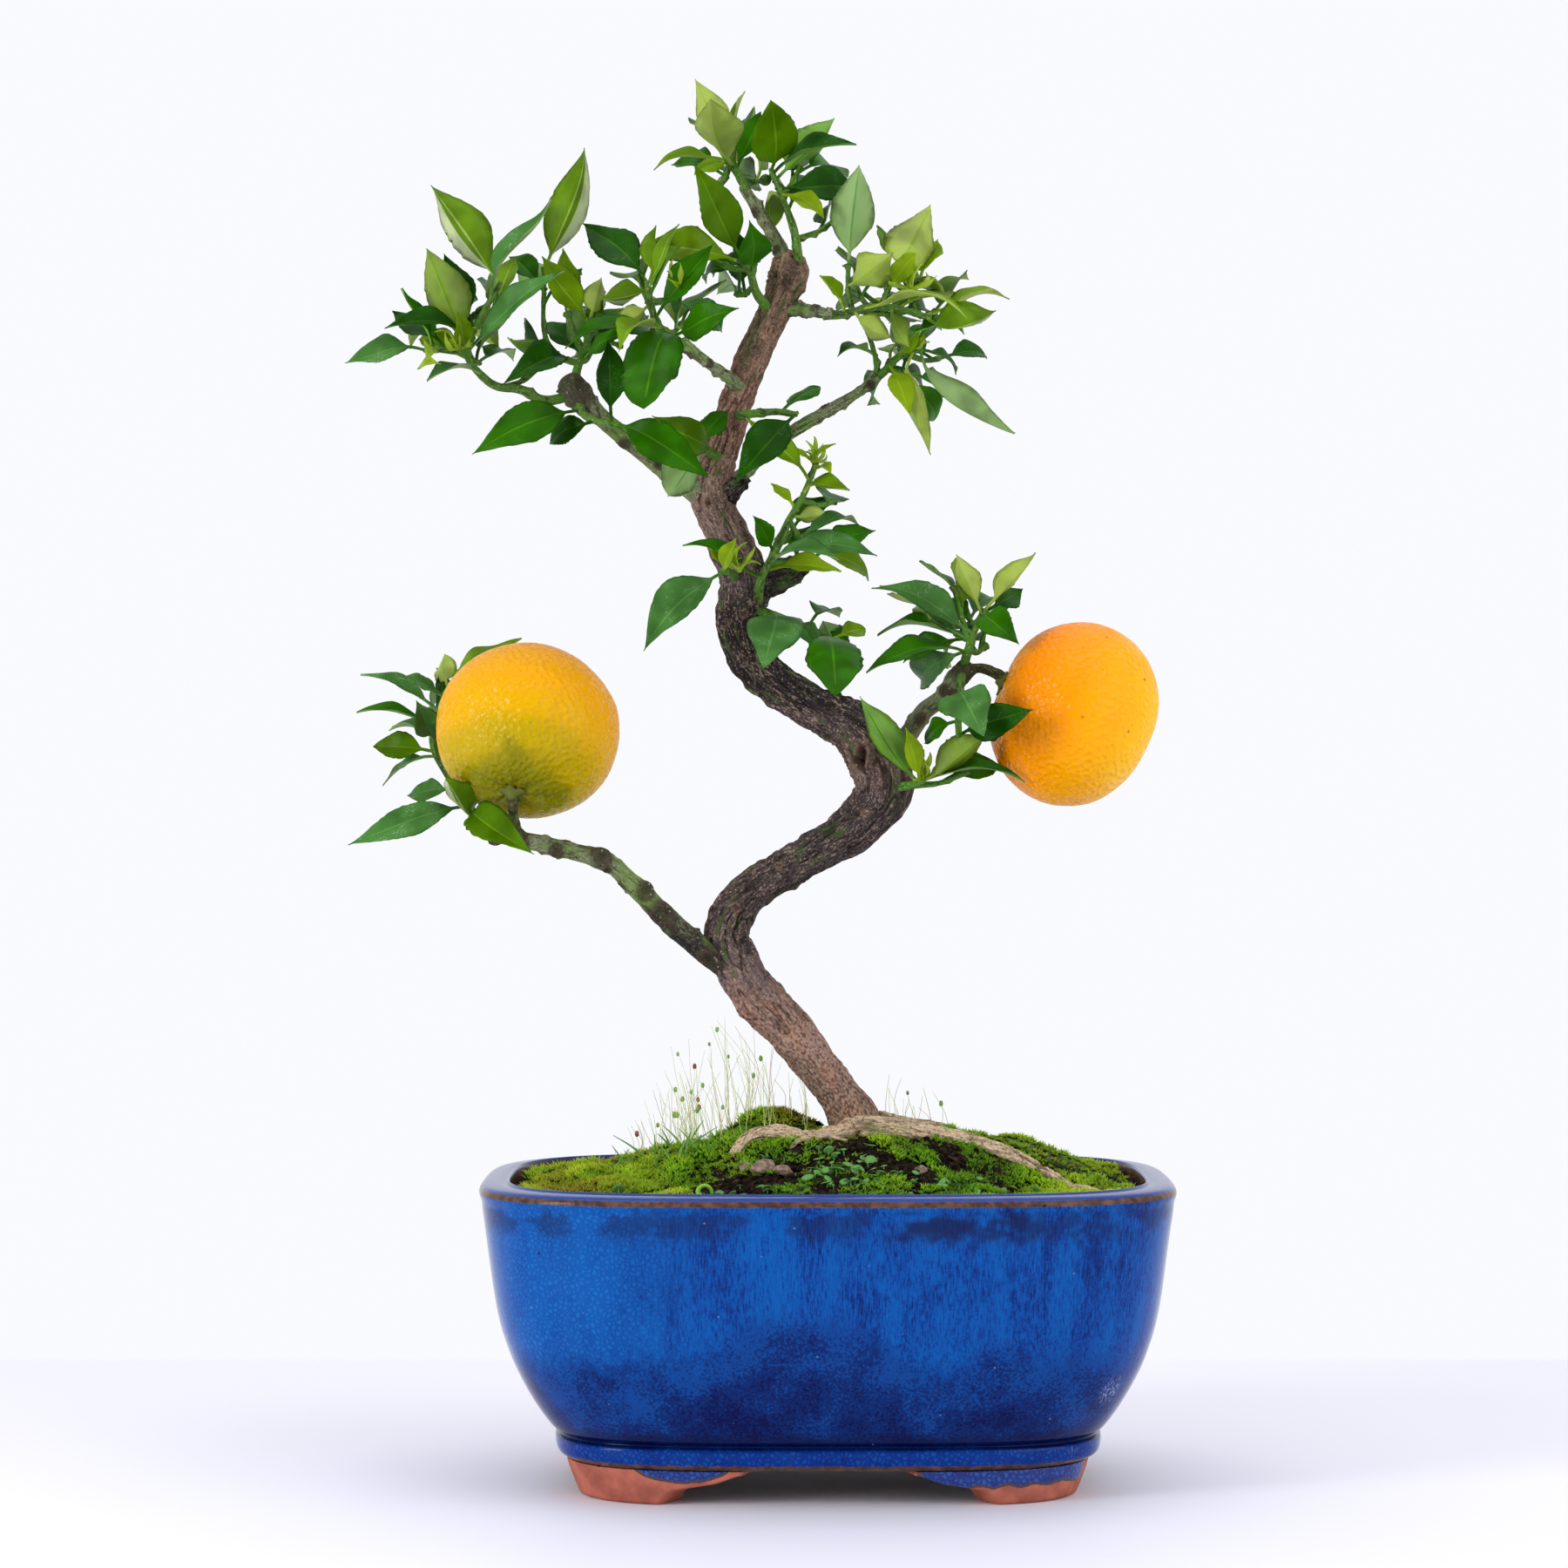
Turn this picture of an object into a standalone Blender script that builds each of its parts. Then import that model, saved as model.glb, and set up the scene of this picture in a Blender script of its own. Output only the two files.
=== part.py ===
"""Chinotto orange bonsai in a blue glazed pot, as one named object for each sub-part.

A rounded rectangular pot, 197 mm wide, on four cloud feet is filled with mossy soil. The trunk rises from
its surface roots in two sharp bends. Seven boughs leave it, two of them carry a fruit, and the
leaves are eighteen masses, each grown from one stem that meets its bough or the trunk.

Lengths below are in millimetres, measured from the middle of the pot: +X to the right, +Y to the
back, +Z up from a level 1.8 mm above the undersides of the feet. They become metres when a mesh is
made, and the finished object is moved to stand on the floor.
"""

import math
import random

import bmesh
import bpy
import numpy as np
from mathutils import Vector
from mathutils.bvhtree import BVHTree

MM = 0.001
GAP = 0.3
SHARP_ANGLE = math.radians(40)

# Pot
RIM_WIDTH = 197.0
RIM_DEPTH = 146.0
BASE_WIDTH = 154.0
BASE_DEPTH = 110.0
CORNER_POWER = 3.8
POT_SEGMENTS = 36
RIM_TOP = 85.2
FLOOR_TOP = 20.0
UNDERSIDE = 8.4
# Height and half-width, up the outside, over the lip and down the inside
POT_PROFILE = (
    (UNDERSIDE, 74.4),
    (10.1, 76.8),
    (13.8, 77.4),
    (15.2, 76.1),
    (17.0, 78.5),
    (22.4, 82.5),
    (29.7, 86.7),
    (38.0, 90.3),
    (50.0, 93.6),
    (75.0, 97.2),
    (80.0, 97.8),
    (82.8, 98.5),
    (84.6, 97.5),
    (RIM_TOP, 95.2),
    (RIM_TOP, 91.5),
    (83.6, 89.6),
    (62.0, 87.4),
    (40.0, 82.4),
    (26.0, 71.5),
    (FLOOR_TOP, 58.0),
)

# Feet: angle round the quarter outline, and height of the arched lower edge there. Heights are counted from a
# level a little above the feet's undersides
FOOT_BOTTOM = -1.8
FOOT_STATIONS = (
    (5.0, 7.2),
    (10.0, 4.6),
    (15.5, 2.9),
    (18.0, FOOT_BOTTOM),
    (28.0, FOOT_BOTTOM),
    (40.0, FOOT_BOTTOM),
    (50.0, FOOT_BOTTOM),
    (64.0, FOOT_BOTTOM),
    (66.5, 1.9),
    (71.0, 2.9),
    (78.6, 4.4),
    (83.2, 7.2),
)
FOOT_TOP = UNDERSIDE - GAP
FOOT_OUTER_TOP = (74.4, 52.7)
FOOT_OUTER_BOTTOM = (71.6, 50.9)
FOOT_THICKNESS = 9.0

# Soil
SOIL_EDGE = 82.8
SOIL_PEAK = 96.4
SOIL_PLATEAU = 0.38
MOUND_CENTRE = (9.0, 2.0)
MOUND_REACH = (78.0, 52.0)
SOIL_SEGMENTS = 28
SOIL_RINGS = (0.13, 0.26, 0.4, 0.55, 0.7, 0.85, 1.0)
SOIL_WALL_GAP = 0.6
SOIL_EDGE_INSET = 1.0
SOIL_STEP = 0.3
CUTTER_FLOOR = 60.0

# Moss pads: centre, half-lengths and thickness
MOSS_PADS = {
    "moss_left": ((-60.0, -6.0), (24.0, 40.0), 3.6),
    "moss_mound": ((-15.0, 12.0), (14.0, 12.0), 5.0),
    "moss_front": ((14.0, -46.0), (35.0, 13.0), 3.2),
    "moss_right": ((66.0, 20.0), (19.0, 28.0), 3.6),
    "moss_back": ((6.0, 48.0), (34.0, 12.0), 3.6),
}
MOSS_SEGMENTS = 10
MOSS_RINGS = (0.4, 0.75, 1.0)
MOSS_LIFT = 1.2
MOSS_RIM = 0.5

# Limbs: x, y, z and radius at each bend
TRUNK = (
    (10, 2, 90, 9.4),
    (9, 2, 98, 8.0),
    (3, 3, 109, 6.0),
    (-10, 4, 125, 6.3),
    (-20, 5, 136, 7.2),
    (-27, 6, 148, 6.3),
    (-28.5, 5, 157, 6.1),
    (-22, 2, 166, 5.9),
    (-6, -1, 176, 5.9),
    (8, -3, 185, 7.0),
    (15.5, -4, 196, 7.6),
    (11, -4, 210, 8.0),
    (-4, -2, 219.5, 6.4),
    (-18, 0, 229, 6.4),
    (-24.5, 2, 241, 6.2),
    (-24, 3, 256, 7.0),
    (-28.5, 4, 268, 6.3),
    (-33.5, 4, 281, 6.2),
    (-30, 4, 295, 4.9),
    (-21.5, 1.5, 319, 4.7),
    (-13, 0, 337, 4.8),
    (-11, 0, 343, 5.5),
    (-11, 0, 347, 4.6),
)
TRUNK_SIDES = 8
TRUNK_STEPS = 2
BARK_BUMPS = 0.05
STUB = ((-23, 3, 254, 5.6), (-16, 2, 256, 5.0), (-11, 1, 258, 4.6), (-7, 0, 260, 3.2))
FORK_STUB = ((-32, 3, 279, 3.2), (-28, 1.5, 281, 2.6), (-25, 0.5, 283.5, 2.2), (-23.4, 0.2, 285.4, 1.2))
# Surface roots: x, y, height of the middle above the soil, and radius
ROOTS = (
    (
        (8, -3, 2.0, 4.4), (13, -10, 3.6, 3.3), (21, -13, 3.0, 2.9), (29, -13.5, 1.5, 2.5), (37, -14, 1.0, 2.3),
        (47, -15.5, 1.5, 2.1), (56, -18, 1.4, 1.8), (62, -20, 1.0, 1.6), (67, -23, 0.5, 1.3), (71, -26, -0.6, 0.9),
    ),
    (
        (8, -4, 2.0, 4.2), (3.5, -10.5, 1.6, 2.6), (-2, -13, 0.8, 2.1), (-7, -14, 0.8, 2.1), (-11.5, -14, 1.8, 2.3),
        (-17.5, -14.5, 2.6, 2.2), (-22.7, -15.5, 2.0, 2.0), (-27, -18, -0.8, 1.3),
    ),
    ((14, 5, 2.4, 4.6), (23, 10, 1.6, 3.0), (31, 13, 1.0, 2.2), (38, 15, -0.4, 1.2)),
    ((8, 7, 2.4, 4.6), (7, 17, 1.6, 3.0), (5, 26, 1.0, 2.2), (3, 33, -0.4, 1.2)),
)
ROOT_SIDES = 6

BOUGHS = {
    "bough_low_left": (
        (-26, 6, 143, 4.0), (-37, 2, 151, 3.9), (-47, -3, 160, 3.5), (-56, -7, 169, 3.1), (-63, -10, 175, 2.9),
        (-76, -12, 179, 2.8), (-88, -12, 182, 2.5), (-95, -12, 183, 2.1),
    ),
    "bough_low_right": (
        (14, 3, 199, 3.8), (24, 8, 212, 3.2), (28, 8, 218, 3.0), (33, 6, 222, 2.9), (37, 3, 227, 3.2),
        (40, 2, 230.5, 3.0),
    ),
    "bough_crown_left": (
        (-31, 4, 277, 4.6), (-44, -1, 286, 3.5), (-55, -6, 294, 3.0), (-66, -10, 303, 3.1), (-71, -12, 308, 4.2),
        (-73, -12, 311.5, 3.4),
    ),
    "bough_crown_inner": ((-24, 1, 311, 2.6), (-29, -6, 314, 2.1), (-34, -11, 317, 1.9), (-41, -16, 322, 1.9)),
    "bough_crown_right": (
        (-32, 5, 280, 3.2), (-27, 10, 284, 2.8), (-16, 14, 295, 2.1), (-6, 14, 302, 2.3), (8, 12, 310, 1.8),
        (14, 12, 315, 1.7),
    ),
    "bough_upper_right": ((-12, 0, 334, 3.0), (-7, -4, 333, 2.3), (1, -9, 331, 1.9)),
    "bough_apex": ((-11, 0, 342, 3.2), (-13, 0, 350, 2.6), (-16, 1, 356, 2.2), (-24, 4, 369, 1.9)),
}
BOUGH_SIDES = 6
BOUGH_STEPS = 2

# Fruit: centre, direction of the stalk end, half-length along it, half-width across it, stalk path
FRUITS = {
    "fruit_left": (
        (-85, -14, 212.4), (-0.16, -0.6, -0.78), 24.2, 26.2,
        ((-86, -12, 182, 1.9), (-87.5, -20, 184.5, 1.7), (-88.5, -26, 189, 1.9), (-88.3, -26.5, 195, 2.4)),
    ),
    "fruit_right": (
        (70.8, 0, 217.4), (-0.92, 0.0, 0.4), 23.9, 26.9,
        ((38, 2, 229, 2.4), (43, 2, 230.6, 2.1), (48, 0.8, 229.4, 2.3), (54, 0, 225.4, 2.6)),
    ),
}
FRUIT_SEGMENTS = 14
FRUIT_RINGS = 8
FRUIT_DIMPLE = 0.09
FRUIT_DIMPLE_WIDTH = 0.35

# Leaves
LEAF_STATIONS = (0.16, 0.42, 0.74)
LEAF_WIDTHS = (0.16, 1.0, 0.7)
SMALL_LEAF_STATIONS = (0.3, 0.66)
SMALL_LEAF_WIDTHS = (0.75, 0.85)
SMALL_LEAF_LENGTH = 34.0
LEAF_THICKNESS = 0.035
LEAF_LEAST_THICKNESS = 0.9
LEAF_BASE_SLIM = 0.75
LEAF_FOLD = 0.30
LEAF_ROOT = 1.0
LEAF_ARCH = (0.05, 0.1)
LEAF_TURNS = (25, 80)
TIP_LIFT = 0.25
GUARD = 0.7
GUARD_START = 0.25
SWINGS = (0, -5, 5, -10, 10, -15, 15)
STEM_RADII = (1.7, 1.0)
TWIG_RADII = (1.1, 0.8)
TWIG_SIDES = 3
TWIG_PLACES = (0.3, 0.65)
TWIG_DROP = 1.2
GOLDEN_ANGLE = math.radians(137.5)
TWIG_LENGTHS = (9.0, 17.0)
TWIG_LEAN = math.radians(58)
LEAF_LENGTHS = (19.0, 29.0)
LEAF_LEAN = math.radians(48)
LEAVES_PER_TWIG = 4
TRIES_PER_LEAF = 5
WIDTH_TO_LENGTH = 0.38

# Each mass: its stems, its outer leaves as (stem, place along it, tip x, y, z, width, turn of the
# upper side away from the viewer in degrees), the middle and half-lengths of the space it keeps to,
# and how many seeded twigs fill that space
MASSES = {
    "leaves_low_left": dict(
        stems=(((-94, -12, 183), (-100, -11, 186), (-102, -7, 191), (-107, 0, 197), (-113, 4, 207), (-113, 6, 215),
                (-109, 9, 226)),),
        leaves=(
            (0, 0.24, -136, -14, 180, 9, 20), (0, 0.37, -121, 5, 194, 7, 30), (0, 0.19, -107, -32, 199, 10, 150),
            (0, 0.18, -82, -31, 178, 10, 15), (0, 0.85, -135, 12, 229, 6, 55), (0, 0.93, -123, 4, 228, 6, 55),
            (0, 0.98, -111, 19, 235, 7, 160), (0, 0.77, -135, 0, 218, 6, 70), (0, 0.69, -117, -10, 221, 8, 10),
            (0, 0.72, -127, 14, 213, 6, 75), (0, 0.63, -131, 8, 208, 8, 20), (0, 0.6, -128, -1, 197, 7, 70),
            (0, 1.0, -89, 21, 240, 9, 60),
        ),
        middle=(-102, 22, 214), room=(22, 24, 24), twigs=5, seed=11,
    ),
    "leaves_crown_left_out": dict(
        stems=(
            ((-72, -12, 308), (-80, -15, 306), (-87, -16, 309), (-94, -17, 310), (-99, -18, 314), (-102, -18, 319),
             (-100, -17, 326), (-93, -15, 339)),
            ((-102, -18, 319), (-108, -19, 320), (-114, -18, 320)),
        ),
        leaves=(
            (0, 1.0, -113, -8, 368, 12, 165), (0, 0.92, -78, -23, 362, 9, 60), (0, 0.65, -113, -24, 348, 12, 170),
            (0, 0.74, -109, -12, 348, 9, 10), (0, 0.7, -124, -26, 325, 8, 50), (1, 0.47, -124, -8, 332, 9, 30),
            (1, 1.0, -136, -23, 316, 8, 150), (0, 0.48, -112, -34, 310, 8, 105), (0, 0.63, -74, -30, 341, 9, 40),
            (1, 0.8, -120, -13, 337, 7, 70), (0, 0.62, -104, -28, 330, 6, 30), (1, 0.7, -108, -40, 314, 8, 80),
        ),
        middle=(-99, 0, 330), room=(24, 32, 22), twigs=5, seed=23,
    ),
    "leaves_crown_left_top": dict(
        stems=(
            ((-72, -12, 311), (-71, -10, 316), (-69, -8, 321), (-68, -6, 330)),
            ((-71, -9, 317), (-77, -6, 320), (-81, -3, 327), (-81, 0, 345)),
        ),
        leaves=(
            (1, 1.0, -70, 8, 381, 11, 160), (0, 0.93, -81, -14, 347, 9, 20), (1, 0.8, -89, 26, 349, 10, 170),
            (0, 0.57, -76, 16, 338, 10, 150), (1, 0.24, -90, -26, 323, 9, 100), (0, 0.4, -56, -21, 325, 8, 50),
            (1, 0.12, -91, -18, 309, 9, 15), (1, 0.7, -71, 15, 347, 8, 40), (0, 0.97, -65, 4, 343, 7, 160),
            (1, 0.84, -92, 13, 350, 7, 20),
        ),
        middle=(-72, 18, 338), room=(24, 28, 24), twigs=6, seed=31,
    ),
    "leaves_crown_left_low": dict(
        stems=(((-71, -12, 307), (-70, -16, 303), (-66, -20, 300), (-61, -23, 299)),),
        leaves=(
            (0, 0.3, -100, -26, 290, 11, 10), (0, 1.0, -33, -30, 283, 11, 10), (0, 1.0, -62, -19, 322, 9, 20),
            (0, 0.75, -79, -12, 294, 8, 30),
        ),
        middle=(-66, 6, 300), room=(18, 22, 14), twigs=0, seed=37,
    ),
    "leaves_crown_inner": dict(
        stems=(((-40, -15, 321), (-43, -18, 323), (-46, -19, 325), (-49, -20, 329), (-51, -19, 339)),),
        leaves=(
            (0, 1.0, -70, -1, 358, 12, 20), (0, 0.93, -42, -24, 355, 7, 50), (0, 0.96, -49, -12, 356, 7, 120),
            (0, 0.55, -32, -26, 349, 9, 30), (0, 0.92, -64, -31, 333, 7, 150), (0, 0.75, -60, -17, 326, 6, 150),
            (0, 0.25, -25, -35, 330, 10, 20), (0, 0.3, -51, -50, 301, 15, 10), (0, 0.4, -58, -40, 317, 9, 50),
            (0, 0.5, -74, -24, 320, 8, 55),
        ),
        middle=(-46, 6, 336), room=(20, 30, 22), twigs=5, seed=41,
    ),
    "leaves_fork_left": dict(
        stems=(((-31, 1, 291), (-35, -5, 293), (-38, -10, 294)),),
        leaves=((0, 0.5, -49, -24, 300, 9, 15), (0, 0.8, -45, -32, 278, 11, 160), (0, 0.95, -29, -14, 304, 7, 20)),
        middle=(-36, 14, 296), room=(18, 20, 14), twigs=0, seed=43,
    ),
    "leaves_fork_right": dict(
        stems=(((-26, 1, 303), (-21, -7, 303), (-14, -13, 303), (-9, -16, 302)),),
        leaves=((0, 1.0, -26, -30, 282, 11, 10), (0, 0.8, -2, -4, 311, 8, 60)),
        middle=(-10, 6, 300), room=(16, 24, 12), twigs=0, seed=47,
    ),
    "leaves_upper_left": dict(
        stems=(((-15, 0, 332), (-20, -7, 337), (-22, -10, 343), (-24, -10, 346)),),
        leaves=(
            (0, 1.0, -38, -17, 373, 11, 10), (0, 0.97, -52, -4, 353, 11, 15), (0, 0.8, -22, -31, 355, 10, 20),
            (0, 0.9, -35, 8, 342, 8, 50),
        ),
        middle=(-34, 12, 350), room=(18, 26, 16), twigs=5, seed=53,
    ),
    "leaves_apex": dict(
        stems=(((-23, 4, 368), (-25, 4, 372), (-28, 4, 376), (-30, 4, 379)),),
        leaves=(
            (0, 1.0, -38, 9, 401, 9, 170), (0, 0.65, -33, -23, 390, 13, 160), (0, 0.5, -24, 18, 399, 8, 70),
            (0, 0.8, -50, 9, 375, 6, 60), (0, 0.7, -38, -7, 372, 6, 40), (0, 0.5, -19, 15, 391, 8, 20),
        ),
        middle=(-30, 16, 382), room=(18, 24, 16), twigs=4, seed=59,
    ),
    "leaves_apex_right": dict(
        stems=(((-8, -1, 342), (-8.5, -6, 350), (-10, -7, 357), (-13, -6, 365), (-16, -4, 373)),),
        leaves=(
            (0, 1.0, -16, -28, 389, 13, 20), (0, 0.9, 2, 4, 389, 10, 150), (0, 0.96, 8, -20, 378, 10, 60),
            (0, 0.82, 8, 10, 369, 10, 15), (0, 0.76, -1, -14, 358, 7, 40), (0, 0.72, -17, 14, 357, 7, 150),
            (0, 0.6, -5, 10, 372, 6, 20),
        ),
        middle=(0, 16, 372), room=(16, 26, 18), twigs=5, seed=61,
    ),
    "leaves_upper_right": dict(
        stems=(
            ((-1, -8, 331), (4, -10, 331), (9, -11, 332), (15, -12, 333), (22, -12, 332), (29, -11, 330)),
            ((7, -11, 332), (6, -7, 338), (6, -5, 345)),
            ((15, -12, 333), (17, -12, 337), (18, -11, 341)),
        ),
        leaves=(
            (1, 1.0, 9, -13, 373, 12, 5), (2, 1.0, 30, 12, 365, 14, 175), (1, 0.6, 18, -30, 346, 11, 170),
            (2, 0.7, 34, 2, 338, 8, 80), (0, 0.7, 40, 5, 336, 9, 75), (0, 0.95, 52, -6, 336, 9, 75),
            (0, 0.97, 47, -30, 330, 10, 120), (0, 0.35, 39, -20, 328, 9, 80), (0, 0.3, 18, -22, 323, 7, 150),
            (0, 0.65, 23, -25, 320, 7, 150), (0, 0.2, -2, -20, 341, 6, 60), (2, 0.6, 25, -4, 348, 7, 30),
        ),
        middle=(24, 10, 342), room=(28, 30, 18), twigs=7, seed=67,
    ),
    "leaves_crown_right": dict(
        stems=(
            ((13, 12, 314), (17, 11, 317), (21, 10, 321), (27, 9, 323)),
            ((15, 12, 316), (14, 10, 321), (12, 9, 328)),
        ),
        leaves=(
            (0, 1.0, 54, 1, 298, 9, 60), (0, 0.88, 30, 3, 292, 7, 50), (0, 0.4, 24, 1, 303, 7, 10),
            (0, 0.97, 38, 22, 317, 6, 70), (1, 0.45, 3, -3, 320, 6, 80), (0, 0.75, 34, 31, 331, 9, 60),
            (1, 0.95, 20, 16, 340, 6, 30), (0, 0.6, 27, -6, 328, 7, 60),
        ),
        middle=(28, 32, 316), room=(22, 24, 18), twigs=5, seed=71,
    ),
    "leaves_mid": dict(
        stems=(((-20, 1, 248), (-19, -8, 255), (-15, -12, 263), (-11, -13, 272), (-7, -12, 279), (-3, -10, 289)),),
        leaves=(
            (0, 0.42, -21, -20, 273, 6, 20), (0, 0.38, 14, -18, 262, 10, 50), (0, 0.34, 3, -30, 260, 9, 60),
            (0, 0.65, -1, -7, 275, 5, 150), (0, 0.8, 6, -26, 280, 7, 60), (0, 0.95, 1, -21, 285, 5, 60),
            (0, 0.88, -23, -17, 301, 8, 40), (0, 0.3, 4, -6, 258, 7, 40), (0, 0.7, -16, -9, 283, 4, 40),
            (0, 0.25, -41, -16, 265, 7, 60),
        ),
        middle=(2, 12, 268), room=(18, 28, 18), twigs=5, seed=73,
    ),
    "leaves_mid_left": dict(
        stems=(((-26, 0, 256), (-27, -7, 257), (-29, -13, 258)),),
        leaves=((0, 0.95, -52, -19, 235, 12, 25), (0, 0.8, -26, -19, 266, 5, 40), (0, 0.9, -33, -20, 266, 5, 40)),
        middle=(-40, 8, 254), room=(16, 22, 12), twigs=0, seed=79,
    ),
    "leaves_mid_low": dict(
        stems=(((-20, 0, 247), (-17, -6, 246), (-9, -11, 243), (-3, -11, 240), (2, -11, 238)),),
        leaves=(
            (0, 0.35, -18, -36, 230, 15, 10), (0, 0.55, -3, -20, 235, 6, 30), (0, 0.97, -1, 5, 244, 7, 150),
            (0, 0.97, 11, 0, 242, 6, 30), (0, 0.97, 2, -46, 222, 15, 10),
        ),
        middle=(2, 10, 238), room=(16, 22, 12), twigs=3, seed=83,
    ),
    "leaves_elbow": dict(
        stems=(((18, -6, 196), (24, -12, 197), (27, -14, 198)),),
        leaves=(
            (0, 0.9, 9, -24, 222, 9, 160), (0, 0.97, 45, -19, 212, 9, 160), (0, 0.85, 56, -10, 198, 7, 65),
            (0, 0.9, 22, -20, 213, 6, 30),
        ),
        middle=(36, 0, 206), room=(18, 18, 12), twigs=1, seed=89,
    ),
    "leaves_low_right": dict(
        stems=(((39, 2, 230), (40, 0, 234), (41, 0, 237), (43, 0, 243), (45, 0, 247)),),
        leaves=(
            (0, 0.6, 15, -7, 254, 10, 40), (0, 0.5, 13, 7, 254, 8, 60), (0, 0.94, 37, -4, 263, 7, 160),
            (0, 0.98, 60, 5, 264, 7, 140), (0, 0.94, 57, 10, 254, 7, 10), (0, 0.93, 54, -18, 237, 9, 10),
            (0, 0.35, 29, 23, 227, 10, 20), (0, 0.3, 11, -14, 229, 10, 60), (0, 0.7, 33, 15, 251, 7, 30),
        ),
        middle=(36, 14, 246), room=(24, 28, 18), twigs=6, seed=97,
    ),
    "leaves_low_right_low": dict(
        stems=(((39, 2, 229), (38, -6, 226), (38, -12, 222), (37, -18, 216), (37, -20, 211)),),
        leaves=((0, 0.5, 43, -40, 211, 14, 5), (0, 1.0, 57, -34, 218, 10, 15), (0, 0.85, 28, -8, 209, 7, 40)),
        middle=(34, 14, 212), room=(14, 20, 12), twigs=0, seed=101,
    ),
}

# Colours are linear red, green and blue, with roughness
FINISHES = {
    "glaze": ((0.010, 0.085, 0.47), 0.12),
    "terracotta": ((0.42, 0.13, 0.08), 0.75),
    "soil": ((0.025, 0.015, 0.010), 0.95),
    "moss": ((0.20, 0.36, 0.02), 0.9),
    "bark": ((0.14, 0.10, 0.08), 0.85),
    "green_bark": ((0.10, 0.13, 0.05), 0.75),
    "orange_peel": ((0.95, 0.33, 0.01), 0.35),
    "leaf": ((0.03, 0.19, 0.02), 0.35),
}


def clear_scene():
    for obj in list(bpy.data.objects):
        bpy.data.objects.remove(obj, do_unlink=True)


def make_material(name):
    """A Principled material with the colour and roughness of one finish."""
    colour, roughness = FINISHES[name]
    material = bpy.data.materials.new(name)
    material.use_nodes = True
    shader = material.node_tree.nodes["Principled BSDF"]
    shader.inputs["Base Color"].default_value = (*colour, 1.0)
    shader.inputs["Roughness"].default_value = roughness
    shader.inputs["Metallic"].default_value = 0.0
    return material


def make_object(name, shape, material=None, parent=None):
    """An object from points in millimetres and faces, with its normals turned outward."""
    points, faces = shape
    mesh = bpy.data.meshes.new(name)
    mesh.from_pydata([tuple(MM * float(value) for value in point) for point in points], [], faces)
    shape_mesh = bmesh.new()
    shape_mesh.from_mesh(mesh)
    bmesh.ops.recalc_face_normals(shape_mesh, faces=shape_mesh.faces)
    if shape_mesh.calc_volume(signed=True) < 0:
        bmesh.ops.reverse_faces(shape_mesh, faces=shape_mesh.faces)
    shape_mesh.to_mesh(mesh)
    shape_mesh.free()
    if material:
        mesh.materials.append(material)
    mesh.shade_smooth()
    mesh.set_sharp_from_angle(angle=SHARP_ANGLE)
    obj = bpy.data.objects.new(name, mesh)
    bpy.context.scene.collection.objects.link(obj)
    obj.parent = parent
    return obj


def rings_to_faces(rings, sides):
    """Quads between rings of points that follow each other, each ring closed on itself."""
    faces = []
    for ring in range(rings - 1):
        for side in range(sides):
            a = ring * sides + side
            b = ring * sides + (side + 1) % sides
            faces.append((a, b, b + sides, a + sides))
    return faces


def outline(half_width, half_depth, segments):
    """Points of a rounded rectangle, |x/a|^n + |y/b|^n = 1, anticlockwise from +X."""
    turn = np.linspace(0, 2 * math.pi, segments, endpoint=False)
    across, along = np.cos(turn), np.sin(turn)
    power = 2 / CORNER_POWER
    x = half_width * np.sign(across) * np.abs(across) ** power
    y = half_depth * np.sign(along) * np.abs(along) ** power
    return np.stack([x, y], axis=1)


def half_depth_of(half_width):
    """The pot narrows a little less in depth than in width from its rim to its base."""
    narrowing = (RIM_DEPTH - BASE_DEPTH) / (RIM_WIDTH - BASE_WIDTH)
    return RIM_DEPTH / 2 - narrowing * (RIM_WIDTH / 2 - half_width)


def pot_shape():
    points = []
    for height, half_width in POT_PROFILE:
        for x, y in outline(half_width, half_depth_of(half_width), POT_SEGMENTS):
            points.append((x, y, height))
    rings = len(POT_PROFILE)
    faces = rings_to_faces(rings, POT_SEGMENTS)
    underside = len(points)
    points += [(0, 0, UNDERSIDE), (0, 0, FLOOR_TOP)]
    last = (rings - 1) * POT_SEGMENTS
    for side in range(POT_SEGMENTS):
        after = (side + 1) % POT_SEGMENTS
        faces.append((underside, after, side))
        faces.append((underside + 1, last + side, last + after))
    return points, faces


def foot_shape(across, along):
    """One cloud foot: a wall along a quarter of the base outline, cut away in an arch at both ends."""
    points = []
    for angle, arch in FOOT_STATIONS:
        power = 2 / CORNER_POWER
        x = math.cos(math.radians(angle)) ** power
        y = math.sin(math.radians(angle)) ** power
        low = (FOOT_TOP - arch) / (FOOT_TOP - FOOT_BOTTOM)
        bottom_x = FOOT_OUTER_TOP[0] + (FOOT_OUTER_BOTTOM[0] - FOOT_OUTER_TOP[0]) * low
        bottom_y = FOOT_OUTER_TOP[1] + (FOOT_OUTER_BOTTOM[1] - FOOT_OUTER_TOP[1]) * low
        points += [
            (across * x * FOOT_OUTER_TOP[0], along * y * FOOT_OUTER_TOP[1], FOOT_TOP),
            (across * x * bottom_x, along * y * bottom_y, arch),
            (across * x * (bottom_x - FOOT_THICKNESS), along * y * (bottom_y - FOOT_THICKNESS), arch),
            (
                across * x * (FOOT_OUTER_TOP[0] - FOOT_THICKNESS),
                along * y * (FOOT_OUTER_TOP[1] - FOOT_THICKNESS),
                FOOT_TOP,
            ),
        ]
    faces = rings_to_faces(len(FOOT_STATIONS), 4)
    last = 4 * (len(FOOT_STATIONS) - 1)
    faces += [(3, 2, 1, 0), (last, last + 1, last + 2, last + 3)]
    return points, faces


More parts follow.
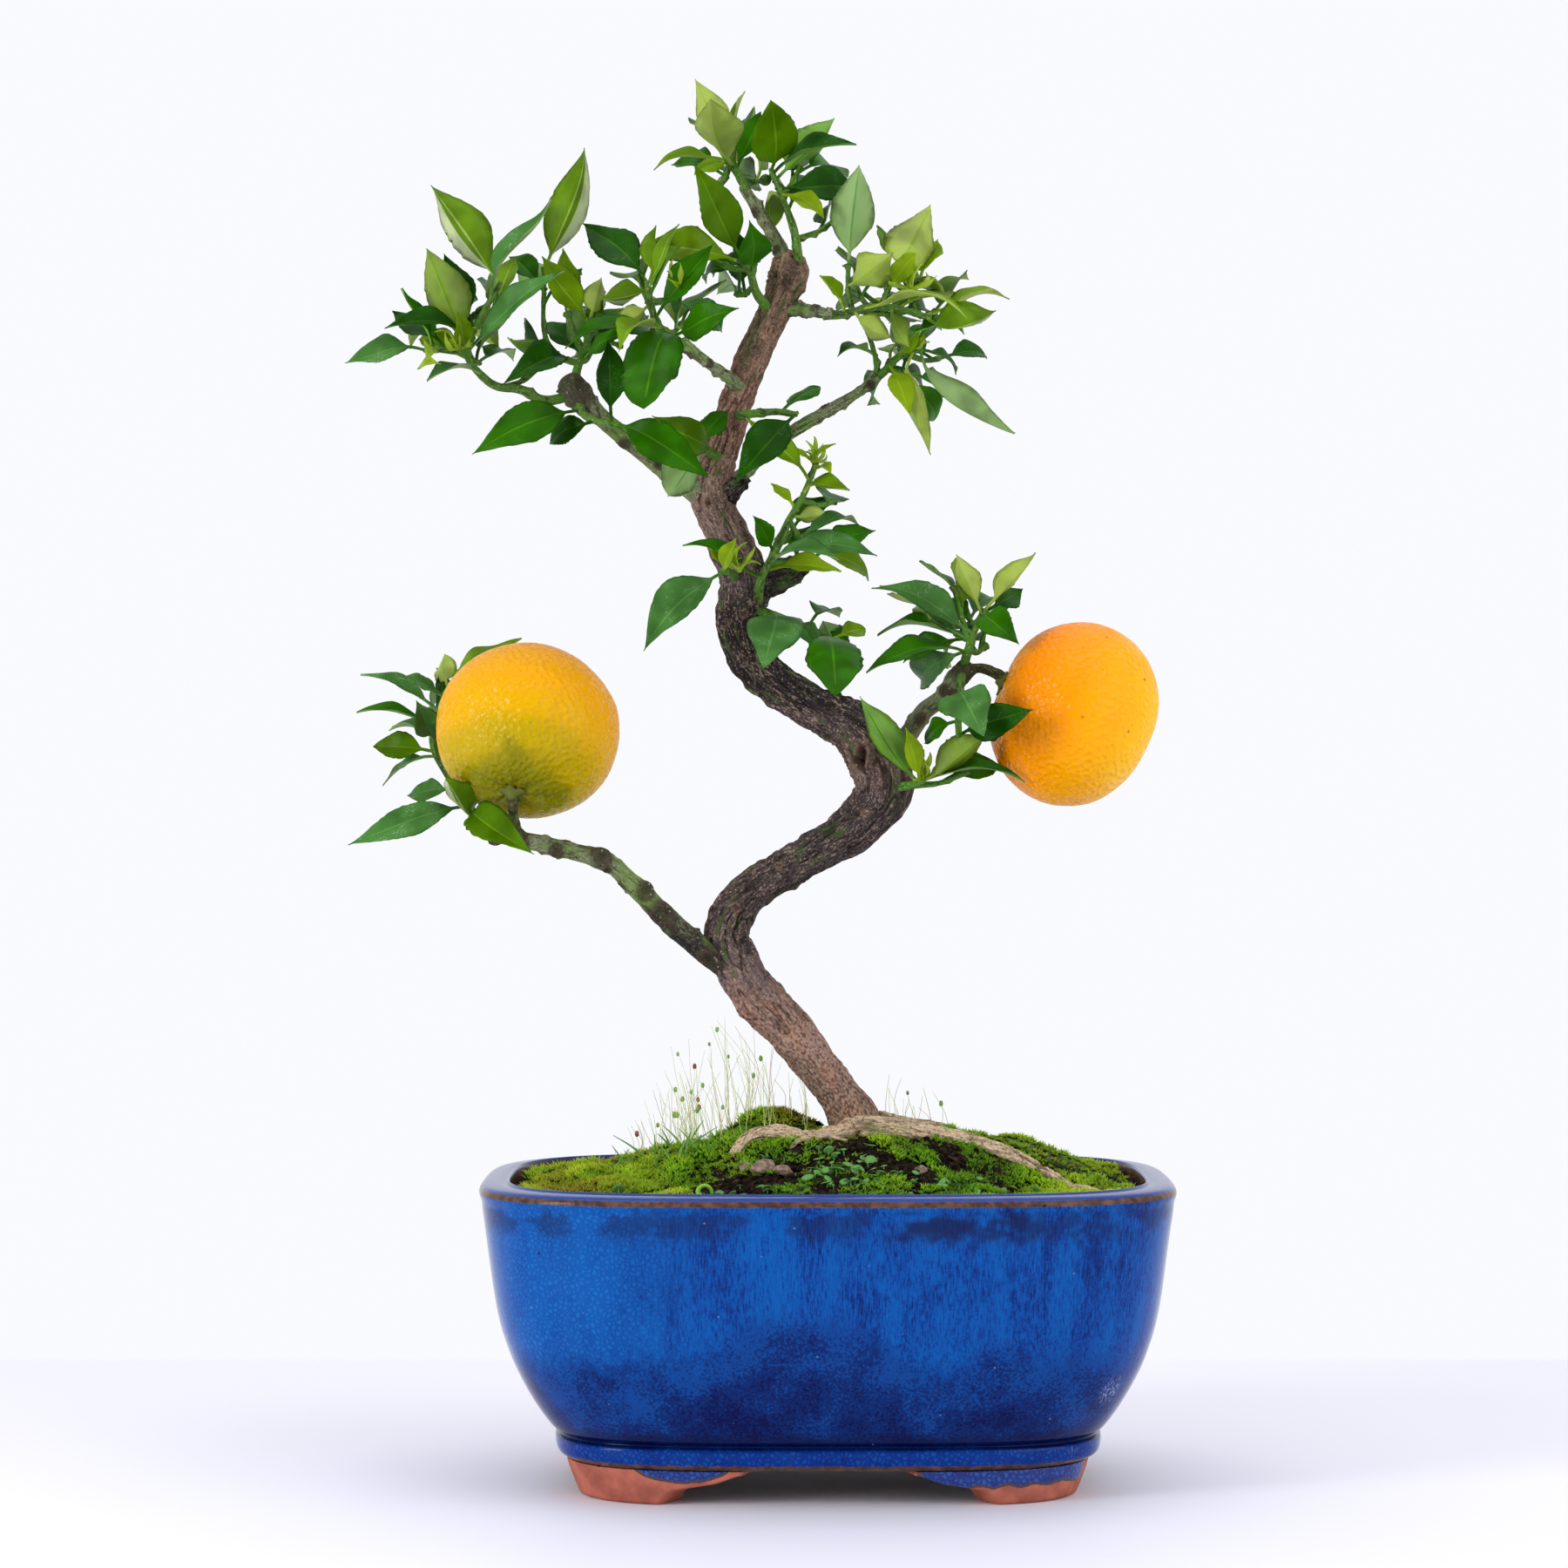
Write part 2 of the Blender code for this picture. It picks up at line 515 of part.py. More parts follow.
def soil_height(x, y):
    """A mound that falls smoothly from a flat top under the trunk to the edge of the pot."""
    reach = math.hypot((x - MOUND_CENTRE[0]) / MOUND_REACH[0], (y - MOUND_CENTRE[1]) / MOUND_REACH[1])
    fall = min(1.0, max(0.0, (reach - SOIL_PLATEAU) / (1 - SOIL_PLATEAU)))
    fall = fall * fall * (3 - 2 * fall)
    return SOIL_PEAK + (SOIL_EDGE - SOIL_PEAK) * fall


def soil_shape(lift=0.0, floor=None):
    """The soil: rings that spread from the mound to the wall, then down inside the pot."""
    edge = POT_PROFILE[-5][1] - SOIL_EDGE_INSET
    points = []
    for spread in SOIL_RINGS:
        for x, y in outline(edge * spread, half_depth_of(edge) * spread, SOIL_SEGMENTS):
            x += MOUND_CENTRE[0] * (1 - spread)
            y += MOUND_CENTRE[1] * (1 - spread)
            points.append((x, y, soil_height(x, y) + lift))
    rings = len(SOIL_RINGS)
    below = POT_PROFILE[-4:] if floor is None else ((floor, edge),)
    for height, half_width in below:
        half_width = half_width - SOIL_WALL_GAP if floor is None else half_width
        rise = SOIL_WALL_GAP if height == FLOOR_TOP else SOIL_STEP
        for x, y in outline(half_width, half_depth_of(half_width), SOIL_SEGMENTS):
            points.append((x, y, height + rise))
        rings += 1
    faces = rings_to_faces(rings, SOIL_SEGMENTS)
    top = len(points)
    points.append((*MOUND_CENTRE, soil_height(*MOUND_CENTRE) + lift))
    points.append((0, 0, points[-2][2]))
    last = (rings - 1) * SOIL_SEGMENTS
    for side in range(SOIL_SEGMENTS):
        after = (side + 1) % SOIL_SEGMENTS
        faces.append((top, side, after))
        faces.append((top + 1, last + after, last + side))
    return points, faces


def moss_shape(centre, reach, thickness):
    """A low cushion of moss on the soil, thickest at its middle and rounded down at its edge."""
    points = []
    for side in (1, 0):
        for spread in MOSS_RINGS if side else MOSS_RINGS[-2::-1]:
            for turn in np.linspace(0, 2 * math.pi, MOSS_SEGMENTS, endpoint=False):
                x = centre[0] + reach[0] * spread * math.cos(turn)
                y = centre[1] + reach[1] * spread * math.sin(turn)
                dome = side * thickness * (1 - spread**2) + (MOSS_RIM if spread == 1.0 else 0.0)
                points.append((x, y, soil_height(x, y) + MOSS_LIFT + dome))
    rings = 2 * len(MOSS_RINGS) - 1
    faces = rings_to_faces(rings, MOSS_SEGMENTS)
    top = len(points)
    ground = soil_height(*centre) + MOSS_LIFT
    points += [(*centre, ground + thickness), (*centre, ground)]
    last = (rings - 1) * MOSS_SEGMENTS
    for side in range(MOSS_SEGMENTS):
        after = (side + 1) % MOSS_SEGMENTS
        faces.append((top, side, after))
        faces.append((top + 1, last + after, last + side))
    return points, faces


def smooth_path(rows, steps):
    """Catmull-Rom curve through the rows, with this many steps between two of them."""
    rows = np.array(rows, dtype=float)
    padded = np.vstack([2 * rows[0] - rows[1], rows, 2 * rows[-1] - rows[-2]])
    found = []
    for a, b, c, d in zip(padded, padded[1:], padded[2:], padded[3:]):
        for step in range(steps):
            t = step / steps
            found.append(
                0.5 * (2 * b + (c - a) * t + (2 * a - 5 * b + 4 * c - d) * t**2 + (3 * b - a - 3 * c + d) * t**3)
            )
    found.append(rows[-1])
    return np.array(found)


def unit(vector):
    return vector / np.linalg.norm(vector)


def tube_shape(path, sides, grow=0.0, bumps=0.0):
    """A tube round a path of x, y, z and radius, with lengthwise swellings and flat closed ends."""
    centres, radii = path[:, :3].copy(), path[:, 3] + grow
    ahead = np.gradient(centres, axis=0)
    centres[0] -= grow * unit(ahead[0])
    centres[-1] += grow * unit(ahead[-1])
    side_way = unit(np.cross(ahead[0], (0.31, 0.87, 0.12)))
    points = []
    for index, (centre, radius) in enumerate(zip(centres, radii)):
        axis = unit(ahead[index])
        side_way = unit(side_way - axis * np.dot(side_way, axis))
        up_way = np.cross(axis, side_way)
        for side in range(sides):
            turn = 2 * math.pi * side / sides
            swell = 1 + bumps * math.sin(3 * turn + 0.5 * index) + 0.7 * bumps * math.sin(2 * turn - 0.83 * index)
            points.append(centre + radius * swell * (math.cos(turn) * side_way + math.sin(turn) * up_way))
    faces = rings_to_faces(len(centres), sides)
    last = (len(centres) - 1) * sides
    faces += [tuple(range(sides))[::-1], tuple(range(last, last + sides))]
    return points, faces


def fruit_shape(centre, stalk_way, half_length, half_width):
    """A slightly flattened ball with a shallow dimple at its stalk end and at its far end."""
    axis = unit(np.array(stalk_way, dtype=float))
    first = unit(np.cross(axis, (0.2, 0.3, 0.9)))
    second = np.cross(axis, first)
    centre = np.array(centre, dtype=float)
    points = []
    for ring in range(1, FRUIT_RINGS):
        polar = math.pi * ring / FRUIT_RINGS
        sink = 1 - FRUIT_DIMPLE * math.exp(-((math.sin(polar) / FRUIT_DIMPLE_WIDTH) ** 2))
        for turn in np.linspace(0, 2 * math.pi, FRUIT_SEGMENTS, endpoint=False):
            across = first * math.cos(turn) + second * math.sin(turn)
            points.append(
                centre + sink * half_length * math.cos(polar) * axis + half_width * math.sin(polar) * across
            )
    faces = rings_to_faces(FRUIT_RINGS - 1, FRUIT_SEGMENTS)
    pole = len(points)
    points += [centre + (1 - FRUIT_DIMPLE) * half_length * axis, centre - (1 - FRUIT_DIMPLE) * half_length * axis]
    last = (FRUIT_RINGS - 2) * FRUIT_SEGMENTS
    for side in range(FRUIT_SEGMENTS):
        after = (side + 1) % FRUIT_SEGMENTS
        faces.append((pole, side, after))
        faces.append((pole + 1, last + after, last + side))
    return points, faces


def leaf_frame(base, tip, turn):
    """Length, axis, upper side and width direction of a leaf whose upper side is turned from the viewer."""
    axis = unit(tip - base)
    facing = np.array((0.0, -1.0, 0.0)) if abs(axis[1]) < 0.93 else np.array((0.0, 0.0, 1.0))
    upper = unit(facing - axis * np.dot(facing, axis))
    sideways = np.cross(axis, upper)
    if sideways[2] < 0:
        sideways = -sideways
    upper = math.cos(math.radians(turn)) * upper + math.sin(math.radians(turn)) * sideways
    return np.linalg.norm(tip - base), axis, upper, np.cross(upper, axis)


def leaf_arch(axis):
    """A leaf that lies level or hangs is more arched than one that stands up."""
    return LEAF_ARCH[0] + LEAF_ARCH[1] * (1 - max(0.0, axis[2])) ** 2


def leaf_shape(base, tip, width, turn, guard=0.0, start=0.0):
    """A folded, arched, pointed leaf of 16 or 24 triangles; as a guard it is thicker and starts later."""
    length, axis, upper, across = leaf_frame(base, tip, turn)
    small = length < SMALL_LEAF_LENGTH
    stations = SMALL_LEAF_STATIONS if small else LEAF_STATIONS
    widths = SMALL_LEAF_WIDTHS if small else LEAF_WIDTHS
    arch = leaf_arch(axis) * (1 if turn < 90 else -1)
    thick = max(LEAF_LEAST_THICKNESS, LEAF_THICKNESS * length) / 2 + guard
    points = []
    for place, share in zip(stations, widths):
        place = max(place, start)
        middle = base + axis * length * place + upper * arch * length * 4 * place * (1 - place)
        half = width / 2 * share
        raised = upper * LEAF_FOLD * half
        half += guard
        slim = LEAF_BASE_SLIM if share < 0.5 else 1.0
        points += [
            middle + across * half + raised,
            middle + upper * thick * slim,
            middle - across * half + raised,
            middle - upper * thick * slim,
        ]
    faces = rings_to_faces(len(stations), 4)
    ends = len(points)
    root = -LEAF_ROOT if not guard else 0.8 * start * length
    points += [base + axis * root, tip + axis * guard]
    last = 4 * (len(stations) - 1)
    for side in range(4):
        after = (side + 1) % 4
        faces.append((ends, after, side))
        faces.append((ends + 1, last + side, last + after))
    return points, faces


def place_on(path, share):
    """The point this share of the way along a path."""
    runs = np.linalg.norm(np.diff(path[:, :3], axis=0), axis=1)
    along = np.concatenate([[0], np.cumsum(runs)])
    return np.array([np.interp(share * along[-1], along, path[:, axis]) for axis in range(3)])


def with_radii(points, radii):
    """Path rows whose radius goes evenly from the first value to the last."""
    return np.column_stack([np.array(points, dtype=float), np.linspace(radii[0], radii[1], len(points))])


def tree_of(shape):
    """A search tree over the faces of a shape, to test whether others touch it."""
    points, faces = shape
    return BVHTree.FromPolygons([Vector(point) for point in points], faces)


def touches(guard, others):
    return any(guard.overlap(other) for other in others)


def met_by(shapes, limbs):
    """The limbs, each grown by the gap, that any of these shapes runs into."""
    trees = [tree_of(shape) for shape in shapes]
    return [limb for limb in limbs if touches(tree_of(limb), trees)]


class Growth:
    """The stems of one mass and, once grown, its twigs and leaves, clear of everything that stands."""

    def __init__(self, mass):
        self.mass = mass
        self.rng = random.Random(mass["seed"])
        self.stems = []
        self.wood = []
        for number, points in enumerate(mass["stems"]):
            self.stems.append(with_radii(points, TWIG_RADII if number else STEM_RADII))
            self.wood.append(tube_shape(self.stems[-1], TWIG_SIDES))
        self.trees = [tree_of(shape) for shape in self.wood]
        self.leaves = []
        self.standing = []

    def add_leaf(self, base, tip, width, turn, swings=(0,)):
        """Adds the leaf, swung towards or from the viewer where it would touch something; else skips it.

        An outer leaf that can't swing clear may still cross the leaves of its own mass."""
        base = np.array(base, dtype=float)
        for own in (self.trees, []) if len(swings) > 1 else (self.trees,):
            for swing in swings:
                end = np.array(tip, dtype=float) + (0, swing, 0)
                guard = tree_of(leaf_shape(base, end, width, turn, GUARD))
                blade_guard = tree_of(leaf_shape(base, end, width, turn, GUARD, GUARD_START))
                if not touches(guard, self.standing) and not touches(blade_guard, own):
                    shape = leaf_shape(base, end, width, turn)
                    self.leaves.append(shape)
                    self.trees.append(tree_of(shape))
                    return True
        return False

    def inside(self, point):
        offset = (np.array(point) - self.mass["middle"]) / self.mass["room"]
        return np.linalg.norm(offset) <= 1

    def add_outer_leaves(self):
        for stem, share, x, y, z, width, turn in self.mass["leaves"]:
            self.add_leaf(place_on(self.stems[stem], share), (x, y, z), width, turn, SWINGS)

    def add_twig(self, number, count):
        """A twig at its own place on the first stem, turned by the golden angle, with leaves round it."""
        stem = self.stems[0]
        start = place_on(stem, TWIG_PLACES[0] + TWIG_PLACES[1] * (number + 0.5) / count)
        towards = unit(np.array(self.mass["middle"], dtype=float) - start)
        side_way = unit(np.cross(towards, (0.1, 0.2, 1.0)))
        up_way = np.cross(side_way, towards)
        turn = number * GOLDEN_ANGLE + self.rng.uniform(-0.4, 0.4)
        lean = TWIG_LEAN * self.rng.uniform(0.3, 1.0)
        way = unit(
            towards * math.cos(lean) + (side_way * math.cos(turn) + up_way * math.sin(turn)) * math.sin(lean)
        )
        end = start + way * self.rng.uniform(*TWIG_LENGTHS)
        bend = (start + end) / 2 + np.array((0, 0, -TWIG_DROP))
        twig = with_radii([start, bend, end], TWIG_RADII)
        shape = tube_shape(twig, TWIG_SIDES)
        guard = tree_of(tube_shape(twig, TWIG_SIDES, GUARD))
        if touches(guard, self.standing) or not self.inside(end):
            return
        grown = [self.add_twig_leaf(twig, way, leaf) for leaf in range(LEAVES_PER_TWIG)]
        if any(grown):
            self.wood.append(shape)
            self.trees.append(tree_of(shape))

    def add_twig_leaf(self, twig, way, leaf):
        """One leaf of a twig, the first at its end, spun on until it stands clear or the tries run out."""
        share = 1.0 if leaf == 0 else 0.35 + 0.6 * leaf / LEAVES_PER_TWIG
        base = place_on(twig, share)
        side_way = unit(np.cross(way, (0.2, 0.1, 1.0)))
        up_way = np.cross(side_way, way)
        for attempt in range(TRIES_PER_LEAF):
            spin = (leaf + attempt) * GOLDEN_ANGLE + self.rng.uniform(0, 1)
            spread = LEAF_LEAN * (0.3 if leaf == 0 else self.rng.uniform(0.8, 1.3))
            heading = way * math.cos(spread) + (side_way * math.cos(spin) + up_way * math.sin(spin)) * math.sin(spread)
            length = self.rng.uniform(*LEAF_LENGTHS)
            turn = self.rng.uniform(*LEAF_TURNS)
            tip = base + unit(heading + np.array((0, 0, TIP_LIFT))) * length
            if self.inside(tip) and self.add_leaf(base, tip, WIDTH_TO_LENGTH * length, turn):
                return True
        return False

    def grow(self, standing):
        self.standing = standing
        self.add_outer_leaves()
        for number in range(self.mass["twigs"]):
            self.add_twig(number, self.mass["twigs"])
        return self.wood + self.leaves


def evaluated_mesh(obj):
    """A new mesh of the object as its modifiers leave it."""
    graph = bpy.context.evaluated_depsgraph_get()
    return bpy.data.meshes.new_from_object(obj.evaluated_get(graph))


def is_closed(mesh):
    """Whether every edge of the mesh joins exactly two faces."""
    uses = np.zeros(len(mesh.edges), dtype=int)
    for loop in mesh.loops:
        uses[loop.edge_index] += 1
    return bool((uses == 2).all())


def boolean(obj, operation, others):
    """Applies one Boolean with a collection of the other shapes, which are then removed.

    The exact solver is used, or the manifold solver where the exact one leaves an opening."""
    collection = bpy.data.collections.new("operands")
    bpy.context.scene.collection.children.link(collection)
    for number, shape in enumerate(others):
        other = make_object(f"operand_{number}", shape)
        bpy.context.scene.collection.objects.unlink(other)
        collection.objects.link(other)
    modifier = obj.modifiers.new(operation.lower(), "BOOLEAN")
    modifier.operation = operation
    modifier.operand_type = "COLLECTION"
    modifier.collection = collection
    for solver in ("EXACT", "MANIFOLD"):
        modifier.solver = solver
        mesh = evaluated_mesh(obj)
        if is_closed(mesh):
            break
    obj.modifiers.clear()
    obj.data = mesh
    for other in list(collection.objects):
        bpy.data.objects.remove(other, do_unlink=True)
    bpy.data.collections.remove(collection)


def keep_main_body(obj):
    """Drops loose scraps and fills sealed hollows: only the largest closed surface stays."""
    shape_mesh = bmesh.new()
    shape_mesh.from_mesh(obj.data)
    bmesh.ops.triangulate(shape_mesh, faces=shape_mesh.faces)
    shape_mesh.faces.ensure_lookup_table()
    waiting = set(shape_mesh.faces)
    bodies = []
    while waiting:
        body = {waiting.pop()}
        edge_of_search = list(body)
        while edge_of_search:
            face = edge_of_search.pop()
            for edge in face.edges:
                for neighbour in edge.link_faces:
                    if neighbour in waiting:
                        waiting.remove(neighbour)
                        body.add(neighbour)
                        edge_of_search.append(neighbour)
        volume = 0.0
        for face in body:
            a, b, c = (vert.co for vert in face.verts)
            volume += a.dot(b.cross(c)) / 6
        bodies.append((volume, body))
    main = max(bodies, key=lambda found: found[0])[1]
    drop = [face for face in shape_mesh.faces if face not in main]
    bmesh.ops.delete(shape_mesh, geom=drop, context="FACES")
    shape_mesh.to_mesh(obj.data)
    shape_mesh.free()


def make_joined(name, shapes, material, parent, cutters=()):
    """One closed body from shapes that run into each other, cut clear of what it meets."""
    obj = make_object(name, shapes[0], material, parent)
    if len(shapes) > 1:
        boolean(obj, "UNION", shapes[1:])
    if cutters:
        boolean(obj, "DIFFERENCE", cutters)
    keep_main_body(obj)
    obj.data.shade_smooth()
    obj.data.set_sharp_from_angle(angle=SHARP_ANGLE)
    return obj


def root_path(rows):
    """A root's rows with its height worked out from the soil below it."""
    return np.array([(x, y, soil_height(x, y) + lift, radius) for x, y, lift, radius in rows])


def centre_on_origin(parent):
    """Moves the parent so that the middle of the whole object's box is above the origin."""
    bpy.context.view_layer.update()
    corners = []
    for obj in parent.children:
        corners += [obj.matrix_world @ Vector(corner) for corner in obj.bound_box]
    corners = np.array(corners)
    middle = (corners.min(axis=0) + corners.max(axis=0)) / 2
    parent.location = (-middle[0], -middle[1], -corners[:, 2].min())


def build():
    clear_scene()
    materials = {name: make_material(name) for name in FINISHES}
    bonsai = bpy.data.objects.new("bonsai", None)
    bpy.context.scene.collection.objects.link(bonsai)

    make_object("pot", pot_shape(), materials["glaze"], bonsai)
    for depth_name, along in (("front", -1), ("back", 1)):
        for side_name, across in (("left", -1), ("right", 1)):
            make_object(f"foot_{depth_name}_{side_name}", foot_shape(across, along), materials["terracotta"], bonsai)
    make_object("soil", soil_shape(), materials["soil"], bonsai)
    for name, (centre, reach, thickness) in MOSS_PADS.items():
        make_object(name, moss_shape(centre, reach, thickness), materials["moss"], bonsai)

    limbs = []
    parts = [(smooth_path(TRUNK, TRUNK_STEPS), TRUNK_SIDES)]
    parts += [(np.array(rows, dtype=float), ROOT_SIDES) for rows in (STUB, FORK_STUB)]
    parts += [(root_path(rows), ROOT_SIDES) for rows in ROOTS]
    shapes = [tube_shape(path, sides, 0.0, BARK_BUMPS) for path, sides in parts]
    make_joined("trunk", shapes, materials["bark"], bonsai, [soil_shape(GAP, CUTTER_FLOOR)])
    limbs += [tube_shape(path, sides, GAP, BARK_BUMPS) for path, sides in parts]

    for name, rows in BOUGHS.items():
        path = smooth_path(rows, BOUGH_STEPS)
        shape = tube_shape(path, BOUGH_SIDES, 0.0, BARK_BUMPS)
        make_joined(name, [shape], materials["green_bark"], bonsai, met_by([shape], limbs))
        limbs.append(tube_shape(path, BOUGH_SIDES, GAP, BARK_BUMPS))

    for name, (centre, stalk_way, half_length, half_width, stalk) in FRUITS.items():
        stalk_path = smooth_path(stalk, BOUGH_STEPS)
        shapes = [
            fruit_shape(centre, stalk_way, half_length, half_width),
            tube_shape(stalk_path, BOUGH_SIDES),
        ]
        make_joined(name, shapes, materials["orange_peel"], bonsai, met_by(shapes, limbs))
        limbs += [
            fruit_shape(centre, stalk_way, half_length + GAP, half_width + GAP),
            tube_shape(stalk_path, BOUGH_SIDES, GAP),
        ]

    standing = [tree_of(shape) for shape in limbs]
    growths = {name: Growth(mass) for name, mass in MASSES.items()}
    for name, growth in growths.items():
        others = [tree for other in growths.values() if other is not growth for tree in other.trees]
        shapes = growth.grow(standing + others)
        make_joined(name, shapes, materials["leaf"], bonsai, met_by(growth.wood, limbs))

    centre_on_origin(bonsai)


build()
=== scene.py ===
"""Chinotto orange bonsai in a blue glazed pot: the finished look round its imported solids.

Every piece is worked out from the same named sizes as the solids, only finer. Lengths in the tables
are in millimetres from the middle of the pot at floor level, +X right, +Y back, +Z up, and become
metres when a piece is made.
"""

import itertools
import math
import random

import bpy
import numpy as np
from bpy.props import FloatProperty, FloatVectorProperty, IntProperty, PointerProperty
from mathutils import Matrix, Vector
from mathutils.bvhtree import BVHTree


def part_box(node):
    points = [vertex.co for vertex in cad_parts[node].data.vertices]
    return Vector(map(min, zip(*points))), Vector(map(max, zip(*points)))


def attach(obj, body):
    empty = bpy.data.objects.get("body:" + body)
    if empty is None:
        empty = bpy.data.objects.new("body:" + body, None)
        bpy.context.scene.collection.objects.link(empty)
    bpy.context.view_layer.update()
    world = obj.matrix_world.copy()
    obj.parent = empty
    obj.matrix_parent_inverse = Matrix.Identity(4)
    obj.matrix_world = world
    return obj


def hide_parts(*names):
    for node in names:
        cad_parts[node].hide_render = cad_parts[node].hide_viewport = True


bl_info = {
    "name": "Chinotto bonsai",
    "version": (1, 0, 0),
    "blender": (4, 5, 0),
    "location": "3D View > Sidebar > Bonsai",
    "description": "Makes a chinotto orange bonsai in a glazed pot, piece by piece",
    "category": "Add Mesh",
}

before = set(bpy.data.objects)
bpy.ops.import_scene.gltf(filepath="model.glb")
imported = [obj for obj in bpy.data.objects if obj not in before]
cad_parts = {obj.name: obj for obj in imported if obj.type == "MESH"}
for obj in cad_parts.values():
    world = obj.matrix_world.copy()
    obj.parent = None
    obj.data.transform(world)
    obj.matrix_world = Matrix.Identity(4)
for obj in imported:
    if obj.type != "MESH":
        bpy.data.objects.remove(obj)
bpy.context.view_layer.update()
POT_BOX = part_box("pot")
MM = 0.001
GAP = 0.3

# Pot
RIM_WIDTH = 197.0
RIM_DEPTH = 146.0
BASE_WIDTH = 154.0
BASE_DEPTH = 110.0
CORNER_POWER = 3.8
RIM_TOP = 85.2
FLOOR_TOP = 20.0
UNDERSIDE = 8.4
# The pot's middle, and the level that heights are counted from
POT_MIDDLE = np.array([
    (POT_BOX[0].x + POT_BOX[1].x) / 2, (POT_BOX[0].y + POT_BOX[1].y) / 2, POT_BOX[0].z - UNDERSIDE * MM,
])
# Height and half-width, up the outside, over the lip and down the inside
POT_PROFILE = (
    (UNDERSIDE, 74.4),
    (10.1, 76.8),
    (13.8, 77.4),
    (15.2, 76.1),
    (17.0, 78.5),
    (22.4, 82.5),
    (29.7, 86.7),
    (38.0, 90.3),
    (50.0, 93.6),
    (75.0, 97.2),
    (80.0, 97.8),
    (82.8, 98.5),
    (84.6, 97.5),
    (RIM_TOP, 95.2),
    (RIM_TOP, 91.5),
    (83.6, 89.6),
    (62.0, 87.4),
    (40.0, 82.4),
    (26.0, 71.5),
    (FLOOR_TOP, 58.0),
)
POT_SEGMENTS = 320
POT_STEPS = 7
# Where the glaze breaks brown: row of the profile, how far it spreads in rows, and how strongly
GLAZE_BREAKS = ((0.3, 0.8, 1.0), (11.35, 0.5, 1.0), (15.0, 0.3, 0.8))
# Pale patches painted on the front corners as reflections of the side lights, broken up like scuffed glaze: middle and
# reach
GLAZE_CORNER_REFLECTIONS = ((76, -46, 31, 6.5), (71, -47, 12.5, 6.0), (-70, -47, 12.5, 4.0), (54, -57, 50, 1.6))

# Feet: angle round the quarter outline, and height of the arched lower edge there. Heights are counted from a
# level a little above the feet's undersides
FOOT_BOTTOM = -1.8
FOOT_STATIONS = (
    (5.0, 7.2),
    (10.0, 4.6),
    (15.5, 2.9),
    (18.0, FOOT_BOTTOM),
    (28.0, FOOT_BOTTOM),
    (40.0, FOOT_BOTTOM),
    (50.0, FOOT_BOTTOM),
    (64.0, FOOT_BOTTOM),
    (66.5, 1.9),
    (71.0, 2.9),
    (78.6, 4.4),
    (83.2, 7.2),
)
FOOT_TOP = UNDERSIDE - GAP
FOOT_OUTER_TOP = (74.4, 52.7)
FOOT_OUTER_BOTTOM = (71.6, 50.9)
FOOT_THICKNESS = 9.0

# Soil
SOIL_EDGE = 82.8
SOIL_PEAK = 96.4
SOIL_PLATEAU = 0.38
MOUND_CENTRE = (9.0, 2.0)
MOUND_REACH = (78.0, 52.0)
SOIL_REACH = 88.2

# Moss pads: centre, half-lengths and thickness
MOSS_PADS = {
    "moss_left": ((-60.0, -6.0), (24.0, 40.0), 3.6),
    "moss_mound": ((-15.0, 12.0), (14.0, 12.0), 5.0),
    "moss_front": ((14.0, -46.0), (35.0, 13.0), 3.2),
    "moss_right": ((66.0, 20.0), (19.0, 28.0), 1.8),
    "moss_back": ((6.0, 48.0), (34.0, 12.0), 3.6),
}
MOSS_LIFT = 1.2

# Limbs: x, y, z and radius at each bend
TRUNK = (
    (10, 2, 90, 9.4),
    (9, 2, 98, 8.0),
    (3, 3, 109, 6.0),
    (-10, 4, 125, 6.3),
    (-20, 5, 136, 7.2),
    (-27, 6, 148, 6.3),
    (-28.5, 5, 157, 6.1),
    (-22, 2, 166, 5.9),
    (-6, -1, 176, 5.9),
    (8, -3, 185, 7.0),
    (15.5, -4, 196, 7.6),
    (11, -4, 210, 8.0),
    (-4, -2, 219.5, 6.4),
    (-18, 0, 229, 6.4),
    (-24.5, 2, 241, 6.2),
    (-24, 3, 256, 7.0),
    (-28.5, 4, 268, 6.3),
    (-33.5, 4, 281, 6.2),
    (-30, 4, 295, 4.9),
    (-21.5, 1.5, 319, 4.7),
    (-13, 0, 337, 4.8),
    (-11, 0, 343, 5.5),
    (-11, 0, 347, 4.6),
)
TRUNK_SIDES = 8
TRUNK_STEPS = 2
BARK_BUMPS = 0.05
STUB = ((-23, 3, 254, 5.6), (-16, 2, 256, 5.0), (-11, 1, 258, 4.6), (-7, 0, 260, 3.2))
FORK_STUB = ((-32, 3, 279, 3.2), (-28, 1.5, 281, 2.6), (-25, 0.5, 283.5, 2.2), (-23.4, 0.2, 285.4, 1.2))
# Surface roots: x, y, height of the middle above the soil, and radius
ROOTS = (
    (
        (8, -3, 2.0, 4.4), (13, -10, 3.6, 3.3), (21, -13, 3.0, 2.9), (29, -13.5, 1.5, 2.5), (37, -14, 1.0, 2.3),
        (47, -15.5, 1.5, 2.1), (56, -18, 1.4, 1.8), (62, -20, 1.0, 1.6), (67, -23, 0.5, 1.3), (71, -26, -0.6, 0.9),
    ),
    (
        (8, -4, 2.0, 4.2), (3.5, -10.5, 1.6, 2.6), (-2, -13, 0.8, 2.1), (-7, -14, 0.8, 2.1), (-11.5, -14, 1.8, 2.3),
        (-17.5, -14.5, 2.6, 2.2), (-22.7, -15.5, 2.0, 2.0), (-27, -18, -0.8, 1.3),
    ),
    ((14, 5, 2.4, 4.6), (23, 10, 1.6, 3.0), (31, 13, 1.0, 2.2), (38, 15, -0.4, 1.2)),
    ((8, 7, 2.4, 4.6), (7, 17, 1.6, 3.0), (5, 26, 1.0, 2.2), (3, 33, -0.4, 1.2)),
)
ROOT_SIDES = 6

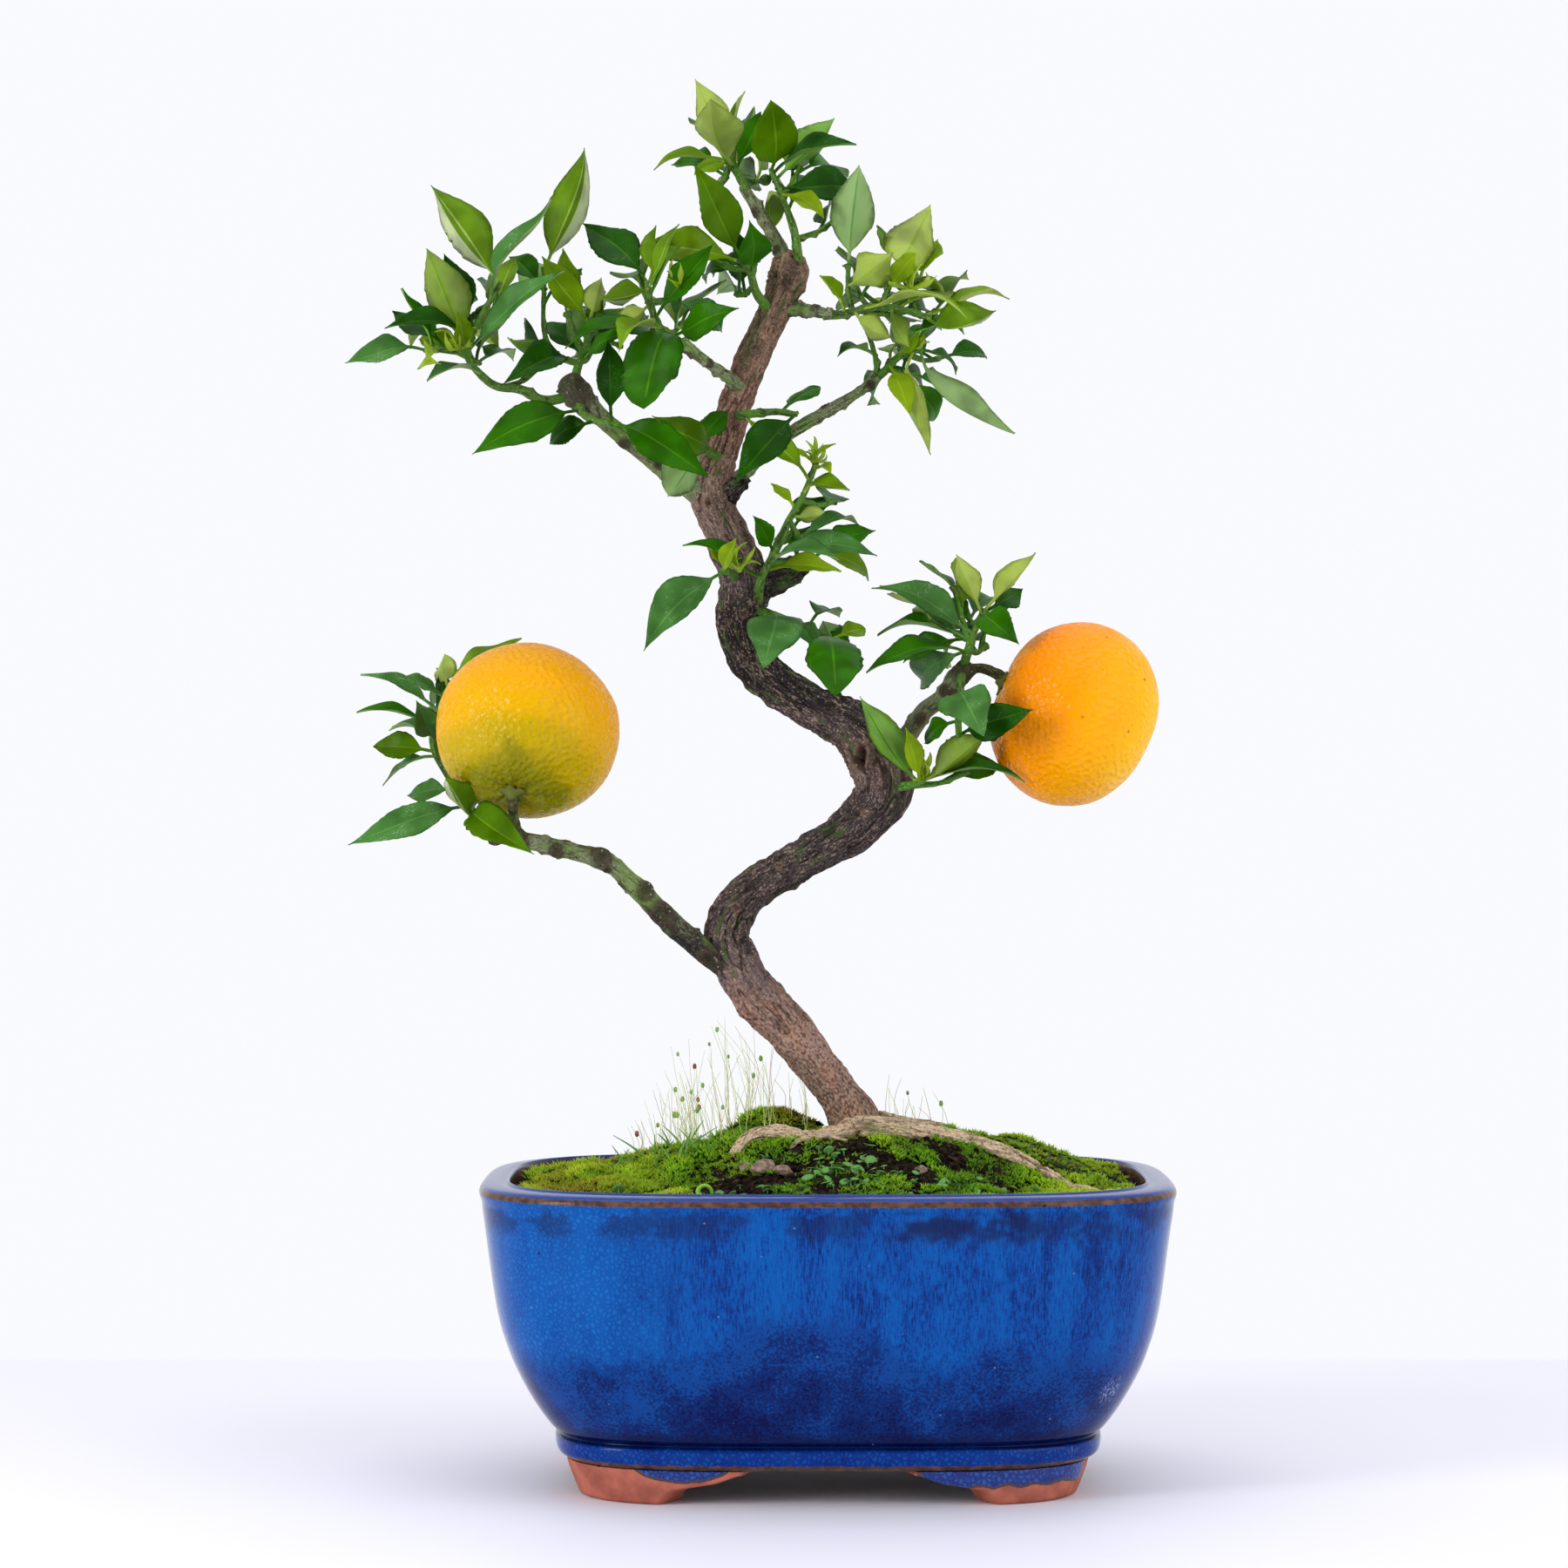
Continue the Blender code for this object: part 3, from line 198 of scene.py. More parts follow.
BOUGHS = {
    "bough_low_left": (
        (-26, 6, 143, 4.0), (-37, 2, 151, 3.9), (-47, -3, 160, 3.5), (-56, -7, 169, 3.1), (-63, -10, 175, 2.9),
        (-76, -12, 179, 2.8), (-88, -12, 182, 2.5), (-95, -12, 183, 2.1),
    ),
    "bough_low_right": (
        (14, 3, 199, 3.8), (24, 8, 212, 3.2), (28, 8, 218, 3.0), (33, 6, 222, 2.9), (37, 3, 227, 3.2),
        (40, 2, 230.5, 3.0),
    ),
    "bough_crown_left": (
        (-31, 4, 277, 4.6), (-44, -1, 286, 3.5), (-55, -6, 294, 3.0), (-66, -10, 303, 3.1), (-71, -12, 308, 4.2),
        (-73, -12, 311.5, 3.4),
    ),
    "bough_crown_inner": ((-24, 1, 311, 2.6), (-29, -6, 314, 2.1), (-34, -11, 317, 1.9), (-41, -16, 322, 1.9)),
    "bough_crown_right": (
        (-32, 5, 280, 3.2), (-27, 10, 284, 2.8), (-16, 14, 295, 2.1), (-6, 14, 302, 2.3), (8, 12, 310, 1.8),
        (14, 12, 315, 1.7),
    ),
    "bough_upper_right": ((-12, 0, 334, 3.0), (-7, -4, 333, 2.3), (1, -9, 331, 1.9)),
    "bough_apex": ((-11, 0, 342, 3.2), (-13, 0, 350, 2.6), (-16, 1, 356, 2.2), (-24, 4, 369, 1.9)),
}
BOUGH_SIDES = 6
BOUGH_STEPS = 2
BARK_ROOM = 0.4

# Burrs on the bark: middle, reach and height
TRUNK_BURRS = (
    ((9.5, -11, 205), 4.6, 2.2), ((4.5, -8, 197), 4.0, 1.6), ((-10, -5, 344), 3.6, 1.4), ((-16, 3, 341), 3.0, 1.2),
    ((-33, 2, 150), 5.5, 1.8), ((-26, -1, 131), 3.2, 1.5), ((-13, -2, 121), 2.4, 0.9), ((-35, -2, 277), 4.2, 1.6),
    ((-19, -5, 246), 3.8, 1.6), ((-31, 0, 262), 3.0, 1.0), ((2, -9, 178), 3.0, 1.0), ((-17, -4, 232), 2.6, 1.0),
    ((-26, 7, 309), 2.6, 1.1), ((-16, -4, 326), 2.2, 0.9), ((-30, -1, 165), 2.6, 0.9), ((20, -6, 193), 3.4, 1.3),
)

TRUNK_KNOTS = (
    ((-9.5, -6, 346), 3.3, 1.6), ((-16, -4, 341.5), 1.9, 1.0), ((-9.5, -5, 334), 2.3, 1.1), ((-20.5, -4, 322), 2.2, 0.9),
    ((-13.9, -6, 174), 1.9, 0.8), ((-26, -2, 162), 1.8, 0.8), ((11, -10, 189), 2.0, 0.8), ((-27, -2, 303), 1.5, 0.6),
    ((-24, -4, 246), 1.6, 0.7),
)
# Brown scabs on the boughs: middle, reach and height
BOUGH_SCABS = {
    "bough_low_left": (
        ((-33, -2, 146), 6.0, 0.6), ((-45, -5, 153), 3.2, 1.9), ((-47, -6, 160), 4.6, 0.8), ((-52, -8, 167), 3.0, 1.9),
        ((-64, -13, 177), 3.2, 1.9), ((-77, -15, 178), 2.6, 1.3), ((-87, -15, 180), 3.0, 1.7), ((-95, -14, 182), 3.4, 1.6),
    ),
    "bough_crown_left": (((-72, -15, 310), 6.5, 0.7), ((-58, -9, 294), 2.2, 1.0), ((-48, -6, 289), 2.0, 0.9)),
    "bough_low_right": (((40, -1, 231), 5.0, 0.8), ((27, 4, 216), 2.6, 1.1), ((34, 2, 224), 2.2, 1.0)),
}
# The healed wound at the elbow: middle and half-sizes
TRUNK_WOUND = ((10.4, -12, 205.5), (1.5, 7, 4.0))
# Fruit: centre, direction of the stalk end, half-length along it, half-width across it, stalk path
FRUITS = {
    "fruit_left": (
        (-85, -14, 212.4), (-0.16, -0.6, -0.78), 24.2, 26.2,
        ((-86, -12, 182, 1.9), (-87.5, -20, 184.5, 1.7), (-88.5, -26, 189, 1.9), (-88.3, -26.5, 195, 2.4)),
    ),
    "fruit_right": (
        (70.8, 0, 217.4), (-0.92, 0.0, 0.4), 23.9, 26.9,
        ((38, 2, 229, 2.4), (43, 2, 230.6, 2.1), (48, 0.8, 229.4, 2.3), (54, 0, 225.4, 2.6)),
    ),
}
FRUIT_SEGMENTS = 14
FRUIT_RINGS = 8
FRUIT_DIMPLE = 0.09

# Leaves, as the solids have them
LEAF_STATIONS = (0.16, 0.42, 0.74)
LEAF_WIDTHS = (0.16, 1.0, 0.7)
SMALL_LEAF_STATIONS = (0.3, 0.66)
SMALL_LEAF_WIDTHS = (0.75, 0.85)
SMALL_LEAF_LENGTH = 34.0
LEAF_THICKNESS = 0.035
LEAF_LEAST_THICKNESS = 0.9
LEAF_BASE_SLIM = 0.75
LEAF_FOLD = 0.30
LEAF_ROOT = 1.0
GUARD = 0.7
GUARD_START = 0.25
SWINGS = (0, -5, 5, -10, 10, -15, 15)
STEM_RADII = (1.7, 1.0)
TWIG_RADII = (1.1, 0.8)
TWIG_SIDES = 3
GOLDEN_ANGLE = math.radians(137.5)
TWIG_LENGTHS = (9.0, 17.0)
TWIG_LEAN = math.radians(58)
LEAF_LENGTHS = (19.0, 29.0)
LEAF_LEAN = math.radians(48)
LEAVES_PER_TWIG = 4
TRIES_PER_LEAF = 5
WIDTH_TO_LENGTH = 0.38

# Each mass: its stems, its outer leaves as (stem, place along it, tip x, y, z,
# width, turn of the upper side away from the viewer in degrees), the middle and half-lengths of
# the space it keeps to, how many seeded twigs fill that space, and a tone letter for each outer leaf
MASSES = {
    "leaves_low_left": dict(
        stems=(((-94, -12, 183), (-100, -11, 186), (-102, -7, 191), (-107, 0, 197), (-113, 4, 207), (-113, 6, 215),
                (-109, 9, 226)),),
        leaves=(
            (0, 0.24, -136, -14, 180, 9, 20), (0, 0.37, -121, 5, 194, 7, 30), (0, 0.19, -107, -32, 199, 10, 150),
            (0, 0.18, -82, -31, 178, 10, 15), (0, 0.85, -135, 12, 229, 6, 55), (0, 0.93, -123, 4, 228, 6, 55),
            (0, 0.98, -111, 19, 235, 7, 160), (0, 0.77, -135, 0, 218, 6, 70), (0, 0.69, -117, -10, 221, 8, 10),
            (0, 0.72, -127, 14, 213, 6, 75), (0, 0.63, -131, 8, 208, 8, 20), (0, 0.6, -128, -1, 197, 7, 70),
            (0, 1.0, -89, 21, 240, 9, 60),
        ),
        middle=(-102, 22, 214), room=(22, 24, 24), twigs=5, seed=11, tones="bbhobbyrbboby",
    ),
    "leaves_crown_left_out": dict(
        stems=(
            ((-72, -12, 308), (-80, -15, 306), (-87, -16, 309), (-94, -17, 310), (-99, -18, 314), (-102, -18, 319),
             (-100, -17, 326), (-93, -15, 339)),
            ((-102, -18, 319), (-108, -19, 320), (-114, -18, 320)),
        ),
        leaves=(
            (0, 1.0, -113, -8, 368, 12, 165), (0, 0.92, -78, -23, 362, 9, 60), (0, 0.65, -113, -24, 348, 12, 170),
            (0, 0.74, -109, -12, 348, 9, 10), (0, 0.7, -124, -26, 325, 8, 50), (1, 0.47, -124, -8, 332, 9, 30),
            (1, 1.0, -136, -23, 316, 8, 150), (0, 0.48, -112, -34, 310, 8, 105), (0, 0.63, -74, -30, 341, 9, 40),
            (1, 0.8, -120, -13, 337, 7, 70), (0, 0.62, -104, -28, 330, 6, 30), (1, 0.7, -108, -40, 314, 8, 80),
        ),
        middle=(-99, 0, 330), room=(24, 32, 22), twigs=5, seed=23, tones="hbodddBBbryf",
    ),
    "leaves_crown_left_top": dict(
        stems=(
            ((-72, -12, 311), (-71, -10, 316), (-69, -8, 321), (-68, -6, 330)),
            ((-71, -9, 317), (-77, -6, 320), (-81, -3, 327), (-81, 0, 345)),
        ),
        leaves=(
            (1, 1.0, -70, 8, 381, 11, 160), (0, 0.93, -81, -14, 347, 9, 20), (1, 0.8, -89, 26, 349, 10, 170),
            (0, 0.57, -76, 16, 338, 10, 150), (1, 0.24, -90, -26, 323, 9, 100), (0, 0.4, -56, -21, 325, 8, 50),
            (1, 0.12, -91, -18, 309, 9, 15), (1, 0.7, -71, 15, 347, 8, 40), (0, 0.97, -65, 4, 343, 7, 160),
            (1, 0.84, -92, 13, 350, 7, 20),
        ),
        middle=(-72, 18, 338), room=(24, 28, 24), twigs=6, seed=31, tones="hyrrdrdryr",
    ),
    "leaves_crown_left_low": dict(
        stems=(((-71, -12, 307), (-70, -16, 303), (-66, -20, 300), (-61, -23, 299)),),
        leaves=(
            (0, 0.3, -100, -26, 290, 11, 10), (0, 1.0, -33, -30, 283, 11, 10), (0, 1.0, -62, -19, 322, 9, 20),
            (0, 0.75, -79, -12, 294, 8, 30),
        ),
        middle=(-66, 6, 300), room=(18, 22, 14), twigs=0, seed=37, tones="rrdd",
    ),
    "leaves_crown_inner": dict(
        stems=(((-40, -15, 321), (-43, -18, 323), (-46, -19, 325), (-49, -20, 329), (-51, -19, 339)),),
        leaves=(
            (0, 1.0, -70, -1, 358, 12, 20), (0, 0.93, -42, -24, 355, 7, 50), (0, 0.96, -49, -12, 356, 7, 120),
            (0, 0.55, -32, -26, 349, 9, 30), (0, 0.92, -64, -31, 333, 7, 150), (0, 0.75, -60, -17, 326, 6, 150),
            (0, 0.25, -25, -35, 330, 10, 20), (0, 0.3, -51, -50, 301, 15, 10), (0, 0.4, -58, -40, 317, 9, 50),
            (0, 0.5, -74, -24, 320, 8, 55),
        ),
        middle=(-46, 6, 336), room=(20, 30, 22), twigs=5, seed=41, tones="dhhrhyrryr",
    ),
    "leaves_fork_left": dict(
        stems=(((-31, 1, 291), (-35, -5, 293), (-38, -10, 294)),),
        leaves=((0, 0.5, -49, -24, 300, 9, 15), (0, 0.8, -45, -32, 278, 11, 160), (0, 0.95, -29, -14, 304, 7, 20)),
        middle=(-36, 14, 296), room=(18, 20, 14), twigs=0, seed=43, tones="obr",
    ),
    "leaves_fork_right": dict(
        stems=(((-26, 1, 303), (-21, -7, 303), (-14, -13, 303), (-9, -16, 302)),),
        leaves=((0, 1.0, -26, -30, 282, 11, 10), (0, 0.8, -2, -4, 311, 8, 60)),
        middle=(-10, 6, 300), room=(16, 24, 12), twigs=0, seed=47, tones="dr",
    ),
    "leaves_upper_left": dict(
        stems=(((-15, 0, 332), (-20, -7, 337), (-22, -10, 343), (-24, -10, 346)),),
        leaves=(
            (0, 1.0, -38, -17, 373, 11, 10), (0, 0.97, -52, -4, 353, 11, 15), (0, 0.8, -22, -31, 355, 10, 20),
            (0, 0.9, -35, 8, 342, 8, 50),
        ),
        middle=(-34, 12, 350), room=(18, 26, 16), twigs=5, seed=53, tones="oyrr",
    ),
    "leaves_apex": dict(
        stems=(((-23, 4, 368), (-25, 4, 372), (-28, 4, 376), (-30, 4, 379)),),
        leaves=(
            (0, 1.0, -38, 9, 401, 9, 170), (0, 0.65, -33, -23, 390, 13, 160), (0, 0.5, -24, 18, 399, 8, 70),
            (0, 0.8, -50, 9, 375, 6, 60), (0, 0.7, -38, -7, 372, 6, 40), (0, 0.5, -19, 15, 391, 8, 20),
        ),
        middle=(-30, 16, 382), room=(18, 24, 16), twigs=4, seed=59, tones="yyyyyr",
    ),
    "leaves_apex_right": dict(
        stems=(((-8, -1, 342), (-8.5, -6, 350), (-10, -7, 357), (-13, -6, 365), (-16, -4, 373)),),
        leaves=(
            (0, 1.0, -16, -28, 389, 13, 20), (0, 0.9, 2, 4, 389, 10, 150), (0, 0.96, 8, -20, 378, 10, 60),
            (0, 0.82, 8, 10, 369, 10, 15), (0, 0.76, -1, -14, 358, 7, 40), (0, 0.72, -17, 14, 357, 7, 150),
            (0, 0.6, -5, 10, 372, 6, 20),
        ),
        middle=(0, 16, 372), room=(16, 26, 18), twigs=5, seed=61, tones="orddfyr",
    ),
    "leaves_upper_right": dict(
        stems=(
            ((-1, -8, 331), (4, -10, 331), (9, -11, 332), (15, -12, 333), (22, -12, 332), (29, -11, 330)),
            ((7, -11, 332), (6, -7, 338), (6, -5, 345)),
            ((15, -12, 333), (17, -12, 337), (18, -11, 341)),
        ),
        leaves=(
            (1, 1.0, 9, -13, 373, 12, 5), (2, 1.0, 30, 12, 365, 14, 175), (1, 0.6, 18, -30, 346, 11, 170),
            (2, 0.7, 34, 2, 338, 8, 80), (0, 0.7, 40, 5, 336, 9, 75), (0, 0.95, 52, -6, 336, 9, 75),
            (0, 0.97, 47, -30, 330, 10, 120), (0, 0.35, 39, -20, 328, 9, 80), (0, 0.3, 18, -22, 323, 7, 150),
            (0, 0.65, 23, -25, 320, 7, 150), (0, 0.2, -2, -20, 341, 6, 60), (2, 0.6, 25, -4, 348, 7, 30),
        ),
        middle=(24, 10, 342), room=(28, 30, 18), twigs=7, seed=67, tones="Byyyyyhyyoyf",
    ),
    "leaves_crown_right": dict(
        stems=(
            ((13, 12, 314), (17, 11, 317), (21, 10, 321), (27, 9, 323)),
            ((15, 12, 316), (14, 10, 321), (12, 9, 328)),
        ),
        leaves=(
            (0, 1.0, 54, 1, 298, 9, 60), (0, 0.88, 30, 3, 292, 7, 50), (0, 0.4, 24, 1, 303, 7, 10),
            (0, 0.97, 38, 22, 317, 6, 70), (1, 0.45, 3, -3, 320, 6, 80), (0, 0.75, 34, 31, 331, 9, 60),
            (1, 0.95, 20, 16, 340, 6, 30), (0, 0.6, 27, -6, 328, 7, 60),
        ),
        middle=(28, 32, 316), room=(22, 24, 18), twigs=5, seed=71, tones="BYfrrrfy",
    ),
    "leaves_mid": dict(
        stems=(((-20, 1, 248), (-19, -8, 255), (-15, -12, 263), (-11, -13, 272), (-7, -12, 279), (-3, -10, 289)),),
        leaves=(
            (0, 0.42, -21, -20, 273, 6, 20), (0, 0.38, 14, -18, 262, 10, 50), (0, 0.34, 3, -30, 260, 9, 60),
            (0, 0.65, -1, -7, 275, 5, 150), (0, 0.8, 6, -26, 280, 7, 60), (0, 0.95, 1, -21, 285, 5, 60),
            (0, 0.88, -23, -17, 301, 8, 40), (0, 0.3, 4, -6, 258, 7, 40), (0, 0.7, -16, -9, 283, 4, 40),
            (0, 0.25, -41, -16, 265, 7, 60),
        ),
        middle=(2, 12, 268), room=(18, 28, 18), twigs=5, seed=73, tones="rbbyyfyffr",
    ),
    "leaves_mid_left": dict(
        stems=(((-26, 0, 256), (-27, -7, 257), (-29, -13, 258)),),
        leaves=((0, 0.95, -52, -19, 235, 12, 25), (0, 0.8, -26, -19, 266, 5, 40), (0, 0.9, -33, -20, 266, 5, 40)),
        middle=(-40, 8, 254), room=(16, 22, 12), twigs=0, seed=79, tones="bff",
    ),
    "leaves_mid_low": dict(
        stems=(((-20, 0, 247), (-17, -6, 246), (-9, -11, 243), (-3, -11, 240), (2, -11, 238)),),
        leaves=(
            (0, 0.35, -18, -36, 230, 15, 10), (0, 0.55, -3, -20, 235, 6, 30), (0, 0.97, -1, 5, 244, 7, 150),
            (0, 0.97, 11, 0, 242, 6, 30), (0, 0.97, 2, -46, 222, 15, 10),
        ),
        middle=(2, 10, 238), room=(16, 22, 12), twigs=3, seed=83, tones="bbryr",
    ),
    "leaves_elbow": dict(
        stems=(((18, -6, 196), (24, -12, 197), (27, -14, 198)),),
        leaves=(
            (0, 0.9, 9, -24, 222, 9, 160), (0, 0.97, 45, -19, 212, 9, 160), (0, 0.85, 56, -10, 198, 7, 65),
            (0, 0.9, 22, -20, 213, 6, 30),
        ),
        middle=(36, 0, 206), room=(18, 18, 12), twigs=1, seed=89, tones="rorf",
    ),
    "leaves_low_right": dict(
        stems=(((39, 2, 230), (40, 0, 234), (41, 0, 237), (43, 0, 243), (45, 0, 247)),),
        leaves=(
            (0, 0.6, 15, -7, 254, 10, 40), (0, 0.5, 13, 7, 254, 8, 60), (0, 0.94, 37, -4, 263, 7, 160),
            (0, 0.98, 60, 5, 264, 7, 140), (0, 0.94, 57, 10, 254, 7, 10), (0, 0.93, 54, -18, 237, 9, 10),
            (0, 0.35, 29, 23, 227, 10, 20), (0, 0.3, 11, -14, 229, 10, 60), (0, 0.7, 33, 15, 251, 7, 30),
        ),
        middle=(36, 14, 246), room=(24, 28, 18), twigs=6, seed=97, tones="bbyydrbrr",
    ),
    "leaves_low_right_low": dict(
        stems=(((39, 2, 229), (38, -6, 226), (38, -12, 222), (37, -18, 216), (37, -20, 211)),),
        leaves=((0, 0.5, 43, -40, 211, 14, 5), (0, 1.0, 57, -34, 218, 10, 15), (0, 0.85, 28, -8, 209, 7, 40)),
        middle=(34, 14, 212), room=(14, 20, 12), twigs=0, seed=101, tones="bdr",
    ),
}
SEEDED_TONES = "drrrroyb"
# Young shoots: where each tuft of small curled leaves stands
SHOOTS = ((-104, -22, 320), (24, -12, 338), (-25, -14, 258), (-4, -12, 289), (25, 9, 323), (-42, -22, 337), (27, -14, 199))
SHOOT_LEAVES = 9
SHOOT_LENGTHS = (4.0, 8.5)

# Camera, measured from the photograph: focal length over sensor, height, distance and side offset in mm
LENS = 100.0
SENSOR = 36.0
CAMERA_HEIGHT = 197.3
CAMERA_DISTANCE = 1250.0
CAMERA_SIDE = -12.35
TABLE_EDGE = 256.0


def linear(hex_colour):
    """Linear red, green and blue of an sRGB hex colour: the piecewise sRGB curve undone."""
    found = []
    for place in (1, 3, 5):
        value = int(hex_colour[place:place + 2], 16) / 255
        found.append(value / 12.92 if value <= 0.04045 else ((value + 0.055) / 1.055) ** 2.4)
    return tuple(found)


# The growing rule, as the solids have it


# Middle tone of the trunk's bark at each height
BARK_TONES = tuple((height, linear(shade)) for height, shade in (
    (96, "#7A6354"), (128, "#9D7D73"), (142, "#705F5D"), (160, "#4B3F3E"), (190, "#42393B"), (204, "#6D5851"),
    (214, "#453A3D"), (224, "#2E292B"), (246, "#2D2728"), (256, "#574B4B"), (268, "#77635B"), (300, "#826152"),
    (338, "#846A57"), (350, "#A08267"),
))


def outline_at(turns, half_width, half_depth):
    """Points of |x/a|^n + |y/b|^n = 1: cosine and sine of the turn, each raised to 2/n with its sign kept."""
    across, along = np.cos(turns), np.sin(turns)
    power = 2 / CORNER_POWER
    x = half_width * np.sign(across) * np.abs(across) ** power
    y = half_depth * np.sign(along) * np.abs(along) ** power
    return np.stack([x, y], axis=-1)


def half_depth_of(half_width):
    narrowing = (RIM_DEPTH - BASE_DEPTH) / (RIM_WIDTH - BASE_WIDTH)
    return RIM_DEPTH / 2 - narrowing * (RIM_WIDTH / 2 - half_width)


def soil_height(x, y):
    """A smoothstep fall from the flat top of the mound to the pot's edge, over an elliptical distance."""
    reach = np.hypot((x - MOUND_CENTRE[0]) / MOUND_REACH[0], (y - MOUND_CENTRE[1]) / MOUND_REACH[1])
    fall = np.clip((reach - SOIL_PLATEAU) / (1 - SOIL_PLATEAU), 0, 1)
    fall = fall * fall * (3 - 2 * fall)
    return SOIL_PEAK + (SOIL_EDGE - SOIL_PEAK) * fall


def rings_to_faces(rings, sides):
    faces = []
    for ring in range(rings - 1):
        for side in range(sides):
            a = ring * sides + side
            b = ring * sides + (side + 1) % sides
            faces.append((a, b, b + sides, a + sides))
    return faces


def smooth_path(rows, steps):
    """Catmull-Rom curve through the rows, with this many steps between two of them."""
    rows = np.array(rows, dtype=float)
    padded = np.vstack([2 * rows[0] - rows[1], rows, 2 * rows[-1] - rows[-2]])
    found = []
    for a, b, c, d in zip(padded, padded[1:], padded[2:], padded[3:]):
        for step in range(steps):
            t = step / steps
            found.append(
                0.5 * (2 * b + (c - a) * t + (2 * a - 5 * b + 4 * c - d) * t**2 + (3 * b - a - 3 * c + d) * t**3)
            )
    found.append(rows[-1])
    return np.array(found)


def unit(vector):
    return vector / np.linalg.norm(vector)


def tube_shape(path, sides, grow=0.0, bumps=0.0):
    """The solids' own tube: rings of a few sides round the path, swollen lengthwise, with flat ends."""
    centres, radii = path[:, :3].copy(), path[:, 3] + grow
    ahead = np.gradient(centres, axis=0)
    centres[0] -= grow * unit(ahead[0])
    centres[-1] += grow * unit(ahead[-1])
    side_way = unit(np.cross(ahead[0], (0.31, 0.87, 0.12)))
    points = []
    for index, (centre, radius) in enumerate(zip(centres, radii)):
        axis = unit(ahead[index])
        side_way = unit(side_way - axis * np.dot(side_way, axis))
        up_way = np.cross(axis, side_way)
        for side in range(sides):
            turn = 2 * math.pi * side / sides
            swell = 1 + bumps * math.sin(3 * turn + 0.5 * index) + 0.7 * bumps * math.sin(2 * turn - 0.83 * index)
            points.append(centre + radius * swell * (math.cos(turn) * side_way + math.sin(turn) * up_way))
    faces = rings_to_faces(len(centres), sides)
    last = (len(centres) - 1) * sides
    faces += [tuple(range(sides))[::-1], tuple(range(last, last + sides))]
    return points, faces


def fruit_guard(centre, stalk_way, half_length, half_width):
    """The solids' own fruit: a flattened ball of a few faces with dimpled ends."""
    axis = unit(np.array(stalk_way, dtype=float))
    first = unit(np.cross(axis, (0.2, 0.3, 0.9)))
    second = np.cross(axis, first)
    centre = np.array(centre, dtype=float)
    points = []
    for ring in range(1, FRUIT_RINGS):
        polar = math.pi * ring / FRUIT_RINGS
        sink = 1 - FRUIT_DIMPLE * math.exp(-((math.sin(polar) / 0.35) ** 2))
        for turn in np.linspace(0, 2 * math.pi, FRUIT_SEGMENTS, endpoint=False):
            across = first * math.cos(turn) + second * math.sin(turn)
            points.append(
                centre + sink * half_length * math.cos(polar) * axis + half_width * math.sin(polar) * across
            )
    faces = rings_to_faces(FRUIT_RINGS - 1, FRUIT_SEGMENTS)
    pole = len(points)
    points += [centre + (1 - FRUIT_DIMPLE) * half_length * axis, centre - (1 - FRUIT_DIMPLE) * half_length * axis]
    last = (FRUIT_RINGS - 2) * FRUIT_SEGMENTS
    for side in range(FRUIT_SEGMENTS):
        after = (side + 1) % FRUIT_SEGMENTS
        faces.append((pole, side, after))
        faces.append((pole + 1, last + after, last + side))
    return points, faces


def leaf_frame(base, tip, turn):
    """Length, axis, upper side and width direction of a leaf whose upper side is turned from the viewer."""
    axis = unit(tip - base)
    facing = np.array((0.0, -1.0, 0.0)) if abs(axis[1]) < 0.93 else np.array((0.0, 0.0, 1.0))
    upper = unit(facing - axis * np.dot(facing, axis))
    sideways = np.cross(axis, upper)
    if sideways[2] < 0:
        sideways = -sideways
    upper = math.cos(math.radians(turn)) * upper + math.sin(math.radians(turn)) * sideways
    return np.linalg.norm(tip - base), axis, upper, np.cross(upper, axis)


def leaf_arch(axis):
    """A leaf that lies level or hangs is more arched than one that stands up."""
    return 0.05 + 0.1 * (1 - max(0.0, axis[2])) ** 2


def leaf_shape(base, tip, width, turn, guard=0.0, start=0.0):
    """The solids' own leaf of 16 or 24 triangles; as a guard it is thicker and starts later."""
    length, axis, upper, across = leaf_frame(base, tip, turn)
    small = length < SMALL_LEAF_LENGTH
    stations = SMALL_LEAF_STATIONS if small else LEAF_STATIONS
    widths = SMALL_LEAF_WIDTHS if small else LEAF_WIDTHS
    arch = leaf_arch(axis) * (1 if turn < 90 else -1)
    thick = max(LEAF_LEAST_THICKNESS, LEAF_THICKNESS * length) / 2 + guard
    points = []
    for place, share in zip(stations, widths):
        place = max(place, start)
        middle = base + axis * length * place + upper * arch * length * 4 * place * (1 - place)
        half = width / 2 * share
        raised = upper * LEAF_FOLD * half
        half += guard
        slim = LEAF_BASE_SLIM if share < 0.5 else 1.0
        points += [
            middle + across * half + raised,
            middle + upper * thick * slim,
            middle - across * half + raised,
            middle - upper * thick * slim,
        ]
    faces = rings_to_faces(len(stations), 4)
    ends = len(points)
    root = -LEAF_ROOT if not guard else 0.8 * start * length
    points += [base + axis * root, tip + axis * guard]
    last = 4 * (len(stations) - 1)
    for side in range(4):
        after = (side + 1) % 4
        faces.append((ends, after, side))
        faces.append((ends + 1, last + side, last + after))
    return points, faces


def place_on(path, share):
    """The point this share of the way along a path."""
    runs = np.linalg.norm(np.diff(path[:, :3], axis=0), axis=1)
    along = np.concatenate([[0], np.cumsum(runs)])
    return np.array([np.interp(share * along[-1], along, path[:, axis]) for axis in range(3)])


def with_radii(points, radii):
    """Path rows whose radius goes evenly from the first value to the last."""
    return np.column_stack([np.array(points, dtype=float), np.linspace(radii[0], radii[1], len(points))])


def tree_of(shape):
    points, faces = shape
    return BVHTree.FromPolygons([Vector(point) for point in points], faces)


def touches(guard, others):
    return any(guard.overlap(other) for other in others)


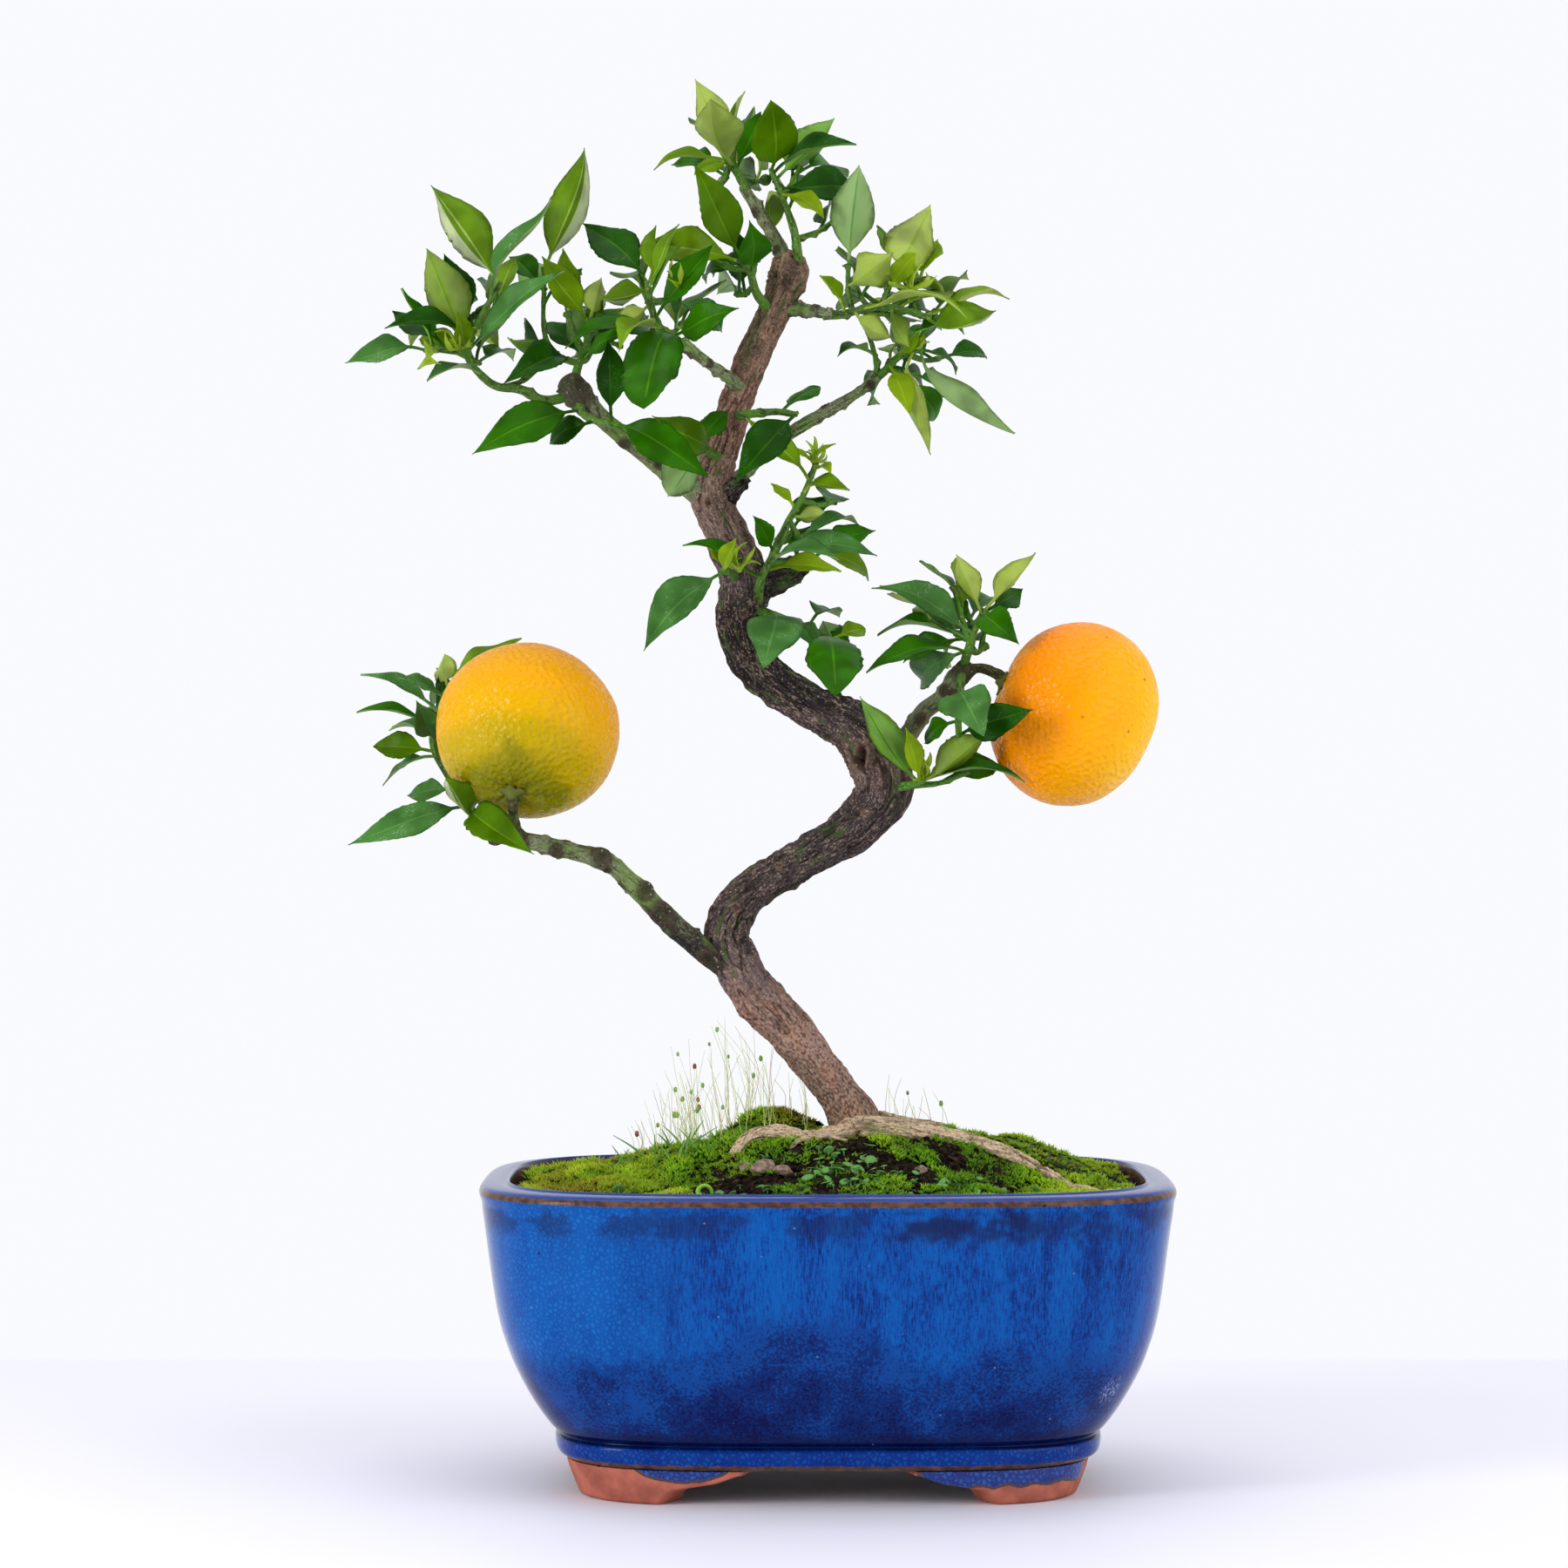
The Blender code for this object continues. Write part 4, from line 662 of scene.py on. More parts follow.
class Growth:
    """The stems of one mass and, once grown, its twigs and leaves, clear of everything that stands."""

    def __init__(self, mass):
        self.mass = mass
        self.rng = random.Random(mass["seed"])
        self.stems = []
        self.twigs = []
        self.trees = []
        for number, points in enumerate(mass["stems"]):
            self.stems.append(with_radii(points, TWIG_RADII if number else STEM_RADII))
            self.trees.append(tree_of(tube_shape(self.stems[-1], TWIG_SIDES)))
        self.leaves = []
        self.standing = []

    def add_leaf(self, base, tip, width, turn, swings=(0,)):
        """Adds the leaf, swung towards or from the viewer where it would touch something; else skips it."""
        base = np.array(base, dtype=float)
        for own in (self.trees, []) if len(swings) > 1 else (self.trees,):
            for swing in swings:
                end = np.array(tip, dtype=float) + (0, swing, 0)
                guard = tree_of(leaf_shape(base, end, width, turn, GUARD))
                blade_guard = tree_of(leaf_shape(base, end, width, turn, GUARD, GUARD_START))
                if not touches(guard, self.standing) and not touches(blade_guard, own):
                    self.leaves.append((base, end, width, turn))
                    self.trees.append(tree_of(leaf_shape(base, end, width, turn)))
                    return True
        return False

    def inside(self, point):
        offset = (np.array(point) - self.mass["middle"]) / self.mass["room"]
        return np.linalg.norm(offset) <= 1

    def add_twig(self, number, count):
        """A twig at its own place on the first stem, turned by the golden angle, with leaves round it."""
        stem = self.stems[0]
        start = place_on(stem, 0.3 + 0.65 * (number + 0.5) / count)
        towards = unit(np.array(self.mass["middle"], dtype=float) - start)
        side_way = unit(np.cross(towards, (0.1, 0.2, 1.0)))
        up_way = np.cross(side_way, towards)
        turn = number * GOLDEN_ANGLE + self.rng.uniform(-0.4, 0.4)
        lean = TWIG_LEAN * self.rng.uniform(0.3, 1.0)
        way = unit(
            towards * math.cos(lean) + (side_way * math.cos(turn) + up_way * math.sin(turn)) * math.sin(lean)
        )
        end = start + way * self.rng.uniform(*TWIG_LENGTHS)
        bend = (start + end) / 2 + np.array((0, 0, -1.2))
        twig = with_radii([start, bend, end], TWIG_RADII)
        guard = tree_of(tube_shape(twig, TWIG_SIDES, GUARD))
        if touches(guard, self.standing) or not self.inside(end):
            return
        grown = [self.add_twig_leaf(twig, way, leaf) for leaf in range(LEAVES_PER_TWIG)]
        if any(grown):
            self.twigs.append(twig)
            self.trees.append(tree_of(tube_shape(twig, TWIG_SIDES)))

    def add_twig_leaf(self, twig, way, leaf):
        """One leaf of a twig, the first at its end, spun on until it stands clear or the tries run out."""
        share = 1.0 if leaf == 0 else 0.35 + 0.6 * leaf / LEAVES_PER_TWIG
        base = place_on(twig, share)
        side_way = unit(np.cross(way, (0.2, 0.1, 1.0)))
        up_way = np.cross(side_way, way)
        for attempt in range(TRIES_PER_LEAF):
            spin = (leaf + attempt) * GOLDEN_ANGLE + self.rng.uniform(0, 1)
            spread = LEAF_LEAN * (0.3 if leaf == 0 else self.rng.uniform(0.8, 1.3))
            heading = way * math.cos(spread) + (side_way * math.cos(spin) + up_way * math.sin(spin)) * math.sin(spread)
            length = self.rng.uniform(*LEAF_LENGTHS)
            turn = self.rng.uniform(25, 80)
            tip = base + unit(heading + np.array((0, 0, 0.25))) * length
            if self.inside(tip) and self.add_leaf(base, tip, WIDTH_TO_LENGTH * length, turn):
                return True
        return False

    def grow(self, standing):
        self.standing = standing
        for stem, share, x, y, z, width, turn in self.mass["leaves"]:
            self.add_leaf(place_on(self.stems[stem], share), (x, y, z), width, turn, SWINGS)
        for number in range(self.mass["twigs"]):
            self.add_twig(number, self.mass["twigs"])


def root_path(rows):
    """A root's rows with its height worked out from the soil below it."""
    return np.array([(x, y, float(soil_height(x, y)) + lift, radius) for x, y, lift, radius in rows])


def grow_crown():
    """Grows every mass clear of trunk, roots, boughs, fruit and each other, in the order of the table."""
    parts = [(smooth_path(TRUNK, TRUNK_STEPS), TRUNK_SIDES)]
    parts += [(np.array(rows, dtype=float), ROOT_SIDES) for rows in (STUB, FORK_STUB)]
    parts += [(root_path(rows), ROOT_SIDES) for rows in ROOTS]
    limbs = [tube_shape(path, sides, GAP, BARK_BUMPS) for path, sides in parts]
    for rows in BOUGHS.values():
        limbs.append(tube_shape(smooth_path(rows, BOUGH_STEPS), BOUGH_SIDES, GAP, BARK_BUMPS))
    for centre, stalk_way, half_length, half_width, stalk in FRUITS.values():
        limbs.append(fruit_guard(centre, stalk_way, half_length + GAP, half_width + GAP))
        limbs.append(tube_shape(smooth_path(stalk, BOUGH_STEPS), BOUGH_SIDES, GAP))
    standing = [tree_of(shape) for shape in limbs]
    growths = {name: Growth(mass) for name, mass in MASSES.items()}
    for growth in growths.values():
        others = [tree for other in growths.values() if other is not growth for tree in other.trees]
        growth.grow(standing + others)
    return growths


# Shapes as arrays


class Shape:
    """Points in millimetres, quads and triangles with their material slots, and values at the points."""

    def __init__(self, points, quads=(), quad_slots=0, tris=(), tri_slots=0, values=None):
        self.points = np.asarray(points, dtype=float).reshape(-1, 3)
        self.quads = np.asarray(quads, dtype=np.int64).reshape(-1, 4)
        self.tris = np.asarray(tris, dtype=np.int64).reshape(-1, 3)
        self.quad_slots = np.broadcast_to(np.asarray(quad_slots, dtype=np.int64), (len(self.quads),))
        self.tri_slots = np.broadcast_to(np.asarray(tri_slots, dtype=np.int64), (len(self.tris),))
        self.values = values or {}

    def turned_out(self):
        """Faces reversed where the enclosed volume, the sum of corner triple products, is negative."""
        split = np.concatenate([self.quads[:, [0, 1, 2]], self.quads[:, [0, 2, 3]], self.tris])
        a, b, c = (self.points[split[:, corner]] - self.points.mean(axis=0) for corner in range(3))
        if np.einsum("ij,ij->", a, np.cross(b, c)) < 0:
            self.quads = self.quads[:, ::-1]
            self.tris = self.tris[:, ::-1]
        return self


def joined(shapes):
    """Several shapes as one, each with its point numbers moved on."""
    starts = np.concatenate([[0], np.cumsum([len(shape.points) for shape in shapes])])[:-1]
    values = {}
    for name in set().union(*(shape.values for shape in shapes)):
        size = next(shape.values[name].shape[1:] for shape in shapes if name in shape.values)
        values[name] = np.concatenate([
            shape.values.get(name, np.zeros((len(shape.points), *size))) for shape in shapes
        ])
    return Shape(
        np.concatenate([shape.points for shape in shapes]),
        np.concatenate([shape.quads + start for shape, start in zip(shapes, starts)]),
        np.concatenate([shape.quad_slots for shape in shapes]),
        np.concatenate([shape.tris + start for shape, start in zip(shapes, starts)]),
        np.concatenate([shape.tri_slots for shape in shapes]),
        values,
    )


def make_piece(name, shape, materials, replaces=()):
    """A mesh object from a shape, in metres, that rides on the part and stands for the named solids."""
    mesh = bpy.data.meshes.new(name)
    loops = np.concatenate([shape.quads.ravel(), shape.tris.ravel()])
    starts = np.concatenate([4 * np.arange(len(shape.quads)), 4 * len(shape.quads) + 3 * np.arange(len(shape.tris))])
    mesh.vertices.add(len(shape.points))
    mesh.vertices.foreach_set("co", (shape.points * MM + POT_MIDDLE).astype(np.float32).ravel())
    mesh.loops.add(len(loops))
    mesh.loops.foreach_set("vertex_index", loops.astype(np.int32))
    mesh.polygons.add(len(starts))
    mesh.polygons.foreach_set("loop_start", starts.astype(np.int32))
    mesh.polygons.foreach_set("material_index", np.concatenate([shape.quad_slots, shape.tri_slots]).astype(np.int32))
    for key, values in shape.values.items():
        kind, field = ("FLOAT", "value") if values.ndim == 1 else ("FLOAT_VECTOR", "vector")
        mesh.attributes.new(key, kind, "POINT").data.foreach_set(field, values.astype(np.float32).ravel())
    for material in materials:
        mesh.materials.append(material)
    mesh.update(calc_edges=True)
    mesh.validate()
    mesh.shade_smooth()
    piece = bpy.data.objects.new(name, mesh)
    bpy.context.scene.collection.objects.link(piece)
    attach(piece, "root")
    if replaces:
        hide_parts(*replaces)
    return piece


def grid_quads(rows, columns, wrap=True):
    """Quads between neighbouring points of a grid; the last column meets the first where it wraps."""
    row, column = np.meshgrid(np.arange(rows - 1), np.arange(columns if wrap else columns - 1), indexing="ij")
    after = (column + 1) % columns
    quads = [row * columns + column, row * columns + after, (row + 1) * columns + after, (row + 1) * columns + column]
    return np.stack(quads, axis=-1).reshape(-1, 4)


def fan(middle, first, columns):
    """Triangles from one middle point to a ring of points that starts at first."""
    side = np.arange(columns)
    return np.stack([np.full(columns, middle), first + side, first + (side + 1) % columns], axis=-1)


def closed_rings(points, slots=0, end_slots=0, values=None, middles=None):
    """A closed shape from rings of points, [ring, side, xyz], with a middle point at each end."""
    rings, sides = points.shape[:2]
    ends = np.stack([points[0].mean(axis=0), points[-1].mean(axis=0)]) if middles is None else np.array(middles)
    every = np.concatenate([points.reshape(-1, 3), ends])
    first, last = rings * sides, (rings - 1) * sides
    tris = np.concatenate([fan(first, 0, sides)[:, ::-1], fan(first + 1, last, sides)])
    kept = {}
    for name, value in (values or {}).items():
        flat = value.reshape(rings * sides, *value.shape[2:])
        kept[name] = np.concatenate([flat, value[:1].mean(axis=1), value[-1:].mean(axis=1)])
    return Shape(every, grid_quads(rings, sides), slots, tris, end_slots, kept).turned_out()


def lattice_noise(points, seed):
    """Smooth noise from 0 to 1: hashed values at whole-number corners, blended by a smoothstep on each axis."""
    cell = np.floor(points).astype(np.int64)
    part = points - cell
    part = part * part * (3 - 2 * part)
    total = np.zeros(points.shape[:-1])
    for corner in itertools.product((0, 1), repeat=3):
        key = cell + np.array(corner)
        code = (key[..., 0] * 73856093) ^ (key[..., 1] * 19349663) ^ (key[..., 2] * 83492791) ^ (seed * 2654435)
        code = ((code ^ (code >> 13)) * 1274126177) & 0xFFFFFFFF
        value = ((code ^ (code >> 16)) & 0xFFFF) / 0xFFFF
        weight = np.prod(np.where(np.array(corner) == 1, part, 1 - part), axis=-1)
        total += value * weight
    return total


def layered_noise(points, seed, layers=3):
    """Sum of noises, each twice as fine and half as strong, from about -1 to 1."""
    total = np.zeros(points.shape[:-1])
    for layer in range(layers):
        total += (2 * lattice_noise(points * 2**layer + 17.3 * layer, seed + layer) - 1) / 2**layer
    return total


def sweep(path, sides, relief=None, index_scale=0.0, bumps=0.0, slots=0):
    """A tube round a dense path: centre + (radius x swell + relief) x (cos turn x side + sin turn x up).

    The side direction is carried along the path, so the tube doesn't twist."""
    centres, radii = path[:, :3], path[:, 3]
    ahead = np.gradient(centres, axis=0)
    ahead /= np.linalg.norm(ahead, axis=1, keepdims=True)
    side_ways = np.empty_like(centres)
    side_way = unit(np.cross(ahead[0], (0.31, 0.87, 0.12)))
    for index, axis in enumerate(ahead):
        side_way = unit(side_way - axis * np.dot(side_way, axis))
        side_ways[index] = side_way
    up_ways = np.cross(ahead, side_ways)
    turns = np.linspace(0, 2 * math.pi, sides, endpoint=False)
    out = np.cos(turns)[None, :, None] * side_ways[:, None] + np.sin(turns)[None, :, None] * up_ways[:, None]
    place = index_scale * np.arange(len(path))[:, None]
    swell = 1 + bumps * np.sin(3 * turns + 0.5 * place) + 0.7 * bumps * np.sin(2 * turns - 0.83 * place)
    reach = radii[:, None] * swell
    values = None
    if relief:
        arc = np.concatenate([[0], np.cumsum(np.linalg.norm(np.diff(centres, axis=0), axis=1))])
        limb = np.stack(np.broadcast_arrays(
            reach * np.cos(turns), reach * np.sin(turns), arc[:, None]
        ), axis=-1)
        lift, values = relief(limb, centres[:, None] + reach[..., None] * out)
        reach = reach + lift * np.clip(radii / radii.max() * 4, 0, 1)[:, None]
    return closed_rings(centres[:, None] + reach[..., None] * out, slots, slots, values)


def domed(path, share=0.8):
    """The path with its far end rounded off: rings that shrink as cos and move on as sin."""
    way, radius = unit(path[-1, :3] - path[-2, :3]), path[-1, 3]
    angles = np.radians((18, 36, 52, 66, 78, 87))
    ends = path[-1, :3] + np.sin(angles)[:, None] * share * radius * way
    return np.concatenate([path, np.column_stack([ends, radius * np.cos(angles)])])


# Materials


def add_node(tree, kind, inputs=None, **settings):
    """Adds a node, sets its settings, and gives its inputs values or links from other nodes' outputs."""
    node = tree.nodes.new(kind)
    for name, value in settings.items():
        setattr(node, name, value)
    for name, value in (inputs or {}).items():
        if isinstance(value, bpy.types.NodeSocket):
            tree.links.new(value, node.inputs[name])
        else:
            node.inputs[name].default_value = value
    return node


def new_material(name, colour, roughness, **sockets):
    """A Principled material with a plain colour; sockets are set by their names with _ for spaces."""
    material = bpy.data.materials.new(name)
    material.use_nodes = True
    shader = material.node_tree.nodes["Principled BSDF"]
    shader.inputs["Base Color"].default_value = (*colour[:3], 1.0)
    shader.inputs["Roughness"].default_value = roughness
    for socket, value in sockets.items():
        shader.inputs[socket.replace("_", " ")].default_value = value
    return material, material.node_tree, shader


def spots(tree, size_mm, detail=2.0, stretch=(1, 1, 1), kind="ShaderNodeTexNoise", limb=False, **settings):
    """A noise or cell pattern whose grain is size_mm, stretched along each axis. It lies on Object coordinates,
    or on a limb's own, which count millimetres across it and along it."""
    if limb:
        place = add_node(tree, "ShaderNodeAttribute", attribute_name="limb").outputs["Vector"]
    else:
        place = add_node(tree, "ShaderNodeTexCoord").outputs["Object"]
    scaled = add_node(tree, "ShaderNodeMapping", {"Vector": place, "Scale": [1 / s for s in stretch]})
    inputs = {"Vector": scaled.outputs[0], "Scale": 1 / size_mm if limb else 1 / (size_mm * MM)}
    if kind == "ShaderNodeTexNoise":
        inputs["Detail"] = detail
    return add_node(tree, kind, inputs, **settings)


def ramp(tree, factor, *stops):
    """Colours at places from 0 to 1: each stop blended over the last, so a stop may be a socket."""
    colour = stops[0][1]
    for (before, _), (place, shown) in zip(stops, stops[1:]):
        colour = blend(tree, band(tree, factor, before, place), colour, shown)
    return colour


def blend(tree, factor, first, second, how="MIX"):
    """One colour over another, by a factor that is a number or a socket."""
    node = add_node(tree, "ShaderNodeMix", data_type="RGBA", blend_type=how)
    for socket, value in ((node.inputs["Factor"], factor), (node.inputs[6], first), (node.inputs[7], second)):
        if isinstance(value, bpy.types.NodeSocket):
            tree.links.new(value, socket)
        else:
            socket.default_value = value if isinstance(value, float) else (*value[:3], 1)
    return node.outputs[2]


def math_node(tree, operation, *values):
    return add_node(tree, "ShaderNodeMath", dict(enumerate(values)), operation=operation).outputs[0]


def place_mm(tree, axis):
    """Object coordinate along X, Y or Z in millimetres; X is counted from the pot's middle."""
    place = add_node(tree, "ShaderNodeTexCoord")
    axes = add_node(tree, "ShaderNodeSeparateXYZ", {0: place.outputs["Object"]})
    return math_node(tree, "MULTIPLY_ADD", axes.outputs[axis], 1 / MM, -POT_MIDDLE["XYZ".index(axis)] / MM)


def between(tree, value, low, low_full, high_full, high):
    """0 outside low to high, 1 from low_full to high_full, smooth on both sides."""
    return math_node(tree, "MULTIPLY", band(tree, value, low, low_full), below(tree, value, high_full, high))


def band(tree, value, low, high):
    """0 below low, 1 above high and a smooth rise between."""
    inputs = {"Value": value, "From Min": low, "From Max": high, "To Min": 0.0, "To Max": 1.0}
    return add_node(tree, "ShaderNodeMapRange", inputs, interpolation_type="SMOOTHSTEP").outputs[0]


def below(tree, value, low, high):
    """1 below low, 0 above high and a smooth fall between."""
    return math_node(tree, "SUBTRACT", 1.0, band(tree, value, low, high))


def add_bump(tree, shader, height, distance_mm, strength=1.0):
    node = add_node(tree, "ShaderNodeBump", {"Height": height, "Distance": distance_mm * MM, "Strength": strength})
    tree.links.new(node.outputs[0], shader.inputs["Normal"])


def cobalt_glaze(settings):
    """Cobalt glaze over stoneware, fired glossy. It breaks brown where an edge thins it, runs from the rim in
    fine hairs that end in drops, gathers in cells on the left and pools deep and mottled below."""
    material, tree, shader = new_material("cobalt_glaze", settings.streak, 0.12, Specular_IOR_Level=0.11)
    height, across = place_mm(tree, "Z"), place_mm(tree, "X")
    hairs = spots(tree, 0.45, 3.0, (1, 1, 13)).outputs["Fac"]
    mottle = spots(tree, 0.8, 3.5).outputs["Fac"]
    drops = spots(tree, 1.7, 1.5, (1, 1, 4)).outputs["Fac"]
    broad = spots(tree, 7.5, 2.0, (1, 1, 5)).outputs["Fac"]
    edge = math_node(tree, "MULTIPLY_ADD", between(tree, across, -44, -14, 0, 28), 13.0, 26.0)
    edge = math_node(tree, "MULTIPLY_ADD", between(tree, across, 35, 44, 47, 57), 8.0, edge)
    edge = math_node(tree, "MULTIPLY_ADD", spots(tree, 15, 1.5, (1, 1, 7)).outputs["Fac"], 14.0, edge)
    edge = math_node(tree, "MULTIPLY_ADD", drops, 11.0, edge)
    above = math_node(tree, "SUBTRACT", height, edge)
    upper = band(tree, above, -6.0, 6.0)
    bright = math_node(tree, "MULTIPLY_ADD", broad, 0.35, math_node(tree, "MULTIPLY", hairs, 0.45))
    bright = math_node(tree, "MULTIPLY_ADD", mottle, 0.2, bright)
    run = ramp(
        tree, bright, (0.38, linear("#00205F")), (0.45, settings.run), (0.53, linear("#004A98")), (0.62, settings.streak)
    )
    cells = spots(tree, 1.45, kind="ShaderNodeTexVoronoi", feature="DISTANCE_TO_EDGE").outputs["Distance"]
    inner = math_node(tree, "MULTIPLY_ADD", band(tree, cells, 0.0, 0.42), 0.7, math_node(tree, "MULTIPLY", broad, 0.5))
    where = math_node(tree, "MULTIPLY", below(tree, across, -64, -26), upper)
    netted = blend(tree, inner, linear("#003C8C"), linear("#1264AE"))
    run = blend(tree, math_node(tree, "MULTIPLY", where, 0.8), run, netted)
    clouds = spots(tree, 11.0, 2.0).outputs["Fac"]
    pooled = math_node(tree, "MULTIPLY_ADD", clouds, 0.45, math_node(tree, "MULTIPLY", mottle, 0.55))
    pooled = math_node(tree, "MULTIPLY_ADD", band(tree, above, -24.0, 0.0), 0.1, pooled)
    deep = ramp(tree, pooled, (0.39, settings.deep), (0.52, linear("#012262")), (0.66, linear("#053E88")))
    colour = blend(tree, upper, deep, run)
    ragged = math_node(tree, "MULTIPLY_ADD", spots(tree, 3.0, 4.0).outputs["Fac"], 9.0, -4.5)
    ragged_height = math_node(tree, "ADD", height, ragged)
    side = math_node(tree, "MULTIPLY_ADD", between(tree, across, 5, 20, 50, 65), 0.3, 0.55)
    bloom = math_node(tree, "MULTIPLY", between(tree, ragged_height, 71.0, 76.5, 80.0, 82.5), side)
    patches = band(tree, spots(tree, 13, 2.0, (1, 1, 0.5)).outputs["Fac"], 0.38, 0.56)
    colour = blend(tree, math_node(tree, "MULTIPLY", bloom, patches), colour, linear("#0C1742"))
    moulding = between(tree, height, 8.8, 9.8, 13.6, 14.6)
    bubbled = blend(tree, inner, linear("#01196A"), linear("#0B4799"))
    colour = blend(tree, moulding, colour, bubbled)
    colour = blend(tree, math_node(tree, "MULTIPLY", between(tree, height, 13.9, 14.9, 16.0, 20.3), 0.8), colour, linear("#020B38"))
    # Painted highlight: paler lavender blue over the top of the lip, where it faces up to the light.
    colour = blend(tree, math_node(tree, "MULTIPLY", band(tree, height, 83.4, 84.9), 0.8), colour, linear("#2E3C7C"))
    thin = add_node(tree, "ShaderNodeAttribute", attribute_name="edge").outputs["Fac"]
    broken = math_node(tree, "MULTIPLY_ADD", ragged, 0.06, thin)
    brown = ramp(tree, spots(tree, 2.4, 3.0).outputs["Fac"], (0.35, settings.edge), (0.7, linear("#664A3E")))
    colour = blend(tree, band(tree, broken, 0.4, 0.68), colour, brown)
    specks = spots(tree, 11.0, kind="ShaderNodeTexVoronoi").outputs["Distance"]
    colour = blend(tree, math_node(tree, "MULTIPLY", below(tree, specks, 0.03, 0.06), 0.85), colour, linear("#17121C"))
    pale_specks = spots(tree, 7.0, kind="ShaderNodeTexVoronoi").outputs["Distance"]
    pale = math_node(tree, "MULTIPLY", below(tree, pale_specks, 0.02, 0.05), 0.5)
    scratch = band(tree, spots(tree, 0.5, 3.0, (1, 1, 4)).outputs["Fac"], 0.52, 0.6)
    place = add_node(tree, "ShaderNodeTexCoord").outputs["Object"]
    # Painted reflection: pale lavender patches on the front corners where they would catch the side lights, broken up
    # by a scratch pattern.
    for x, y, z, reach in GLAZE_CORNER_REFLECTIONS:
        middle = np.array((x, y, z)) * MM + POT_MIDDLE
        away = add_node(tree, "ShaderNodeVectorMath", {0: place, 1: middle}, operation="DISTANCE").outputs["Value"]
        painted_reflection = math_node(tree, "MULTIPLY", below(tree, away, 0.3 * reach * MM, reach * MM), scratch)
        pale = math_node(tree, "MAXIMUM", pale, painted_reflection)
    colour = blend(tree, math_node(tree, "MULTIPLY", pale, 0.7), colour, linear("#A9B4D2"))
    tree.links.new(colour, shader.inputs["Base Color"])
    add_bump(tree, shader, math_node(tree, "MULTIPLY_ADD", hairs, 0.4, spots(tree, 2.2, 2.0).outputs["Fac"]), 0.06)
    return material


def foot_clay():
    """Unglazed red stoneware, sponged smooth and matt, with glossy cobalt glaze run down over a part of it; the
    glaze ends in a thin brown line."""
    material, tree, shader = new_material("foot_clay", linear("#A95743"), 0.8)
    tone = spots(tree, 6.0, 4.0).outputs["Fac"]
    clay = ramp(tree, tone, (0.3, linear("#8F4837")), (0.7, linear("#B4634D")))
    reach = add_node(tree, "ShaderNodeAttribute", attribute_name="glaze_reach").outputs["Fac"]
    reach = math_node(tree, "MULTIPLY_ADD", spots(tree, 2.0, 3.0).outputs["Fac"], 1.2, reach)
    glazed = band(tree, reach, 0.55, 0.75)
    cells = spots(tree, 1.6, kind="ShaderNodeTexVoronoi", feature="DISTANCE_TO_EDGE").outputs["Distance"]
    glaze = blend(tree, band(tree, cells, 0.0, 0.4), linear("#011E6E"), linear("#0B50A4"))
    glaze = blend(tree, band(tree, reach, 1.1, 1.7), linear("#4A332E"), glaze)
    tree.links.new(blend(tree, glazed, clay, glaze), shader.inputs["Base Color"])
    tree.links.new(math_node(tree, "MULTIPLY_ADD", glazed, -0.66, 0.8), shader.inputs["Roughness"])
    add_bump(tree, shader, spots(tree, 0.8, 3.0).outputs["Fac"], 0.12)
    return material


def potting_soil():
    """Damp loam and grit: near black, crumbly, with paler crumbs where it has dried."""
    material, tree, shader = new_material("potting_soil", linear("#2A2018"), 0.95, Specular_IOR_Level=0.1)
    tone = spots(tree, 1.6, 5.0).outputs["Fac"]
    tree.links.new(
        ramp(tree, tone, (0.4, linear("#0B0806")), (0.58, linear("#261B12")), (0.75, linear("#5A452F"))),
        shader.inputs["Base Color"],
    )
    add_bump(tree, shader, spots(tree, 0.9, 4.0).outputs["Fac"], 0.6)
    return material


def moss_material(name):
    """Moss: matt leaflets from deep green to yellow and gold, bright at the tip and near black at the foot and in the
    gaps between hummocks, which is painted shade.
    """
    material, tree, shader = new_material(name, linear("#6E9A14"), 0.7, Specular_IOR_Level=0.15)
    tip = add_node(tree, "ShaderNodeAttribute", attribute_name="tip").outputs["Fac"]
    hue = add_node(tree, "ShaderNodeAttribute", attribute_name="hue").outputs["Fac"]
    bright = ramp(
        tree, hue, (0.05, linear("#4A860C")), (0.35, linear("#7CB816")), (0.65, linear("#B0DC26")),
        (0.85, linear("#C4D02C")), (1.0, linear("#C0B22E")),
    )
    # Painted shade: the tip value runs from near black at a leaflet's foot to the bright colour at its point.
    shown = ramp(tree, tip, (0.0, linear("#0D1404")), (0.4, blend(tree, 0.45, linear("#0D1404"), bright)), (0.9, bright))
    tree.links.new(shown, shader.inputs["Base Color"])
    return material


